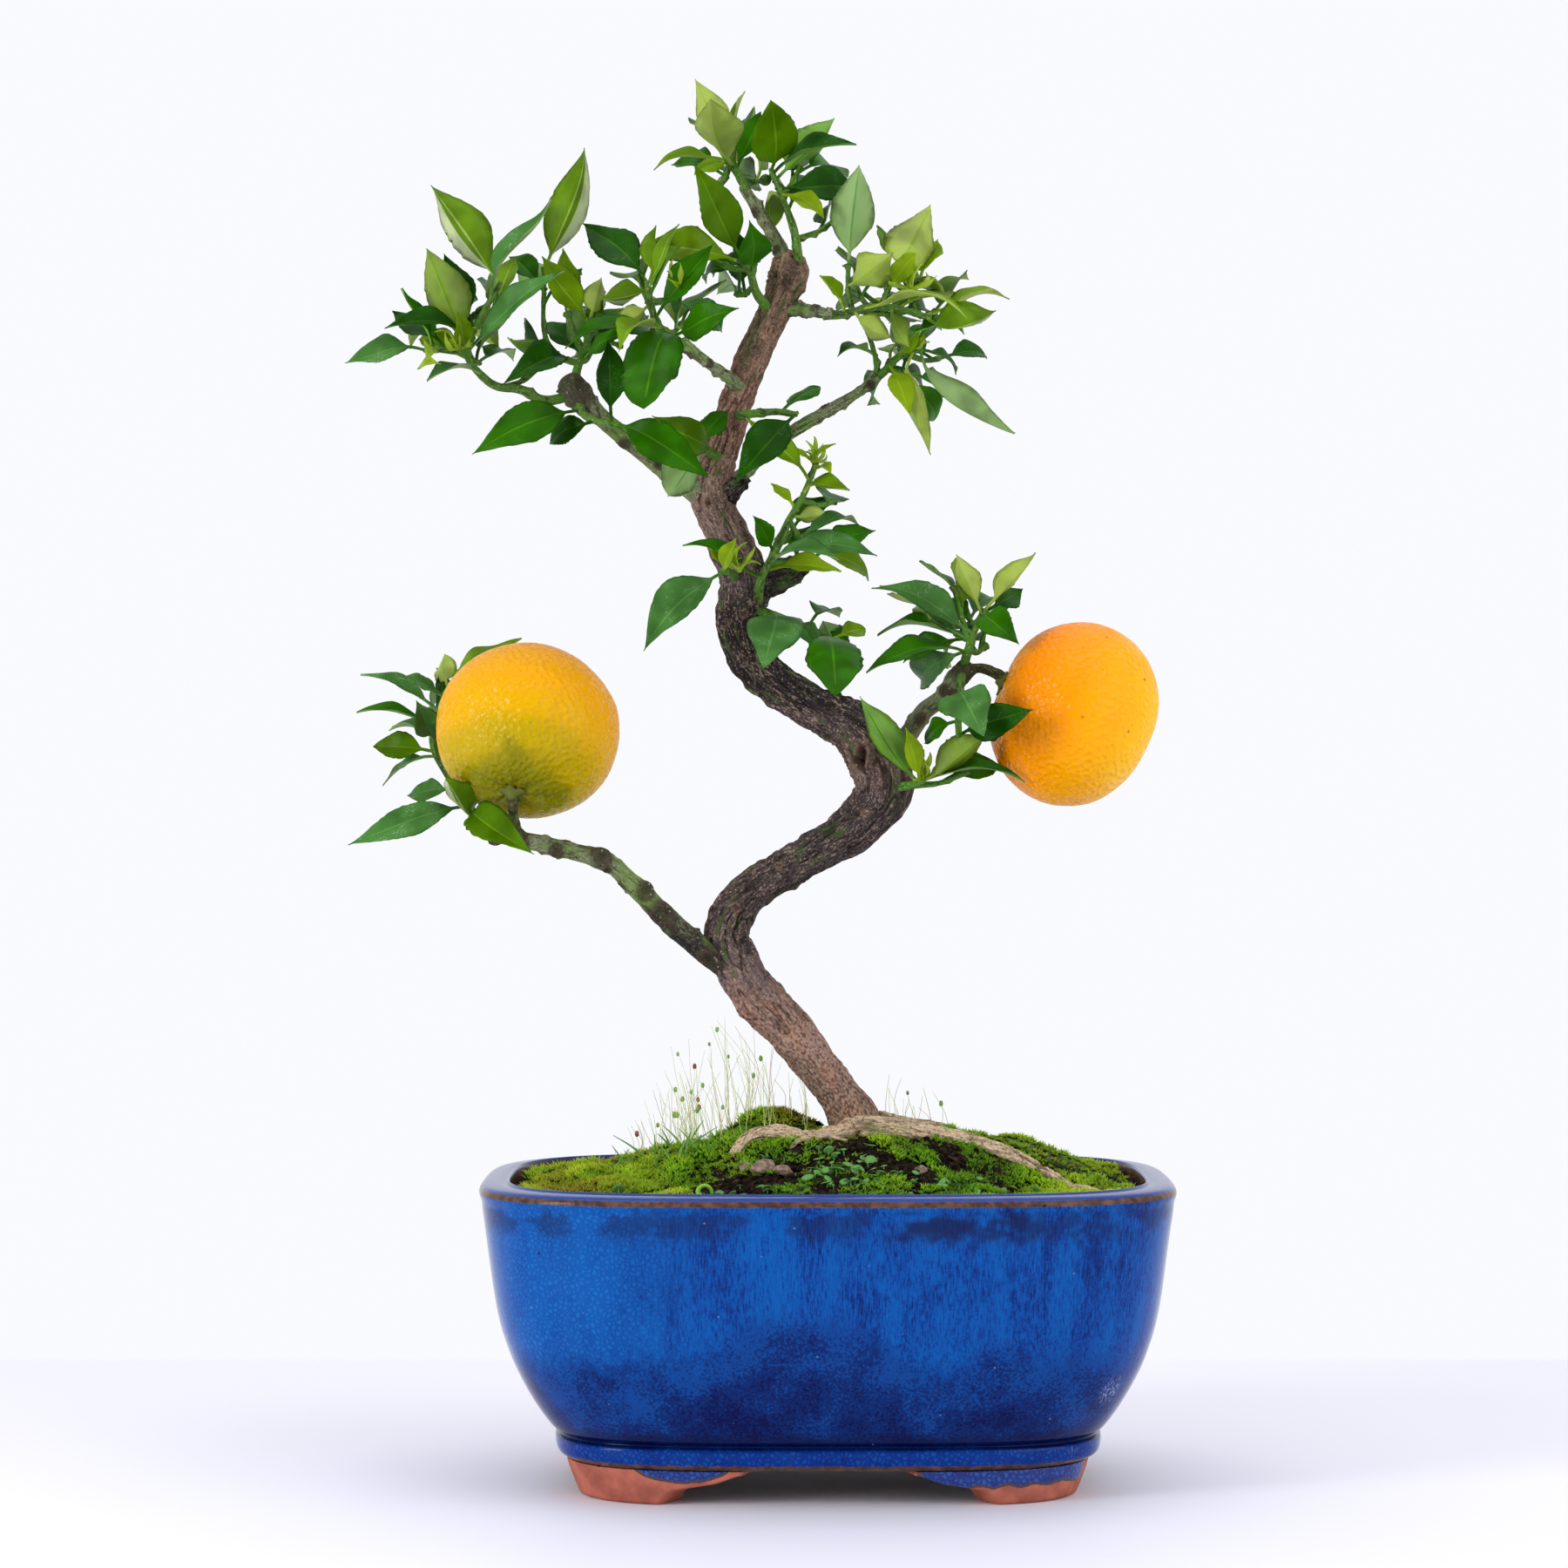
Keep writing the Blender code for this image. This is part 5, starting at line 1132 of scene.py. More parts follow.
def bark_material(name, tones, pale, green, gap=(0.5, 0.58), contrast=1.0, scab="#6E5A4C", speckled=0.0):
    """Citrus bark, matt and close-grained: lengthwise lines darker and lighter than the tone at each height,
    speckles under the speckled height, near-black cracks, scabbed knots, a wound and streaks of algae green."""
    material, tree, shader = new_material(name, tones[0][1], 0.85, Specular_IOR_Level=0.2)
    base = ramp(tree, place_mm(tree, "Z"), *tones)
    lines = spots(tree, 0.5, 4.0, (1, 1, 3.5), limb=True).outputs["Fac"]
    speckle = spots(tree, 0.6, 4.0, limb=True).outputs["Fac"]
    patches = spots(tree, 5.0, 3.0, (1, 1, 2.5), limb=True).outputs["Fac"]
    low = below(tree, place_mm(tree, "Z"), speckled - 15.0, speckled + 15.0)
    tone = math_node(tree, "MULTIPLY_ADD", lines, 0.5, math_node(tree, "MULTIPLY", speckle, 0.45))
    flecked = spots(tree, 0.75, 5.0, (1, 1, 1.4), limb=True).outputs["Fac"]
    difference = math_node(tree, "SUBTRACT", math_node(tree, "MULTIPLY", flecked, 0.95), tone)
    tone = math_node(tree, "MULTIPLY_ADD", low, difference, tone)
    tone = math_node(tree, "MULTIPLY_ADD", patches, 0.2, tone)
    rust = math_node(tree, "MULTIPLY", band(tree, patches, 0.48, 0.62), low)
    base = blend(tree, math_node(tree, "MULTIPLY", rust, 0.4), base, linear("#8A5232"))
    dark = blend(tree, 0.62 * contrast, base, linear("#0E0B0B"))
    light = blend(tree, 0.4 * contrast, base, pale)
    colour = ramp(tree, tone, (0.46, dark), (0.575, base), (0.69, light))
    streaks = spots(tree, 1.9, 3.0, (1, 1, 6), limb=True).outputs["Fac"]
    places = band(tree, spots(tree, 15.0, 2.0).outputs["Fac"], 0.42, 0.56)
    algae = math_node(tree, "MULTIPLY", band(tree, streaks, *gap), places)
    algae = math_node(tree, "MULTIPLY_ADD", math_node(tree, "MULTIPLY", algae, low), -0.85, algae)
    colour = blend(tree, math_node(tree, "MULTIPLY", algae, 0.8), colour, green)
    knot = add_node(tree, "ShaderNodeAttribute", attribute_name="knot").outputs["Fac"]
    turned = math_node(tree, "MULTIPLY_ADD", speckle, 14.0, math_node(tree, "MULTIPLY_ADD", knot, 11.0, patches))
    scabbed = blend(tree, 0.7, linear(scab), linear("#0E0B0B"))
    ringed = ramp(tree, math_node(tree, "SINE", turned), (-0.9, scabbed), (0.9, linear(scab)))
    colour = blend(tree, math_node(tree, "MULTIPLY", band(tree, knot, 0.15, 0.6), 0.85), colour, ringed)
    wound = add_node(tree, "ShaderNodeAttribute", attribute_name="wound").outputs["Fac"]
    colour = blend(tree, math_node(tree, "MULTIPLY", band(tree, wound, 0.12, 0.5), 0.7), colour, ramp(
        tree, math_node(tree, "MULTIPLY_ADD", lines, 0.35, wound),
        (0.45, linear("#80664F")), (0.8, linear("#5E4031")), (1.2, linear("#2A1C16")),
    ))
    crack = add_node(tree, "ShaderNodeAttribute", attribute_name="crack").outputs["Fac"]
    colour = blend(tree, math_node(tree, "MULTIPLY", band(tree, crack, 0.2, 0.9), 0.62), colour, linear("#120E0D"))
    grit = spots(tree, 1.7, kind="ShaderNodeTexVoronoi", limb=True).outputs["Distance"]
    colour = blend(tree, math_node(tree, "MULTIPLY", below(tree, grit, 0.1, 0.17), 0.5), colour, pale)
    tree.links.new(colour, shader.inputs["Base Color"])
    add_bump(tree, shader, math_node(tree, "MULTIPLY_ADD", lines, 1.0, speckle), 0.55)
    return material


def citrus_peel(name, ripe, green, centre, stalk_way, gloss):
    """Chinotto peel, thick and waxed by nature: oil glands dimple it, and its colour runs along the stalk's axis
    through the given stops, which hold both the late-ripening stalk end and painted light and shade.
    """
    material, tree, shader = new_material(name, ripe, gloss, Specular_IOR_Level=0.12)
    place = add_node(tree, "ShaderNodeTexCoord")
    middle = np.array(centre) * MM + POT_MIDDLE
    offset = add_node(tree, "ShaderNodeVectorMath", {0: place.outputs["Object"], 1: middle}, operation="SUBTRACT")
    axis = unit(np.array(stalk_way, dtype=float)) / (26 * MM)
    along = add_node(tree, "ShaderNodeVectorMath", {0: offset.outputs[0], 1: axis}, operation="DOT_PRODUCT")
    uneven = math_node(tree, "MULTIPLY_ADD", spots(tree, 13.0, 4.0).outputs["Fac"], 0.4, -0.2)
    place_along = math_node(tree, "ADD", along.outputs["Value"], uneven)
    glands = spots(tree, 1.6, kind="ShaderNodeTexVoronoi").outputs["Distance"]
    place_along = math_node(tree, "MULTIPLY_ADD", glands, -0.05, place_along)
    colour = ramp(
        tree, add_node(tree, "ShaderNodeMapRange", {0: place_along, 1: -1.0, 2: 1.0}).outputs[0], *green
    )
    colour = blend(tree, math_node(tree, "MULTIPLY", below(tree, glands, 0.1, 0.26), 0.15), colour, ripe)
    scars = spots(tree, 11.0, kind="ShaderNodeTexVoronoi").outputs["Distance"]
    colour = blend(tree, math_node(tree, "MULTIPLY", below(tree, scars, 0.03, 0.06), 0.6), colour, linear("#6B4410"))
    tree.links.new(colour, shader.inputs["Base Color"])
    add_bump(tree, shader, math_node(tree, "MULTIPLY_ADD", spots(tree, 2.6, 3.0).outputs["Fac"], 0.25, glands), 0.45)
    return material


def leaf_material(name, colour, roughness, glow, share, dusty=0.0, specular=0.055):
    """Citrus leaf: a waxed upper skin or a dull lower one over pulp that lets green light through; hard water
    leaves pale flecks on it."""
    material, tree, shader = new_material(name, colour, roughness, Specular_IOR_Level=specular)
    tone = spots(tree, 11.0, 2.0).outputs["Fac"]
    shown = ramp(tree, tone, (0.36, [0.74 * value for value in colour]), (0.64, [1.25 * value for value in colour]))
    if dusty:
        flecks = math_node(
            tree, "MULTIPLY", band(tree, spots(tree, 0.5, 4.0).outputs["Fac"], 0.5, 0.7),
            band(tree, spots(tree, 5.5, 2.0).outputs["Fac"], 0.48, 0.7),
        )
        shown = blend(tree, math_node(tree, "MULTIPLY", flecks, dusty), shown, linear("#B9CDB4"))
    tree.links.new(shown, shader.inputs["Base Color"])
    add_bump(tree, shader, spots(tree, 1.1, 2.0).outputs["Fac"], 0.12)
    through = add_node(tree, "ShaderNodeBsdfTranslucent", {"Color": (*glow, 1)})
    mixed = add_node(tree, "ShaderNodeMixShader", {0: share, 1: shader.outputs[0], 2: through.outputs[0]})
    tree.links.new(mixed.outputs[0], tree.nodes["Material Output"].inputs["Surface"])
    return material


# What a user can set


class BonsaiPotSettings(bpy.types.PropertyGroup):
    streak: FloatVectorProperty(
        name="Streak", description="Bright blue of the glaze's hairs", subtype="COLOR", size=3, min=0, max=1,
        default=linear("#0055A4"),
    )
    run: FloatVectorProperty(
        name="Run", description="Middle blue between the hairs", subtype="COLOR", size=3, min=0, max=1,
        default=linear("#003482"),
    )
    deep: FloatVectorProperty(
        name="Deep", description="Dark blue where the glaze pools", subtype="COLOR", size=3, min=0, max=1,
        default=linear("#000A46"),
    )
    edge: FloatVectorProperty(
        name="Edge", description="Brown where the glaze thins over an edge", subtype="COLOR", size=3, min=0, max=1,
        default=linear("#432F29"),
    )


class BonsaiBarkSettings(bpy.types.PropertyGroup):
    crack_depth: FloatProperty(
        name="Crack depth", description="Depth of the lengthwise cracks in the trunk's bark",
        unit="LENGTH", default=0.0007, min=0, max=0.003,
    )
    twig_girth: FloatProperty(
        name="Twig girth", description="Thickness of the green twigs beside the solids' own", default=0.85,
        min=0.3, max=1,
    )


class BonsaiLeafSettings(bpy.types.PropertyGroup):
    thickness: FloatProperty(
        name="Thickness", description="Thickness of a leaf at its midrib", unit="LENGTH",
        default=0.0005, min=0.0002, max=0.002,
    )
    gloss: FloatProperty(
        name="Roughness", description="Roughness of the upper skin", subtype="FACTOR", default=0.33, min=0, max=1,
    )


class BonsaiFruitSettings(bpy.types.PropertyGroup):
    glands: IntProperty(name="Glands", description="Oil glands over one fruit", default=2100, min=100, max=4000)
    gland_depth: FloatProperty(
        name="Gland depth", description="Depth of a gland's dimple", unit="LENGTH", default=0.0004, min=0, max=0.001,
    )
    ripe: FloatVectorProperty(
        name="Ripe", description="Colour of ripe peel", subtype="COLOR", size=3, min=0, max=1,
        default=linear("#F0AE00"),
    )


class BonsaiGroundSettings(bpy.types.PropertyGroup):
    tufts: IntProperty(name="Tufts", description="Number of moss tufts", default=13000, min=0, max=14000)
    tuft_height: FloatProperty(
        name="Tuft height", description="Height of a moss tuft", unit="LENGTH", default=0.0022, min=0.0005, max=0.01,
    )
    stalks: IntProperty(name="Stalks", description="Number of thin stalks over the moss", default=150, min=0, max=400)


class BonsaiStageSettings(bpy.types.PropertyGroup):
    key: FloatProperty(name="Right light", description="Power of the right soft box in watts", default=16.0, min=0)
    fill: FloatProperty(name="Left light", description="Power of the left soft box in watts", default=15.0, min=0)
    top: FloatProperty(name="Top light", description="Power of the overhead panel in watts", default=8.0, min=0)


# Pieces


def pot_turns(segments):
    """Turns that space the rim's outline evenly: its arc length, inverted by interpolation."""
    dense = np.linspace(0, 2 * math.pi, 7201)
    runs = np.linalg.norm(np.diff(outline_at(dense, RIM_WIDTH / 2, RIM_DEPTH / 2), axis=0), axis=1)
    along = np.concatenate([[0], np.cumsum(runs)])
    return np.interp(np.arange(segments) / segments * along[-1], along, dense)


class BONSAI_OT_pot(bpy.types.Operator):
    """Throw the pot: its rounded oblong outline carried up the wall's profile and over the lip"""

    bl_idname = "bonsai.pot"
    bl_label = "Glazed pot"

    def execute(self, context):
        profile = smooth_path(POT_PROFILE, POT_STEPS)
        height, half_width = profile[:, 0], profile[:, 1]
        turns = pot_turns(POT_SEGMENTS)
        across = outline_at(turns, half_width[:, None], half_depth_of(half_width)[:, None])
        points = np.concatenate([across, np.broadcast_to(height[:, None, None], (*across.shape[:2], 1))], axis=2)
        wave = layered_noise(points / 28, 5, 2)[..., None]
        out = np.concatenate([across / np.linalg.norm(across, axis=2, keepdims=True), np.zeros_like(wave)], axis=2)
        points = points + 0.22 * wave * out
        row = np.arange(len(profile)) / POT_STEPS
        edges = np.zeros(len(profile))
        for place, spread, strength in GLAZE_BREAKS:
            edges = np.maximum(edges, strength * np.exp(-(((row - place) / spread) ** 2)))
        values = {"edge": np.broadcast_to(edges[:, None], points.shape[:2])}
        middles = ((0, 0, UNDERSIDE), (0, 0, FLOOR_TOP))
        shape = closed_rings(points, values=values, middles=middles)
        make_piece("glazed_pot", shape, [cobalt_glaze(context.scene.bonsai_pot)], ["pot"])
        return {"FINISHED"}


def foot_shape(across, along):
    """One cloud foot: a rounded section, carried round a quarter of the base outline, arched at both ends."""
    stations = np.linspace(FOOT_STATIONS[0][0], FOOT_STATIONS[-1][0], 110)
    arch = np.interp(stations, *np.transpose(FOOT_STATIONS))
    arch = np.convolve(np.pad(arch, 2, mode="edge"), np.ones(5) / 5, mode="valid")
    x, y = np.cos(np.radians(stations)), np.sin(np.radians(stations))
    x, y = x ** (2 / CORNER_POWER), y ** (2 / CORNER_POWER)
    low = (FOOT_TOP - arch) / (FOOT_TOP - FOOT_BOTTOM)
    bottom = [top + (end - top) * low for top, end in zip(FOOT_OUTER_TOP, FOOT_OUTER_BOTTOM)]
    corners = np.array([
        [x * FOOT_OUTER_TOP[0], y * FOOT_OUTER_TOP[1], np.full_like(x, FOOT_TOP)],
        [x * bottom[0], y * bottom[1], arch],
        [x * (bottom[0] - FOOT_THICKNESS), y * (bottom[1] - FOOT_THICKNESS), arch],
        [x * (FOOT_OUTER_TOP[0] - FOOT_THICKNESS), y * (FOOT_OUTER_TOP[1] - FOOT_THICKNESS), np.full_like(x, FOOT_TOP)],
    ]).transpose(2, 0, 1)
    rounded = []
    for corner in range(4):
        before, here, after = corners[:, corner - 1], corners[:, corner], corners[:, (corner + 1) % 4]
        sharp = 0.06 if corner in (0, 3) else 0.3
        reach_in = here + (before - here) * sharp * 0.5
        reach_out = here + (after - here) * sharp * 0.5
        for t in np.linspace(0, 1, 6):
            rounded.append((1 - t) ** 2 * reach_in + 2 * t * (1 - t) * here + t**2 * reach_out)
        if corner == 0:
            following = corners[:, 1] + (here - corners[:, 1]) * 0.15
            for t in (0.25, 0.5, 0.75):
                rounded.append(reach_out + (following - reach_out) * t)
    points = np.stack(rounded, axis=1) * (across, along, 1)
    shape = closed_rings(points)
    # Glaze runs over all but the lowest clay on the right, and in one lens beside the block on the left
    side, high = np.abs(shape.points[:, 0]), shape.points[:, 2]
    wavy = 0.35 * np.sin(side * 0.8)
    if across > 0:
        reach = np.minimum(high - 3.2 - wavy, (side - 24) * 0.5)
    else:
        lens = np.sin(math.pi * np.clip((side - 27) / 27, 0, 1)) ** 0.7
        reach = high - FOOT_TOP + 3.6 * lens + 0.3 * wavy - 0.8 * (lens == 0)
    outer = np.abs(shape.points[:, 1]) > 30
    shape.values = {"glaze_reach": np.where(outer, reach, -5.0)}
    return shape


class BONSAI_OT_feet(bpy.types.Operator):
    """Press the cloud feet under the pot, with glaze run down over a part of each"""

    bl_idname = "bonsai.feet"
    bl_label = "Cloud feet"

    def execute(self, context):
        shapes, nodes = [], []
        for depth_name, along in (("front", -1), ("back", 1)):
            for side_name, across in (("left", -1), ("right", 1)):
                shapes.append(foot_shape(across, along))
                nodes.append(f"foot_{depth_name}_{side_name}")
        make_piece("cloud_feet", joined(shapes), [foot_clay()], nodes)
        return {"FINISHED"}


def ground_height(x, y):
    """The soil's rounded mound with crumbs on it, in mm: smooth fall plus noise at three sizes."""
    flat = np.stack([x, y, np.zeros_like(x)], axis=-1)
    return soil_height(x, y) + 0.55 * layered_noise(flat / 5.0, 3) + 0.25 * layered_noise(flat / 1.3, 9, 2)


def bare_height(x, y):
    """Height of the bare ground at one place: the soil, or a moss pad that rises over it."""
    x, y = np.array([x], dtype=float), np.array([y], dtype=float)
    return float(np.maximum(ground_height(x, y), soil_height(x, y) + pad_height(x, y))[0])


class BONSAI_OT_soil(bpy.types.Operator):
    """Fill the pot with soil: a polar grid lifted by the mound and its crumbs, closed down inside the pot"""

    bl_idname = "bonsai.soil"
    bl_label = "Soil"

    def execute(self, context):
        turns = pot_turns(300)
        spread = np.linspace(0, 1, 101)[1:, None]
        flat = outline_at(turns, SOIL_REACH * spread, half_depth_of(SOIL_REACH) * spread)
        x = flat[..., 0] + MOUND_CENTRE[0] * (1 - spread)
        y = flat[..., 1] + MOUND_CENTRE[1] * (1 - spread)
        top = np.stack([x, y, ground_height(x, y)], axis=-1)
        rings = [top]
        for height, half_width in POT_PROFILE[-4:]:
            across = outline_at(turns, half_width - 0.4, half_depth_of(half_width) - 0.4)
            rings.append(np.column_stack([across, np.full(len(turns), height + 0.4)])[None])
        middles = ((*MOUND_CENTRE, SOIL_PEAK), (0, 0, FLOOR_TOP + 0.4))
        shape = closed_rings(np.concatenate(rings), middles=middles)
        crumbs = [shape]
        rng = np.random.default_rng(77)
        for x, y in scattered(2400, rng, lambda x, y: ~moss_cover(x, y)):
            size = 0.3 + 1.1 * rng.random() ** 2
            crumbs.append(lump((x, y, bare_height(x, y) + 0.2 * size), size, rng, 0))
        for x, y, size in ((-18, -31, 3.2), (-13, -34, 2.6), (-23, -28, 2.0), (26, -38, 1.9), (-44, -42, 1.6)):
            crumbs.append(lump((x, y, bare_height(x, y) + 0.4 * size), size, rng, 1, fine=True))
        stone, tree, shader = new_material("river_grit", linear("#8D7B68"), 0.7)
        tone = spots(tree, 1.5, 3.0).outputs["Fac"]
        tree.links.new(
            ramp(tree, tone, (0.3, linear("#4E3C33")), (0.7, linear("#977F6C"))), shader.inputs["Base Color"]
        )
        make_piece("potting_soil", joined(crumbs), [potting_soil(), stone], ["soil"])
        return {"FINISHED"}


def ball_grid(rings, sides):
    """Unit directions of a ball's rings, without its poles: latitude by cosine, longitude by turn."""
    polar = np.linspace(0, math.pi, rings + 2)[1:-1]
    turns = np.linspace(0, 2 * math.pi, sides, endpoint=False)
    x = np.sin(polar)[:, None] * np.cos(turns)
    y = np.sin(polar)[:, None] * np.sin(turns)
    return np.stack([x, y, np.broadcast_to(np.cos(polar)[:, None], x.shape)], axis=-1)


def lump(centre, size, rng, slot, fine=False):
    """A crumb or a stone: a ball, flattened and pushed in and out by chance, or by smooth noise where fine."""
    ways = ball_grid(14, 24) if fine else ball_grid(3, 6)
    if fine:
        bumps = 1 + 0.3 * layered_noise(ways * 1.1 + rng.uniform(0, 40), 5) + 0.06 * layered_noise(ways * 6, 8)
    else:
        bumps = 1 + 0.35 * (rng.random(ways.shape[:2]) - 0.5)
    scale = np.array((1, rng.uniform(0.7, 1.0), rng.uniform(0.5, 0.8))) * size
    points = np.array(centre) + ways * bumps[..., None] * scale
    middles = (np.array(centre) + (0, 0, scale[2]), np.array(centre) - (0, 0, scale[2]))
    return closed_rings(points, slot, slot, middles=middles)


def pad_height(x, y):
    """How far the moss pads raise the ground: each a paraboloid over its ellipse, and 0 outside them."""
    lift = np.zeros_like(x)
    for (mx, my), (rx, ry), thickness in MOSS_PADS.values():
        spread = ((x - mx) / rx) ** 2 + ((y - my) / ry) ** 2
        lift = np.maximum(lift, np.where(spread < 1, MOSS_LIFT + thickness * (1 - spread), 0))
    return lift


def moss_clumps(x, y):
    """Hummocks of the moss, from 0 in their gaps to 1: noise of 7 mm."""
    return np.clip(0.5 + 0.55 * layered_noise(np.stack([x / 7, y / 7, np.zeros_like(x)], axis=-1), 83, 2), 0, 1)


def moss_cover(x, y):
    """Where moss grows: thick at both ends and behind, in patches in front of the trunk, with one bare place."""
    flat = np.stack([x / 12, y / 12, np.zeros_like(x)], axis=-1)
    patches = layered_noise(flat, 21, 3)
    front = np.clip(1 - np.abs(x - 14) / 42, 0, 1) ** 0.5 * np.clip((-y - 8) / 12, 0, 1)
    bare = ((x + 27) / 14) ** 2 + ((y + 46) / 15) ** 2 + 0.5 * patches < 1
    return (patches + 0.4 * moss_clumps(x, y) > -0.75 + 0.9 * front) & ~bare


class BONSAI_OT_moss(bpy.types.Operator):
    """Grow the moss: low cushions, thousands of starry tufts on them, and a mat of small round leaves"""

    bl_idname = "bonsai.moss"
    bl_label = "Moss"

    def execute(self, context):
        settings = context.scene.bonsai_ground
        under = moss_material("moss_cushion")
        leaflet = moss_material("moss_leaflet")
        cushions = []
        turns = np.linspace(0, 2 * math.pi, 150, endpoint=False)
        for (mx, my), (rx, ry), thickness in MOSS_PADS.values():
            spread = np.linspace(0, 1, 41)[1:, None]
            x, y = mx + rx * spread * np.cos(turns), my + ry * spread * np.sin(turns)
            flat = np.stack([x, y, np.zeros_like(x)], axis=-1)
            rough = 0.5 * layered_noise(flat / 2.2, 31, 2) + 0.25 * layered_noise(flat / 0.9, 37, 2)
            lift = thickness * (1 - spread**2) + (1.4 * (moss_clumps(x, y) - 0.6) + rough) * (1 - spread**4)
            upper = np.stack([x, y, soil_height(x, y) + MOSS_LIFT + lift], axis=-1)
            lower = np.stack([x, y, soil_height(x, y) - 0.6], axis=-1)[::-10]
            ground = float(soil_height(np.array(mx), np.array(my)))
            middles = ((mx, my, ground + MOSS_LIFT + thickness), (mx, my, ground - 0.6))
            covered = moss_cover(x, y)
            # Painted shade: the cushions stay dark, lighter only on the tops of the hummocks.
            light = np.concatenate([0.35 * moss_clumps(x, y) * covered, np.zeros(lower.shape[:2])])
            values = {"tip": light, "hue": np.full(light.shape, 0.35)}
            slots = np.concatenate([~covered[:-1], np.zeros((len(lower), len(turns)))]).ravel()
            cushions.append(closed_rings(np.concatenate([upper, lower]), slots, values=values, middles=middles))
        bare = bpy.data.materials.get("potting_soil") or potting_soil()
        make_piece("moss_cushions", joined(cushions), [under, bare], list(MOSS_PADS))
        make_piece("moss_tufts", moss_tufts(settings, 41), [leaflet])
        make_piece("moss_tufts_more", moss_tufts(settings, 42), [leaflet])
        mat_green = new_material("liverwort", linear("#5E9048"), 0.5, Specular_IOR_Level=0.15)[0]
        make_piece("round_leaves", round_leaves(), [mat_green])
        return {"FINISHED"}


TUFT_SPIKES = 7


def scattered(count, rng, keep):
    """Points spread over the soil's outline by chance, until count of them pass keep(x, y)."""
    found = np.empty((0, 2))
    while len(found) < count:
        turns, reach = rng.uniform(0, 2 * math.pi, count), np.sqrt(rng.uniform(0, 1, count)) * 0.985
        half = half_depth_of(SOIL_REACH)
        points = outline_at(turns, SOIL_REACH * reach[:], half * reach[:])
        found = np.concatenate([found, points[keep(points[:, 0], points[:, 1])]])
    return found[:count]


def moss_tufts(settings, seed):
    """Half the tufts: each is a star of pointed leaflets that lean out from one foot, slim three-sided spikes."""
    rng = np.random.default_rng(seed)
    feet = scattered(settings.tufts // 2, rng, moss_cover)
    x, y = feet.T
    clump = moss_clumps(x, y)
    padded = pad_height(x, y)
    ground = np.where(padded > 0, soil_height(x, y) + padded, ground_height(x, y)) + 1.4 * (clump - 0.6) - 0.3
    count = len(feet) * TUFT_SPIKES
    turns = rng.uniform(0, 2 * math.pi, count)
    lean = rng.uniform(0.15, 1.3, count)
    left = np.clip((-x - 30) / 30, 0, 1)
    tall = (0.6 + 0.6 * clump) * (1 + 0.2 * left)
    high = settings.tuft_height / MM * rng.uniform(0.55, 1.15, count) * np.repeat(tall, TUFT_SPIKES)
    foot = np.repeat(np.column_stack([x, y, ground]), TUFT_SPIKES, axis=0)
    reach = high / np.sqrt(1 + 0.5 * lean**2)
    tip = foot + np.column_stack([np.cos(turns) * lean * reach, np.sin(turns) * lean * reach, reach])
    points = [tip]
    for corner in range(3):
        angle = turns + corner * 2 * math.pi / 3
        girth = np.where(corner == 0, 0.55, 0.4)
        points.append(foot + np.column_stack([np.cos(angle) * girth, np.sin(angle) * girth, 0.25 * high]))
    points = np.stack(points, axis=1)
    corners = np.array(((0, 1, 2), (0, 2, 3), (0, 3, 1), (1, 3, 2)))
    tris = (4 * np.arange(count)[:, None, None] + corners).reshape(-1, 3)
    patch = layered_noise(np.column_stack([x, y, np.zeros_like(x)]) / 13, 55, 2)
    ends = np.clip((np.abs(x - 8) - 28) / 30, 0, 1)
    gold = 0.5 * np.exp(-(((x + 4) / 13) ** 2) - ((y - 8) / 16) ** 2)
    hue = 0.36 + 0.25 * ends + 0.12 * left + 0.2 * patch + gold + rng.uniform(-0.14, 0.14, len(feet))
    # Painted shade: 1 at each leaflet's point and 0 at its foot, and lower for the whole tuft in the gaps between
    # hummocks.
    light = np.array((1.0, 0.0, 0.0, 0.0)) * (0.35 + 0.65 * np.repeat(clump, TUFT_SPIKES))[:, None]
    values = {"tip": light.ravel(), "hue": np.repeat(np.clip(hue, 0, 1), 4 * TUFT_SPIKES)}
    return Shape(points.reshape(-1, 3), tris=tris, values=values).turned_out()


def round_leaves():
    """Small round leaves on the soil in front of the trunk: each a thin lens, tilted by chance, on its stalk."""
    rng = np.random.default_rng(63)
    lenses = []
    for _ in range(150):
        x, y = rng.normal(8, 22), rng.uniform(-60, -24)
        size = rng.uniform(0.5, 1.4) if rng.random() < 0.85 else rng.uniform(1.5, 2.1)
        centre = np.array((x, y, bare_height(x, y) + rng.uniform(0.4, 1.5)))
        turns = np.linspace(0, 2 * math.pi, 12, endpoint=False)
        tilt, heading = rng.uniform(0.1, 1.0), rng.uniform(0, 2 * math.pi)
        first = np.array((math.cos(heading), math.sin(heading), 0))
        second = np.array((-math.sin(heading) * math.cos(tilt), math.cos(heading) * math.cos(tilt), math.sin(tilt)))
        upright = np.cross(first, second)
        round_way = np.cos(turns)[:, None] * first + np.sin(turns)[:, None] * second
        rings = np.stack([0.55 * round_way + 0.12 * upright, round_way, 0.55 * round_way - 0.05 * upright])
        lenses.append(closed_rings(centre + size * rings))
        lenses.append(sweep(with_radii([centre - (0, 0, 3), centre - (0, 0, 1), centre], (0.25, 0.18)), 4))
    return joined(lenses)


def standing_on(x, y):
    """The point of the moss or soil at x, y."""
    x, y = np.array(float(x)), np.array(float(y))
    return np.array((x, y, soil_height(x, y) + pad_height(x, y)))


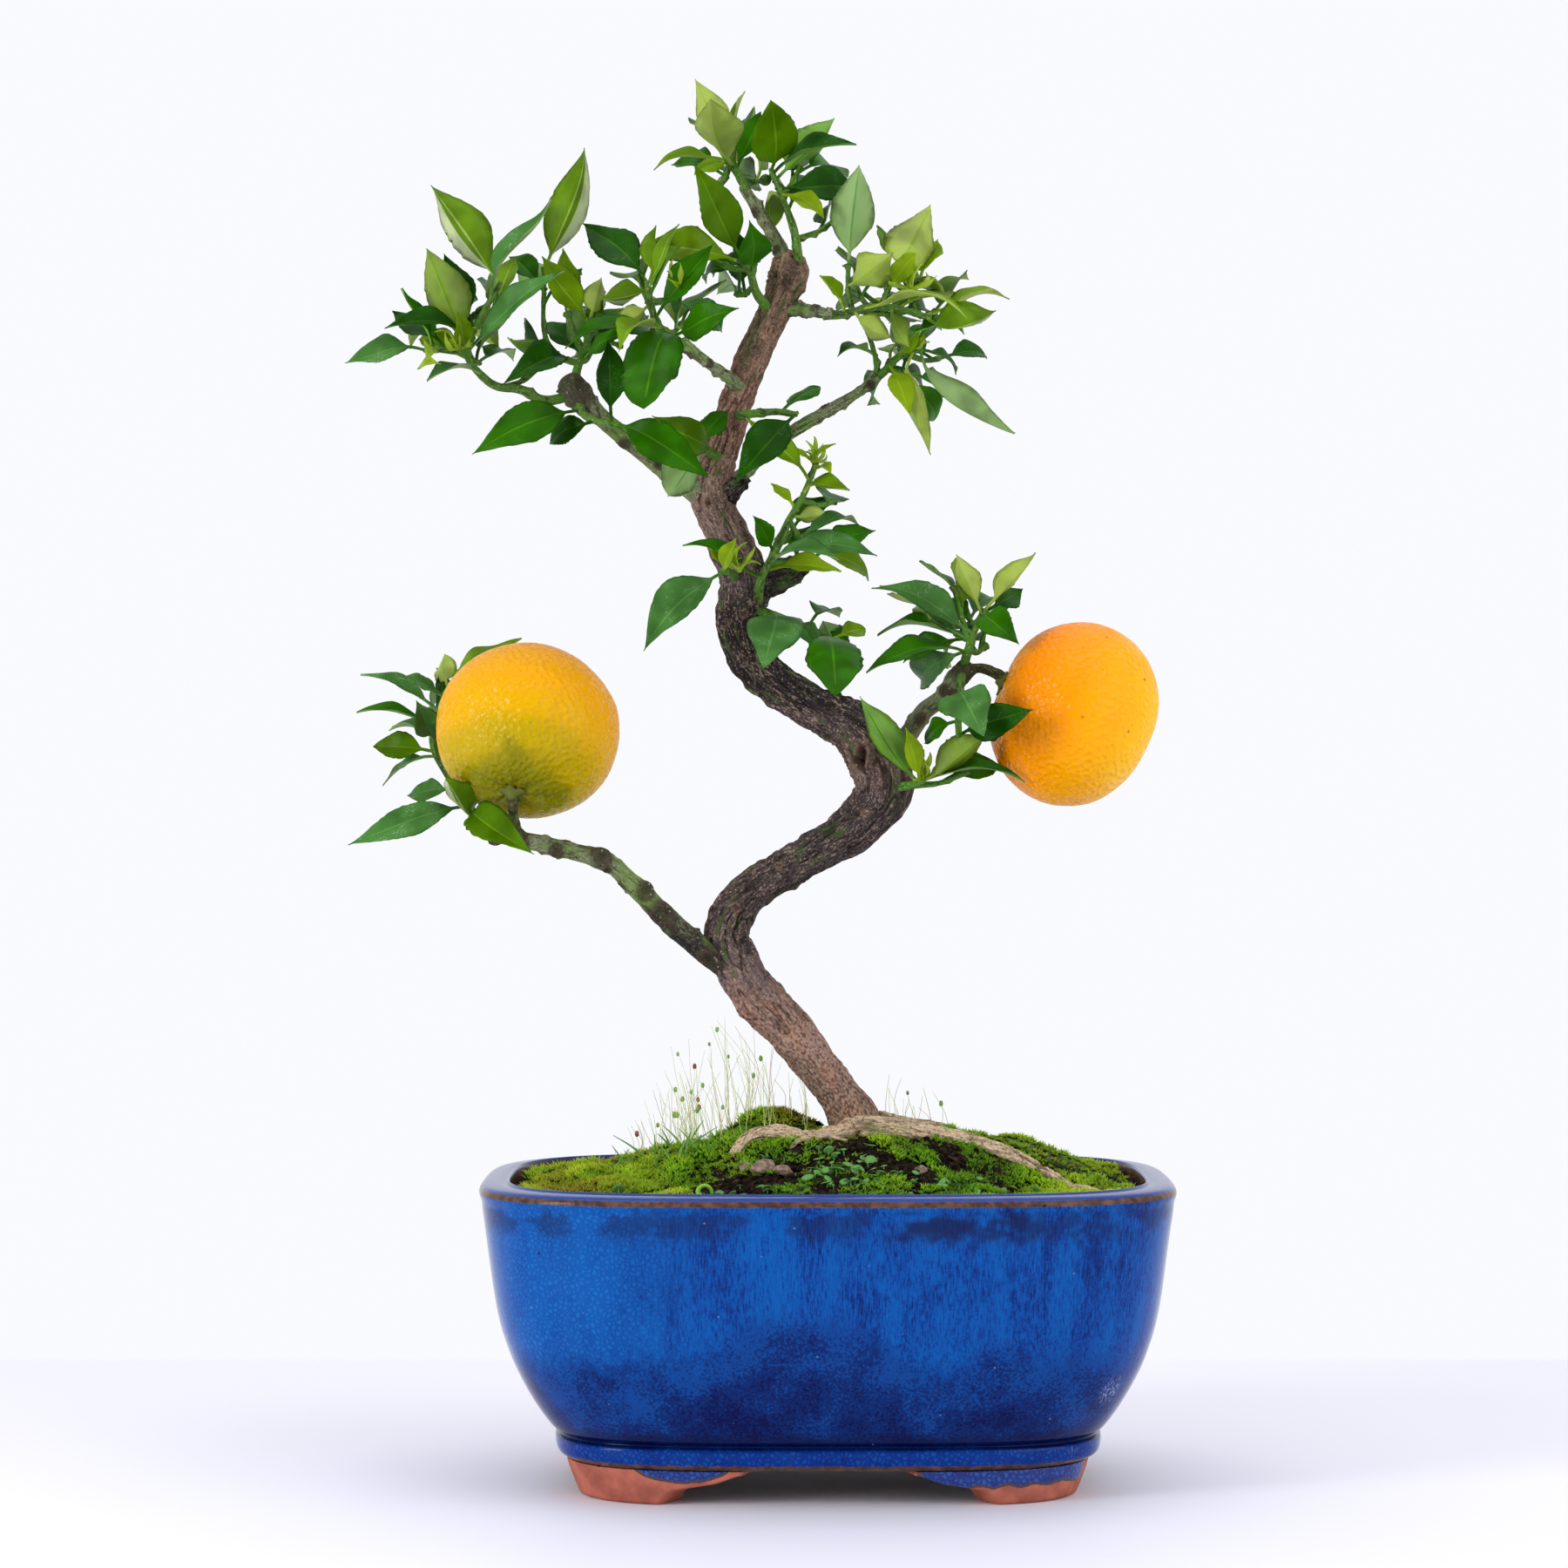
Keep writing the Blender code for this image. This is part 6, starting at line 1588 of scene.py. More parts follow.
class BONSAI_OT_stalks(bpy.types.Operator):
    """Raise the moss's spore stalks: thin bent threads with few drooping heads, grass blades and a curled sprout"""

    bl_idname = "bonsai.stalks"
    bl_label = "Moss stalks"

    def execute(self, context):
        rng = np.random.default_rng(19)
        shapes = []
        for number in range(context.scene.bonsai_ground.stalks):
            left = number % 8 != 0
            x = min(rng.normal(-33, 15), -6) if left else rng.normal(25, 6)
            foot = standing_on(x, rng.uniform(-6, 34))
            high = 33 * math.exp(-(((x + 28) / 26) ** 2)) * rng.uniform(0.3, 1.05) if left else rng.uniform(6, 17)
            lean, sag = rng.normal((-0.12, 0), 0.17) * high, rng.normal(0, 0.07, 2) * high
            top = foot + (*lean, high)
            middle = foot + (*(0.25 * lean + sag), 0.55 * high)
            path = smooth_path(with_radii([foot, middle, top], (0.11, 0.06)), 7)
            shapes.append(sweep(path, 3, slots=0 if rng.random() < 0.88 else 3))
            if rng.random() < 0.12:
                size = rng.uniform(0.4, 0.7)
                ways = ball_grid(6, 9) * (1, 0.5, 1.5) * (1 + 0.3 * ball_grid(6, 9)[..., 2:])
                hang = top + np.array((rng.uniform(-1, 1), 0, -1.0)) * size
                slot = 2 if rng.random() < 0.15 else 1
                poles = (hang + (0, 0, 1.95 * size), hang - (0, 0, 1.05 * size))
                shapes.append(closed_rings(hang + ways * size, slot, slot, middles=poles))
        for _ in range(26):
            foot = standing_on(rng.normal(-44, 8), rng.uniform(-20, 2))
            way = np.array((rng.normal(0, 0.6), rng.normal(0, 0.3), 1.0)) * rng.uniform(4, 9)
            path = smooth_path(with_radii([foot, foot + 0.5 * way, foot + way + (0, 0, -0.8)], (0.42, 0.1)), 5)
            shapes.append(sweep(path, 5, slots=4))
        turns = np.linspace(-0.4, 3.9, 14)
        curl = np.array(standing_on(-34.5, -50)) + (0, 0, 2.0)
        arc = np.column_stack([np.cos(turns), -0.25 * turns, np.sin(turns)]) * (2.3 - 0.25 * turns)[:, None]
        shapes.append(sweep(with_radii(curl + arc, (0.45, 0.75)), 10, slots=5))
        shades = ("#C8D68C", "#7FA548", "#8A4A34", "#C79A72", "#5C8C30", "#76AE24")
        names = ("moss_stalk", "spore_head", "ripe_spore_head", "red_stalk", "grass_blade", "curled_sprout")
        materials = [new_material(name, linear(shade), 0.55)[0] for name, shade in zip(names, shades)]
        make_piece("moss_stalks", joined(shapes), materials)
        return {"FINISHED"}


def bark_relief(crack_depth, grain, burrs=(), seed=7, knots=(), wound=None, calm=0.1):
    """Relief of bark: cracks where a stretched noise crosses its middle, shallow up to calm mm from the foot,
    finer noise, lumps, a dome at each burr, a ringed one at each knot, and a hollow with lips at the wound."""

    def relief(limb, surface):
        round_way, along = limb[..., :2], limb[..., 2:]
        wander = layered_noise(np.concatenate([round_way / 5, along / 12], axis=2), seed + 1, 2)
        wound_way = np.concatenate([(round_way + 0.9 * wander[..., None]) / grain, along / (grain * 6)], axis=2)
        ridge = 1 - np.abs(2 * lattice_noise(wound_way, seed) - 1)
        crack = np.clip((ridge - 0.74) / 0.2, 0, 1) * np.clip(0.75 + wander, 0, 1)
        crack = crack * np.clip(0.15 + 0.85 * along[..., 0] / calm, 0.15, 1)
        fine = layered_noise(np.concatenate([round_way / (0.5 * grain), along / (1.6 * grain)], axis=2), seed + 3, 2)
        lumps = layered_noise(limb / 7.0, seed + 6, 2)
        size = np.hypot(round_way[..., 0], round_way[..., 1])
        lift = crack_depth * (0.55 * fine - crack) + 0.08 * size * lumps
        knot = np.zeros(lift.shape)
        for middle, reach, height in burrs:
            away = np.linalg.norm(surface - np.array(middle), axis=2) / reach
            lift = lift + height * np.exp(-(away**2)) * (1 + 0.5 * fine)
        for middle, reach, height in knots:
            away = np.linalg.norm(surface - np.array(middle), axis=2) / reach
            near = np.exp(-(away**2))
            lift = lift + near * (height + 0.35 * np.cos(9 * away) - 0.8 * height * np.exp(-((away / 0.35) ** 2)))
            knot = np.maximum(knot, near)
        hollow = np.zeros(lift.shape)
        if wound is not None:
            middle, reach = np.array(wound[0]), np.array(wound[1])
            away = np.linalg.norm((surface - middle) / reach, axis=2)
            hollow = np.exp(-(away**2))
            rough = away + 0.3 * fine
            lift = lift + 1.5 * np.exp(-(((rough - 1.25) / 0.5) ** 2)) - 1.6 * np.exp(-((rough / 0.7) ** 4))
        values = {"crack": crack * (1 - knot), "knot": knot, "wound": hollow, "limb": limb}
        return lift, values

    return relief


def bud_scars(path, count, rng, reach=(0.9, 1.7), height=(0.5, 1.3)):
    """Burrs of chance at a limb's surface, where side shoots once stood."""
    found = []
    for _ in range(count):
        x, y, z, radius = path[rng.integers(len(path) // 8, len(path))]
        middle = np.array((x, y, z)) + radius * unit(rng.normal(0, 1, 3))
        found.append((tuple(middle), rng.uniform(*reach), rng.uniform(*height)))
    return found


class BONSAI_OT_trunk(bpy.types.Operator):
    """Grow the trunk from its roots to its tip, with bark in relief, burrs, the broken stubs and pale roots"""

    bl_idname = "bonsai.trunk"
    bl_label = "Trunk and roots"

    def execute(self, context):
        settings = context.scene.bonsai_bark
        depth = settings.crack_depth / MM
        steps = 24
        rng = np.random.default_rng(17)
        path = smooth_path(TRUNK, steps)
        burrs = TRUNK_BURRS + tuple(bud_scars(path, 46, rng))
        relief = bark_relief(depth, 1.5, burrs, knots=TRUNK_KNOTS, wound=TRUNK_WOUND, calm=75.0)
        trunk = sweep(domed(path), 128, relief, TRUNK_STEPS / steps, BARK_BUMPS)
        stubs = []
        for number, (rows, sides, scale) in enumerate(((STUB, 90, 0.16), (FORK_STUB, 56, 0.12))):
            laid = domed(smooth_path(rows, 18), 0.5)
            rough = bark_relief(1.6 * depth, 1.5, bud_scars(laid, 14, rng, (0.8, 1.6), (0.6, 1.6)), 11 + 2 * number)
            stub = sweep(laid, sides, rough, 1 / 18, scale)
            stub.quad_slots = np.ones(len(stub.quads), dtype=np.int64)
            stub.tri_slots = np.ones(len(stub.tris), dtype=np.int64)
            stubs.append(stub)
        tan = linear("#C2A78F")
        bark = bark_material("old_citrus_bark", BARK_TONES, tan, linear("#3F5426"), (0.54, 0.61), speckled=140.0)
        dead = bark_material("dead_wood", ((0.0, linear("#2F2A27")),), linear("#8C8474"), linear("#47612E"), (0.46, 0.54))
        make_piece("trunk_bark", joined([trunk, *stubs]), [bark, dead], ["trunk"])
        root_bark = bark_material(
            "weathered_root", ((0.0, linear("#C2A88A")),), linear("#F4E6D2"), linear("#86904E"), (0.6, 0.7)
        )
        roots = []
        for number, rows in enumerate(ROOTS):
            laid = smooth_path(root_path(rows), 18)
            roots.append(sweep(domed(laid), 56, bark_relief(0.8 * depth, 1.3, seed=23 + number), 1 / 18, 0.09))
        for rows in rootlets():
            roots.append(sweep(smooth_path(rows, 6), 10, bark_relief(0.2, 1.0, seed=31)))
        make_piece("surface_roots", joined(roots), [root_bark])
        return {"FINISHED"}


def rootlets():
    """Thin roots that leave the big ones: from a place on a root, out sideways and down into the soil."""
    rng = np.random.default_rng(9)
    found = []
    for rows in ROOTS:
        path = smooth_path(root_path(rows), 2)
        for _ in range(5):
            x, y, z, radius = path[rng.integers(3, len(path) - 1)]
            turn = rng.uniform(0, 2 * math.pi)
            out = np.array((math.cos(turn), math.sin(turn)))
            start = np.array((x, y, z - 0.3 * radius))
            far = start[:2] + out * rng.uniform(7, 15)
            near = (start[:2] + far) / 2 + rng.normal(0, 1.2, 2)
            found.append([
                (*start, 0.9), (*near, float(soil_height(*near)) + 0.9, 0.7), (*far, float(soil_height(*far)) - 0.6, 0.4),
            ])
    return found


class BONSAI_OT_boughs(bpy.types.Operator):
    """Grow the seven boughs with young bark, a bud scar where each side shoot once stood"""

    bl_idname = "bonsai.boughs"
    bl_label = "Boughs"

    def execute(self, context):
        rng = np.random.default_rng(29)
        shapes = []
        for number, (name, rows) in enumerate(BOUGHS.items()):
            path = smooth_path(rows, 20) - (0, 0, 0, BARK_ROOM)
            scars = bud_scars(path, 3 * len(rows), rng, (0.7, 1.3), (0.4, 1.1))
            knots = bud_scars(path, 5, rng, (1.2, 2.0), (0.2, 0.7))
            knots += BOUGH_SCABS.get(name, ())
            relief = bark_relief(0.16, 0.8, scars, 41 + number, knots)
            shapes.append(sweep(domed(path), 64, relief, BOUGH_STEPS / 20, BARK_BUMPS))
        # Dark at the foot of the lowest bough, and grey-green on the others
        tones = ((150.0, linear("#332F2E")), (160.0, linear("#57523F")), (166.0, linear("#7C8360")))
        bark = bark_material(
            "young_citrus_bark", tones, linear("#B8BCA0"), linear("#6F9440"), (0.45, 0.56), 0.75, "#4A3A32"
        )
        make_piece("bough_bark", joined(shapes), [bark], list(BOUGHS))
        return {"FINISHED"}


# The dimple opposite the stalk, shallower than the solid's
FAR_DIMPLE = 0.03


def peel_shape(centre, stalk_way, half_length, half_width, settings, seed):
    """A flattened ball with dimpled poles, furrowed at the stalk, and a dimple at each oil gland.

    Glands lie on a golden-angle spiral; each sinks the peel by depth x exp(-(distance/reach)^2)."""
    axis = unit(np.array(stalk_way, dtype=float))
    first = unit(np.cross(axis, (0.2, 0.3, 0.9)))
    second = np.cross(axis, first)
    ways = ball_grid(150, 288)
    along, round_way = ways[..., 2], np.hypot(ways[..., 0], ways[..., 1])
    turn = np.arctan2(ways[..., 1], ways[..., 0])
    dimple = np.where(along > 0, FRUIT_DIMPLE, FAR_DIMPLE)
    sink = 1 - dimple * np.exp(-((round_way / 0.35) ** 2))
    furrow = 0.012 * np.cos(9 * turn) * np.exp(-((round_way / 0.4) ** 2)) * (along > 0)
    lumps = 1 + 0.012 * layered_noise(ways * 1.8, seed, 2) + furrow
    number = np.arange(settings.glands) + 0.5
    height = 1 - 2 * number / settings.glands
    spiral = number * GOLDEN_ANGLE * 1.0000021
    glands = np.column_stack([np.sqrt(1 - height**2) * np.cos(spiral), np.sqrt(1 - height**2) * np.sin(spiral), height])
    jitter = np.random.default_rng(seed).normal(0, 0.012, glands.shape)
    glands += jitter
    near = np.empty(ways.shape[:2])
    for row in range(len(ways)):
        near[row] = np.linalg.norm(ways[row][:, None] - glands, axis=2).min(axis=1)
    dimples = settings.gland_depth / MM * np.exp(-((near / 0.026) ** 2))
    reach = lumps - dimples[..., None][..., 0] / half_width
    points = (
        np.array(centre, dtype=float)
        + (sink * along * half_length * reach)[..., None] * axis
        + (ways[..., 0] * half_width * reach)[..., None] * first
        + (ways[..., 1] * half_width * reach)[..., None] * second
    )
    poles = (centre + (1 - FRUIT_DIMPLE) * half_length * axis, centre - (1 - FAR_DIMPLE) * half_length * axis)
    return closed_rings(points, middles=poles)


def calyx_shape(centre, stalk_way, half_length):
    """The green star under the fruit: rings whose reach swells in five lobes, laid in the stalk's dimple."""
    axis = unit(np.array(stalk_way, dtype=float))
    first = unit(np.cross(axis, (0.2, 0.3, 0.9)))
    second = np.cross(axis, first)
    turns = np.linspace(0, 2 * math.pi, 60, endpoint=False)
    foot = np.array(centre) + axis * half_length * (1 - FRUIT_DIMPLE)
    rings = []
    for reach, rise in ((0.8, 2.6), (1.5, 1.3), (2.4, 0.8), (3.3, 0.9), (3.1, 0.3), (2.1, -0.6), (0.7, -0.8)):
        lobes = 1 + (0.22 * np.cos(5 * turns) + 0.08 * np.cos(3 * turns + 1) if reach > 2 else 0.0)
        out = np.cos(turns)[:, None] * first + np.sin(turns)[:, None] * second
        rings.append(foot + axis * rise + out * (reach * lobes)[:, None] if reach > 2 else foot + axis * rise + out * reach)
    return closed_rings(np.stack(rings))


class BONSAI_OT_fruit(bpy.types.Operator):
    """Hang the two fruits, with their pored peel, green calyx and stalk"""

    bl_idname = "bonsai.fruit"
    bl_label = "Fruit"

    def execute(self, context):
        settings = context.scene.bonsai_fruit
        # Peel colour from the far end to the stalk end, partly ripeness and partly painted light: the left fruit's near
        # black olive at its lower stalk end is in part painted shade on its underside, and the right fruit's paler
        # yellow at its right end is in part painted light from the right.
        ripeness_and_painted_light = {
            "fruit_left": (
                (0.0, linear("#E09000")), (0.46, linear("#E29E00")), (0.66, linear("#D8A200")),
                (0.8, linear("#B69A00")), (0.9, linear("#7C7800")), (1.0, linear("#343E00")),
            ),
            "fruit_right": (
                (0.0, linear("#F8BC00")), (0.35, linear("#F6A600")), (0.6, linear("#F29200")),
                (0.82, linear("#E88400")), (1.0, linear("#B87C00")),
            ),
        }
        calyx = new_material("calyx", linear("#5C6426"), 0.7, Specular_IOR_Level=0.2)[0]
        bark = bark_material(
            "stalk_bark", ((0.0, linear("#4C4A2C")),), linear("#8C9A58"), linear("#56701E"), (0.42, 0.55), 0.8
        )
        stalks = []
        for number, (name, (centre, stalk_way, half_length, half_width, stalk)) in enumerate(FRUITS.items()):
            shape = peel_shape(centre, stalk_way, half_length, half_width, settings, 5 + number)
            peel = citrus_peel(f"chinotto_peel_{name[6:]}", settings.ripe, ripeness_and_painted_light[name], centre, stalk_way, 0.22)
            make_piece(f"ripe_{name}", shape, [peel], [name])
            stalks.append(calyx_shape(centre, stalk_way, half_length))
            path = smooth_path(stalk, 10) * (1, 1, 1, 0.7)
            stalks.append(sweep(path, 24, bark_relief(0.3, 0.8, seed=61 + number), slots=1))
        make_piece("fruit_stalks", joined(stalks), [calyx, bark])
        return {"FINISHED"}


# Leaf tones, a capital where the leaf shows its lower side: piece's name, upper side, lower side, midrib, the light that comes through and its share, flecks
TONES = {
    "d": ("deep", "#194800", "#527A22", "#33600C", "#3C8A02", 0.12, 0.1),
    "r": ("rich", "#2A6200", "#62902A", "#437A0C", "#5CAA02", 0.16, 0.05),
    "b": ("blue", "#457634", "#7F9F5C", "#5A8C44", "#62A830", 0.18, 0.45),
    "o": ("olive", "#4A7000", "#7A962E", "#668C14", "#86B008", 0.26, 0.1),
    # On these leaves the pale lower colour is a painted sheen, and the half that points up takes the upper side's green
    # as painted light shining through.
    "h": ("painted_light_halves", "#5F8412", "#B4C28E", "#90A858", "#8CB414", 0.2, 0.0),
    "y": ("pale", "#6C900A", "#A2B64C", "#92AE40", "#98BE14", 0.3, 0.0),
    "f": ("young", "#8AA61A", "#A6BE3A", "#A6C038", "#C0DC20", 0.36, 0.0),
}
UPPER_COLUMNS = np.array((-1, -0.82, -0.62, -0.42, -0.2, -0.045, 0, 0.045, 0.2, 0.42, 0.62, 0.82, 1))
LOWER_COLUMNS = np.array((0.66, 0.33, 0.05, -0.05, -0.33, -0.66))
LEAF_ROWS = 38
PETIOLE = 4.6
PETIOLE_RADIUS = 0.5
LEAF_POINT = 0.12
VEIN_PAIRS = 8
VEIN_RELIEF = 0.07
# Width to length from which a leaf is blunt, and how much more makes it wholly so
ROUND_RATIO = (0.36, 0.14)
# Leaves of their own form, by tip: the widest place along the blade, and how blunt they are
LEAF_FORMS = {(-18, -36, 230): (0.25, 0.85), (2, -46, 222): (0.55, 1.0), (-51, -50, 301): (0.5, 1.5)}


def leaf_meshes(leaves, thickness_mm, rng):
    """Leaves as closed blades, all at once: [leaf, row, column, xyz].

    A row lies at u along the axis, lifted by the arch 4u(1-u); s counts from the end of the leaf's
    stalk, and the widest place is at m. The half-width is W sin(pi s / 2m)^p before m and
    W cos(pi (s-m) / 2(1-m))^q after it, with p and q smaller on a blunt leaf. Across it the blade
    folds up from the midrib by fold x |v|, waves and is notched at its edge, and its side veins are a
    sine of (s - 0.28|v|). The lower side is the same sheet, one thickness down in the middle."""
    frames = [leaf_frame(*leaf[:2], leaf[3]) for leaf in leaves]
    base = np.array([leaf[0] for leaf in leaves])[:, None, None]
    length = np.array([found[0] for found in frames])[:, None, None]
    axis = np.array([found[1] for found in frames])[:, None, None]
    upper = np.array([found[2] for found in frames])[:, None, None]
    across = np.array([found[3] for found in frames])[:, None, None]
    width = np.array([leaf[2] for leaf in leaves])[:, None, None]
    arch = np.array([leaf[4] if len(leaf) > 4 else leaf_arch(found[1]) for found, leaf in zip(frames, leaves)])
    arch = (arch * np.array([1 if leaf[3] < 90 else -1 for leaf in leaves]))[:, None, None]
    chance = rng.uniform(-1, 1, (8, len(leaves), 1, 1))
    place = np.linspace(0, 1, LEAF_ROWS)
    u = (0.175 * (1 - np.cos(math.pi * place)) + 0.65 * place)[None, :, None]
    petiole = np.clip(PETIOLE / length, 0.07, 0.2)
    s = np.clip((u - petiole) / (1 - petiole), 0, 1)
    blunt = np.clip((width / length - ROUND_RATIO[0]) / ROUND_RATIO[1], 0, 1)
    widest = 0.41 + 0.05 * chance[0]
    for number, leaf in enumerate(leaves):
        form = LEAF_FORMS.get(tuple(round(float(value)) for value in leaf[1]))
        if form:
            widest[number], blunt[number] = form
    towards_base = np.sin(math.pi / 2 * np.clip(s / widest, 0, 1)) ** (1.0 - 0.4 * blunt)
    towards_tip = np.cos(math.pi / 2 * np.clip((s - widest) / (1 - widest), 0, 1)) ** (1.3 - 0.65 * blunt)
    outline = np.where(s < widest, towards_base, towards_tip)
    half = np.maximum(width / 2 * outline * 1.08, np.maximum(PETIOLE_RADIUS * (1 - s) ** 0.6, LEAF_POINT))
    v = np.concatenate([UPPER_COLUMNS, LOWER_COLUMNS])[None, None]
    notches = rng.normal(0, 0.022, (len(leaves), LEAF_ROWS, 2))
    spread = v * (1 + 0.09 * chance[1] * np.sign(v) + np.where(v < 0, notches[..., :1], notches[..., 1:]) * v**2)
    blade = np.clip(s / 0.12, 0, 1)
    below_side = np.concatenate([np.zeros(len(UPPER_COLUMNS)), np.ones(len(LOWER_COLUMNS))])[None, None]
    shown_below = np.array([leaf[3] > 90 for leaf in leaves])[:, None, None]
    fold = (LEAF_FOLD + 0.1 + 0.5 * shown_below + 0.16 * chance[2]) * half * (np.sqrt(v**2 + 0.012) - 0.11)
    wave = 0.05 * width * (0.4 + 0.6 * np.abs(chance[3])) * np.sin(2 * math.pi * (2.2 * s + chance[4])) * v**2
    veins = VEIN_RELIEF * np.sin(2 * math.pi * VEIN_PAIRS * (s - 0.28 * np.abs(v))) * np.abs(v) ** 0.5
    veins = veins * (1 - v**4) * np.clip(half / 3, 0, 1)
    groove = -0.12 * np.exp(-((v / 0.06) ** 2)) * (1 - below_side)
    keel = -0.28 * np.exp(-((v / 0.08) ** 2)) * below_side * (1 - s)
    sheet = thickness_mm * (0.35 + 0.65 * (1 - np.abs(v))) * below_side
    rounded = PETIOLE_RADIUS * np.sqrt(np.clip(1 - v**2, 0, 1)) * (1 - 2 * below_side)
    cup = -0.5 * blunt * half * v**2 * np.sin(math.pi * s)
    lift = blade * (fold + wave + veins + groove + keel + cup - sheet) + (1 - blade) * rounded
    lift = lift + 0.35 * chance[5] * (s - 0.3) * v * half
    bow = arch * length * 4 * u * (1 - u)
    bow = bow + 0.05 * length * chance[6] * np.sin(2 * math.pi * u) * (1 - blunt)
    bend = 0.035 * chance[7] * length * np.sin(math.pi * u)
    return (
        base
        + axis * (length * u - LEAF_ROOT * (u == 0))[..., None]
        + upper * (bow + lift)[..., None]
        + across * (spread * half + bend)[..., None]
    )


def leaf_faces(count, halves=None):
    """Quads round each blade and a fan at each end, with slot 0 above, 1 below and 2 on the midrib. Where halves says
    which half points up, that half of the lower side is in slot 0 too, the upper side's green, as painted light shining
    through it."""
    columns = len(UPPER_COLUMNS) + len(LOWER_COLUMNS)
    quads = grid_quads(LEAF_ROWS, columns)
    column = np.tile(np.arange(columns), LEAF_ROWS - 1)
    row = np.repeat(np.arange(LEAF_ROWS - 1), columns)
    slots = np.where(column < len(UPPER_COLUMNS) - 1, 0, 1)
    rib = np.isin(column, (5, 6, 15)) & (row < 0.86 * LEAF_ROWS)
    stalk = row < 4
    slots = np.where(rib | stalk, 2, slots)
    size = LEAF_ROWS * columns
    starts = size * np.arange(count)[:, None, None]
    last = (LEAF_ROWS - 1) * columns
    side = np.arange(1, columns - 1)
    caps = np.concatenate([
        np.stack([np.zeros_like(side), side + 1, side], axis=-1),
        np.stack([np.full_like(side, last), last + side, last + side + 1], axis=-1),
    ])
    slots = np.tile(slots, (count, 1))
    if halves is not None:
        for number, first in enumerate(halves):
            slots[number, np.isin(column, (12, 13, 14, 16) if first else (14, 16, 17, 18)) & ~stalk] = 0
    return (
        (starts + quads).reshape(-1, 4), slots.ravel(),
        (starts + caps).reshape(-1, 3), np.tile(np.repeat((2, 0), columns - 2), count),
    )


def shoot_leaves():
    """The young shoots' small leaves: from one foot, up and out by the golden angle, narrow and curled."""
    rng = random.Random(3)
    found = []
    for middle in SHOOTS:
        for number in range(SHOOT_LEAVES):
            turn = number * GOLDEN_ANGLE
            lean = rng.uniform(0.25, 1.35)
            way = np.array((math.cos(turn) * math.sin(lean), math.sin(turn) * math.sin(lean), math.cos(lean)))
            base = np.array(middle, dtype=float) + way * 0.4
            length = rng.uniform(*SHOOT_LENGTHS)
            found.append((base, base + way * length, 0.22 * length, rng.uniform(0, 170), rng.uniform(0.08, 0.34)))
    return found


class BONSAI_OT_crown(bpy.types.Operator):
    """Grow the stems, twigs and leaves of every mass by the seeded rule, and join them by kind and tone"""

    bl_idname = "bonsai.crown"
    bl_label = "Twigs and leaves"

    def execute(self, context):
        settings = context.scene.bonsai_leaf
        growths = grow_crown()
        girth = context.scene.bonsai_bark.twig_girth
        rng = np.random.default_rng(37)
        wood = []
        by_tone = {tone: [] for tone in TONES}
        for number, growth in enumerate(growths.values()):
            for rows, steps, sides in [(stem, 8, 20) for stem in growth.stems] + [(twig, 6, 12) for twig in growth.twigs]:
                path = domed(smooth_path(rows, steps) * (1, 1, 1, girth))
                scars = bud_scars(path, len(rows), rng, (0.6, 1.1), (0.4, 0.9))
                wood.append(sweep(path, sides, bark_relief(0.12, 0.9, scars, 71 + number)))
            choice = random.Random(growth.mass["seed"] + 500)
            for place, leaf in enumerate(growth.leaves):
                outer = growth.mass["tones"]
                tone = outer[place] if place < len(outer) else choice.choice(SEEDED_TONES)
                if tone.isupper():
                    leaf = (*leaf[:3], 180 - leaf[3])
                by_tone[tone.lower()].append(leaf)
        by_tone["f"] += shoot_leaves()
        green_wood = bark_material(
            "green_twig", ((0.0, linear("#557A30")),), linear("#A3B877"), linear("#4A8420"), (0.4, 0.58), 0.45
        )
        make_piece("green_twigs", joined(wood), [green_wood], list(MASSES))
        for number, (tone, leaves) in enumerate(by_tone.items()):
            name, *shades, share, dusty = TONES[tone]
            top, under, rib, glow = (linear(shade) for shade in shades)
            materials = [
                leaf_material(f"leaf_{name}_upper", top, settings.gloss, glow, share, dusty),
                leaf_material(f"leaf_{name}_lower", under, 0.5, glow, share, specular=0.35),
                leaf_material(f"leaf_{name}_midrib", rib, 0.45, glow, share),
            ]
            points = leaf_meshes(leaves, settings.thickness / MM, np.random.default_rng(number + 90))
            # Painted light: on these leaves, the half that points up is coloured as lit through from behind.
            halves = [leaf_frame(*leaf[:2], leaf[3])[3][2] > 0 for leaf in leaves] if tone == "h" else None
            quads, quad_slots, tris, tri_slots = leaf_faces(len(leaves), halves)
            shape = Shape(points.reshape(-1, 3), quads, quad_slots, tris, tri_slots).turned_out()
            make_piece(f"leaves_{name}", shape, materials)
        return {"FINISHED"}


# Stage


def aimed_light(name, place, target, size, power, colour=(1, 1, 1)):
    """A rectangular soft box that faces the target."""
    data = bpy.data.lights.new(name, "AREA")
    data.shape = "RECTANGLE"
    data.size, data.size_y = size
    data.energy = power
    data.color = colour
    light = bpy.data.objects.new(name, data)
    light.location = place
    light.rotation_euler = (Vector(target) - Vector(place)).to_track_quat("-Z", "Y").to_euler()
    bpy.context.scene.collection.objects.link(light)
    return light


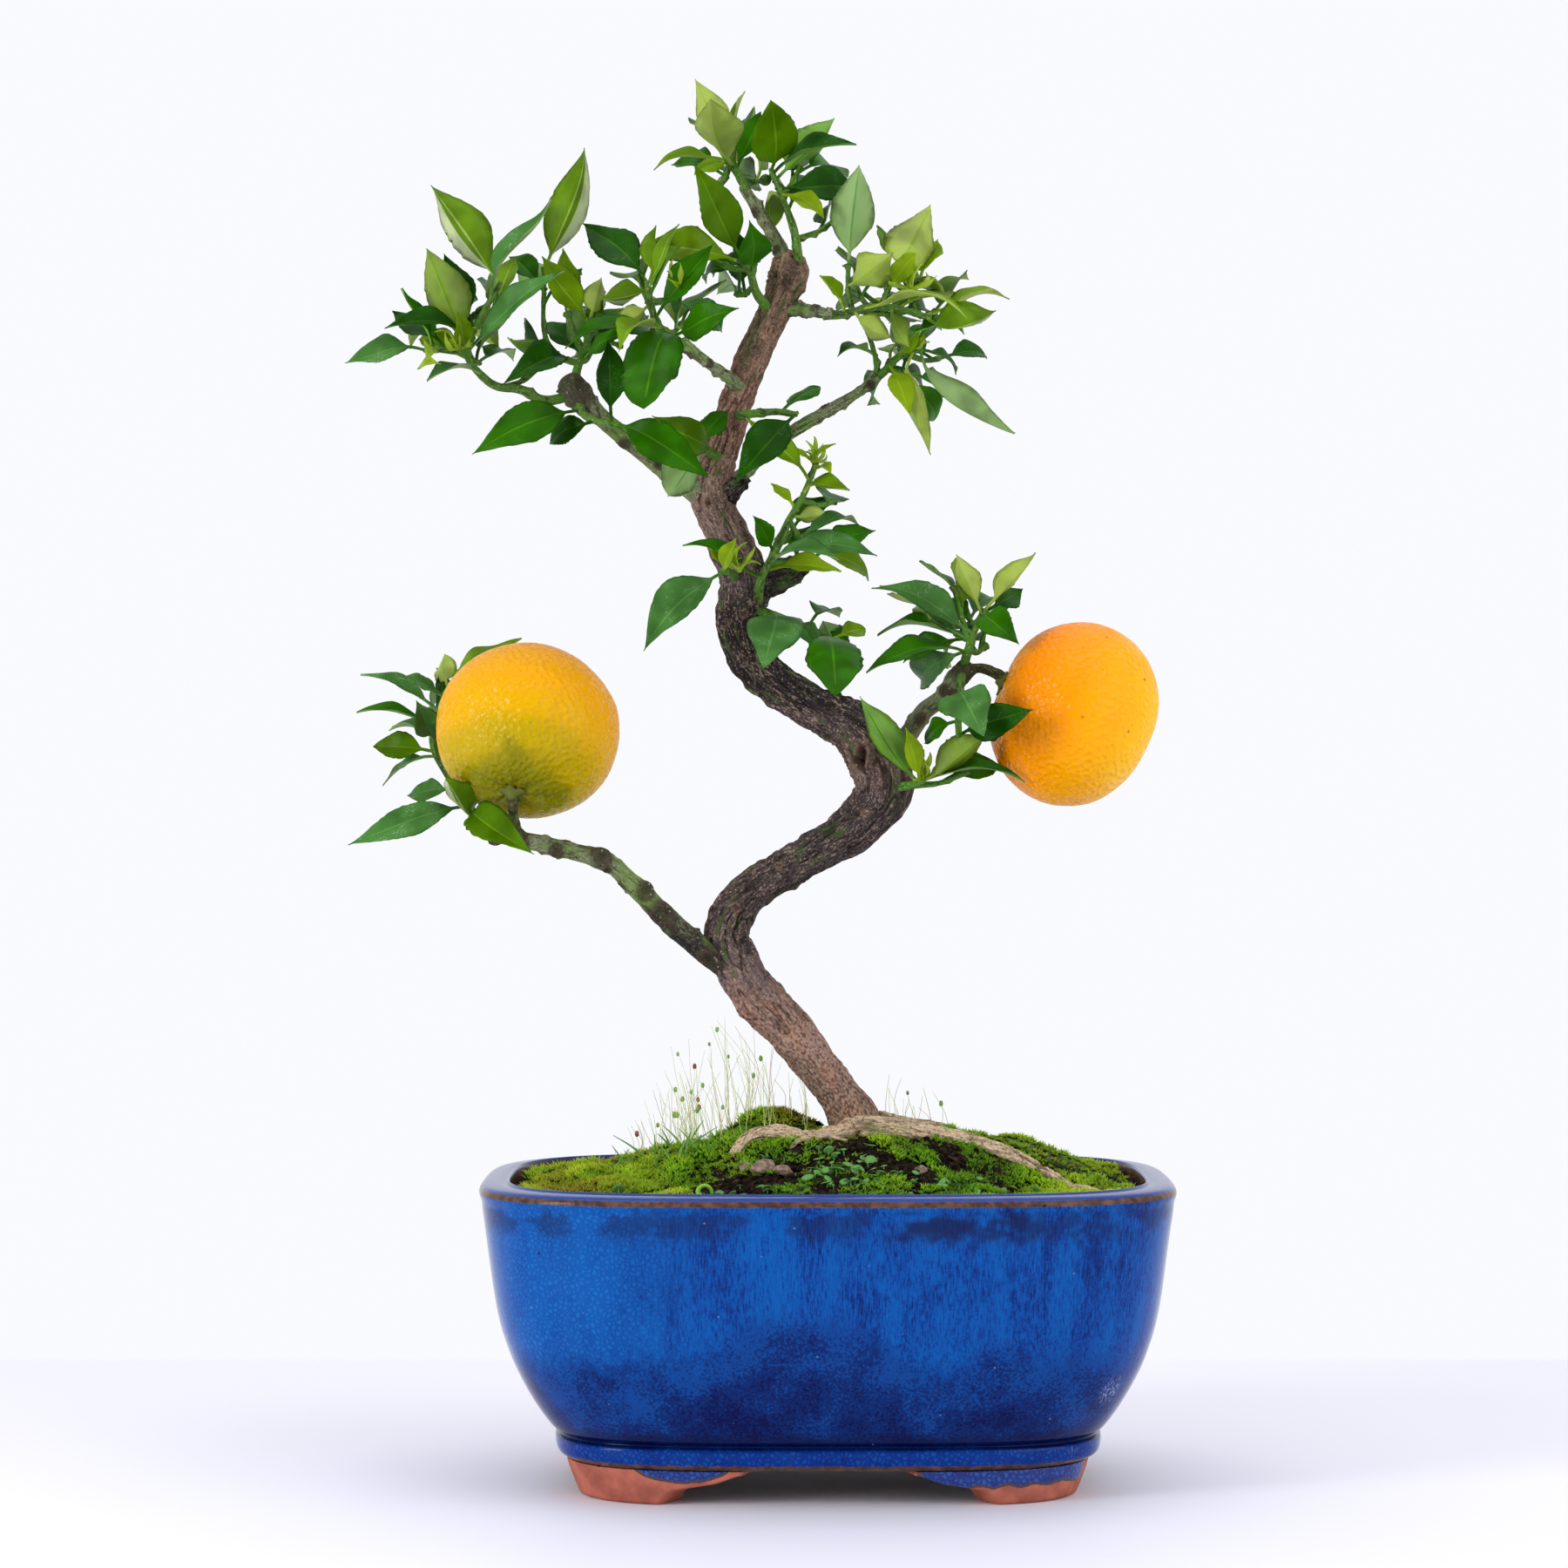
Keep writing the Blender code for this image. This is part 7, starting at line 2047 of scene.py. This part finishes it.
def studio_world():
    """A white room for the camera; for light it is dimmer on the camera's side, so gloss stays deep."""
    world = bpy.data.worlds.new("white_room")
    bpy.context.scene.world = world
    world.use_nodes = True
    tree = world.node_tree
    shader = tree.nodes["Background"]
    path = add_node(tree, "ShaderNodeLightPath")
    way = add_node(tree, "ShaderNodeSeparateXYZ", {0: add_node(tree, "ShaderNodeTexCoord").outputs["Generated"]})
    back = band(tree, way.outputs["Y"], -0.75, 0.65)
    up = band(tree, way.outputs["Z"], -0.1, 0.9)
    lit = math_node(tree, "MAXIMUM", math_node(tree, "MULTIPLY", back, 0.95), math_node(tree, "MULTIPLY", up, 0.62))
    lit = math_node(tree, "MAXIMUM", lit, 0.12)
    shown = math_node(tree, "MAXIMUM", lit, path.outputs["Is Camera Ray"])
    shader.inputs["Color"].default_value = (0.955, 0.96, 0.99, 1)
    tree.links.new(shown, shader.inputs["Strength"])


class BONSAI_OT_stage(bpy.types.Operator):
    """Set the pale table, the white room, the soft boxes and the camera"""

    bl_idname = "bonsai.stage"
    bl_label = "Stage"

    def execute(self, context):
        settings = context.scene.bonsai_stage
        middle = POT_MIDDLE
        mesh = bpy.data.meshes.new("table")
        far, near, wide = TABLE_EDGE * MM, -2.5, 3.0
        corners = [(-wide, near, 0), (wide, near, 0), (wide, far, 0), (-wide, far, 0)]
        mesh.from_pydata(corners + [(x, y, -0.02) for x, y, _ in corners], [], [
            (0, 1, 2, 3), (7, 6, 5, 4), (0, 4, 5, 1), (1, 5, 6, 2), (2, 6, 7, 3), (3, 7, 4, 0),
        ])
        table = bpy.data.objects.new("table", mesh)
        surface = new_material("pale_laminate", linear("#E7E6F1"), 0.6)[0]
        mesh.materials.append(surface)
        context.scene.collection.objects.link(table)
        aim = (middle[0], 0, 0.19)
        aimed_light("right_box", (middle[0] + 1.2, -0.85, 0.62), aim, (1.5, 1.5), settings.key)
        aimed_light("left_box", (middle[0] - 1.2, -0.85, 0.5), aim, (0.42, 0.75), settings.fill)
        aimed_light("top_box", (middle[0], -0.1, 1.5), aim, (1.4, 1.0), settings.top)
        studio_world()
        context.scene.view_settings.view_transform = "Standard"
        lens = bpy.data.cameras.new("camera")
        lens.lens, lens.sensor_width = LENS, SENSOR
        lens.clip_start, lens.clip_end = 0.05, 20.0
        camera = bpy.data.objects.new("camera", lens)
        camera.location = middle + np.array((CAMERA_SIDE, -CAMERA_DISTANCE, CAMERA_HEIGHT)) * MM
        camera.rotation_euler = (math.pi / 2, 0, 0)
        context.scene.collection.objects.link(camera)
        context.scene.camera = camera
        return {"FINISHED"}


class BONSAI_PT_panel(bpy.types.Panel):
    bl_label = "Chinotto bonsai"
    bl_idname = "BONSAI_PT_panel"
    bl_space_type = "VIEW_3D"
    bl_region_type = "UI"
    bl_category = "Bonsai"

    def draw(self, context):
        for operator in OPERATORS:
            self.layout.operator(operator.bl_idname)
        for name in SETTINGS:
            group = getattr(context.scene, name)
            for key in group.__annotations__:
                self.layout.prop(group, key)


SETTINGS = {
    "bonsai_pot": BonsaiPotSettings,
    "bonsai_bark": BonsaiBarkSettings,
    "bonsai_leaf": BonsaiLeafSettings,
    "bonsai_fruit": BonsaiFruitSettings,
    "bonsai_ground": BonsaiGroundSettings,
    "bonsai_stage": BonsaiStageSettings,
}
OPERATORS = (
    BONSAI_OT_stage, BONSAI_OT_pot, BONSAI_OT_feet, BONSAI_OT_soil, BONSAI_OT_moss, BONSAI_OT_stalks,
    BONSAI_OT_trunk, BONSAI_OT_boughs, BONSAI_OT_fruit, BONSAI_OT_crown,
)


def register():
    for cls in (*SETTINGS.values(), *OPERATORS, BONSAI_PT_panel):
        bpy.utils.register_class(cls)
    for name, group in SETTINGS.items():
        setattr(bpy.types.Scene, name, PointerProperty(type=group))


def unregister():
    for name in SETTINGS:
        delattr(bpy.types.Scene, name)
    for cls in reversed((*SETTINGS.values(), *OPERATORS, BONSAI_PT_panel)):
        bpy.utils.unregister_class(cls)


def main():
    register()
    for operator in OPERATORS:
        group, name = operator.bl_idname.split(".")
        getattr(getattr(bpy.ops, group), name)()


if __name__ == "__main__":
    main()
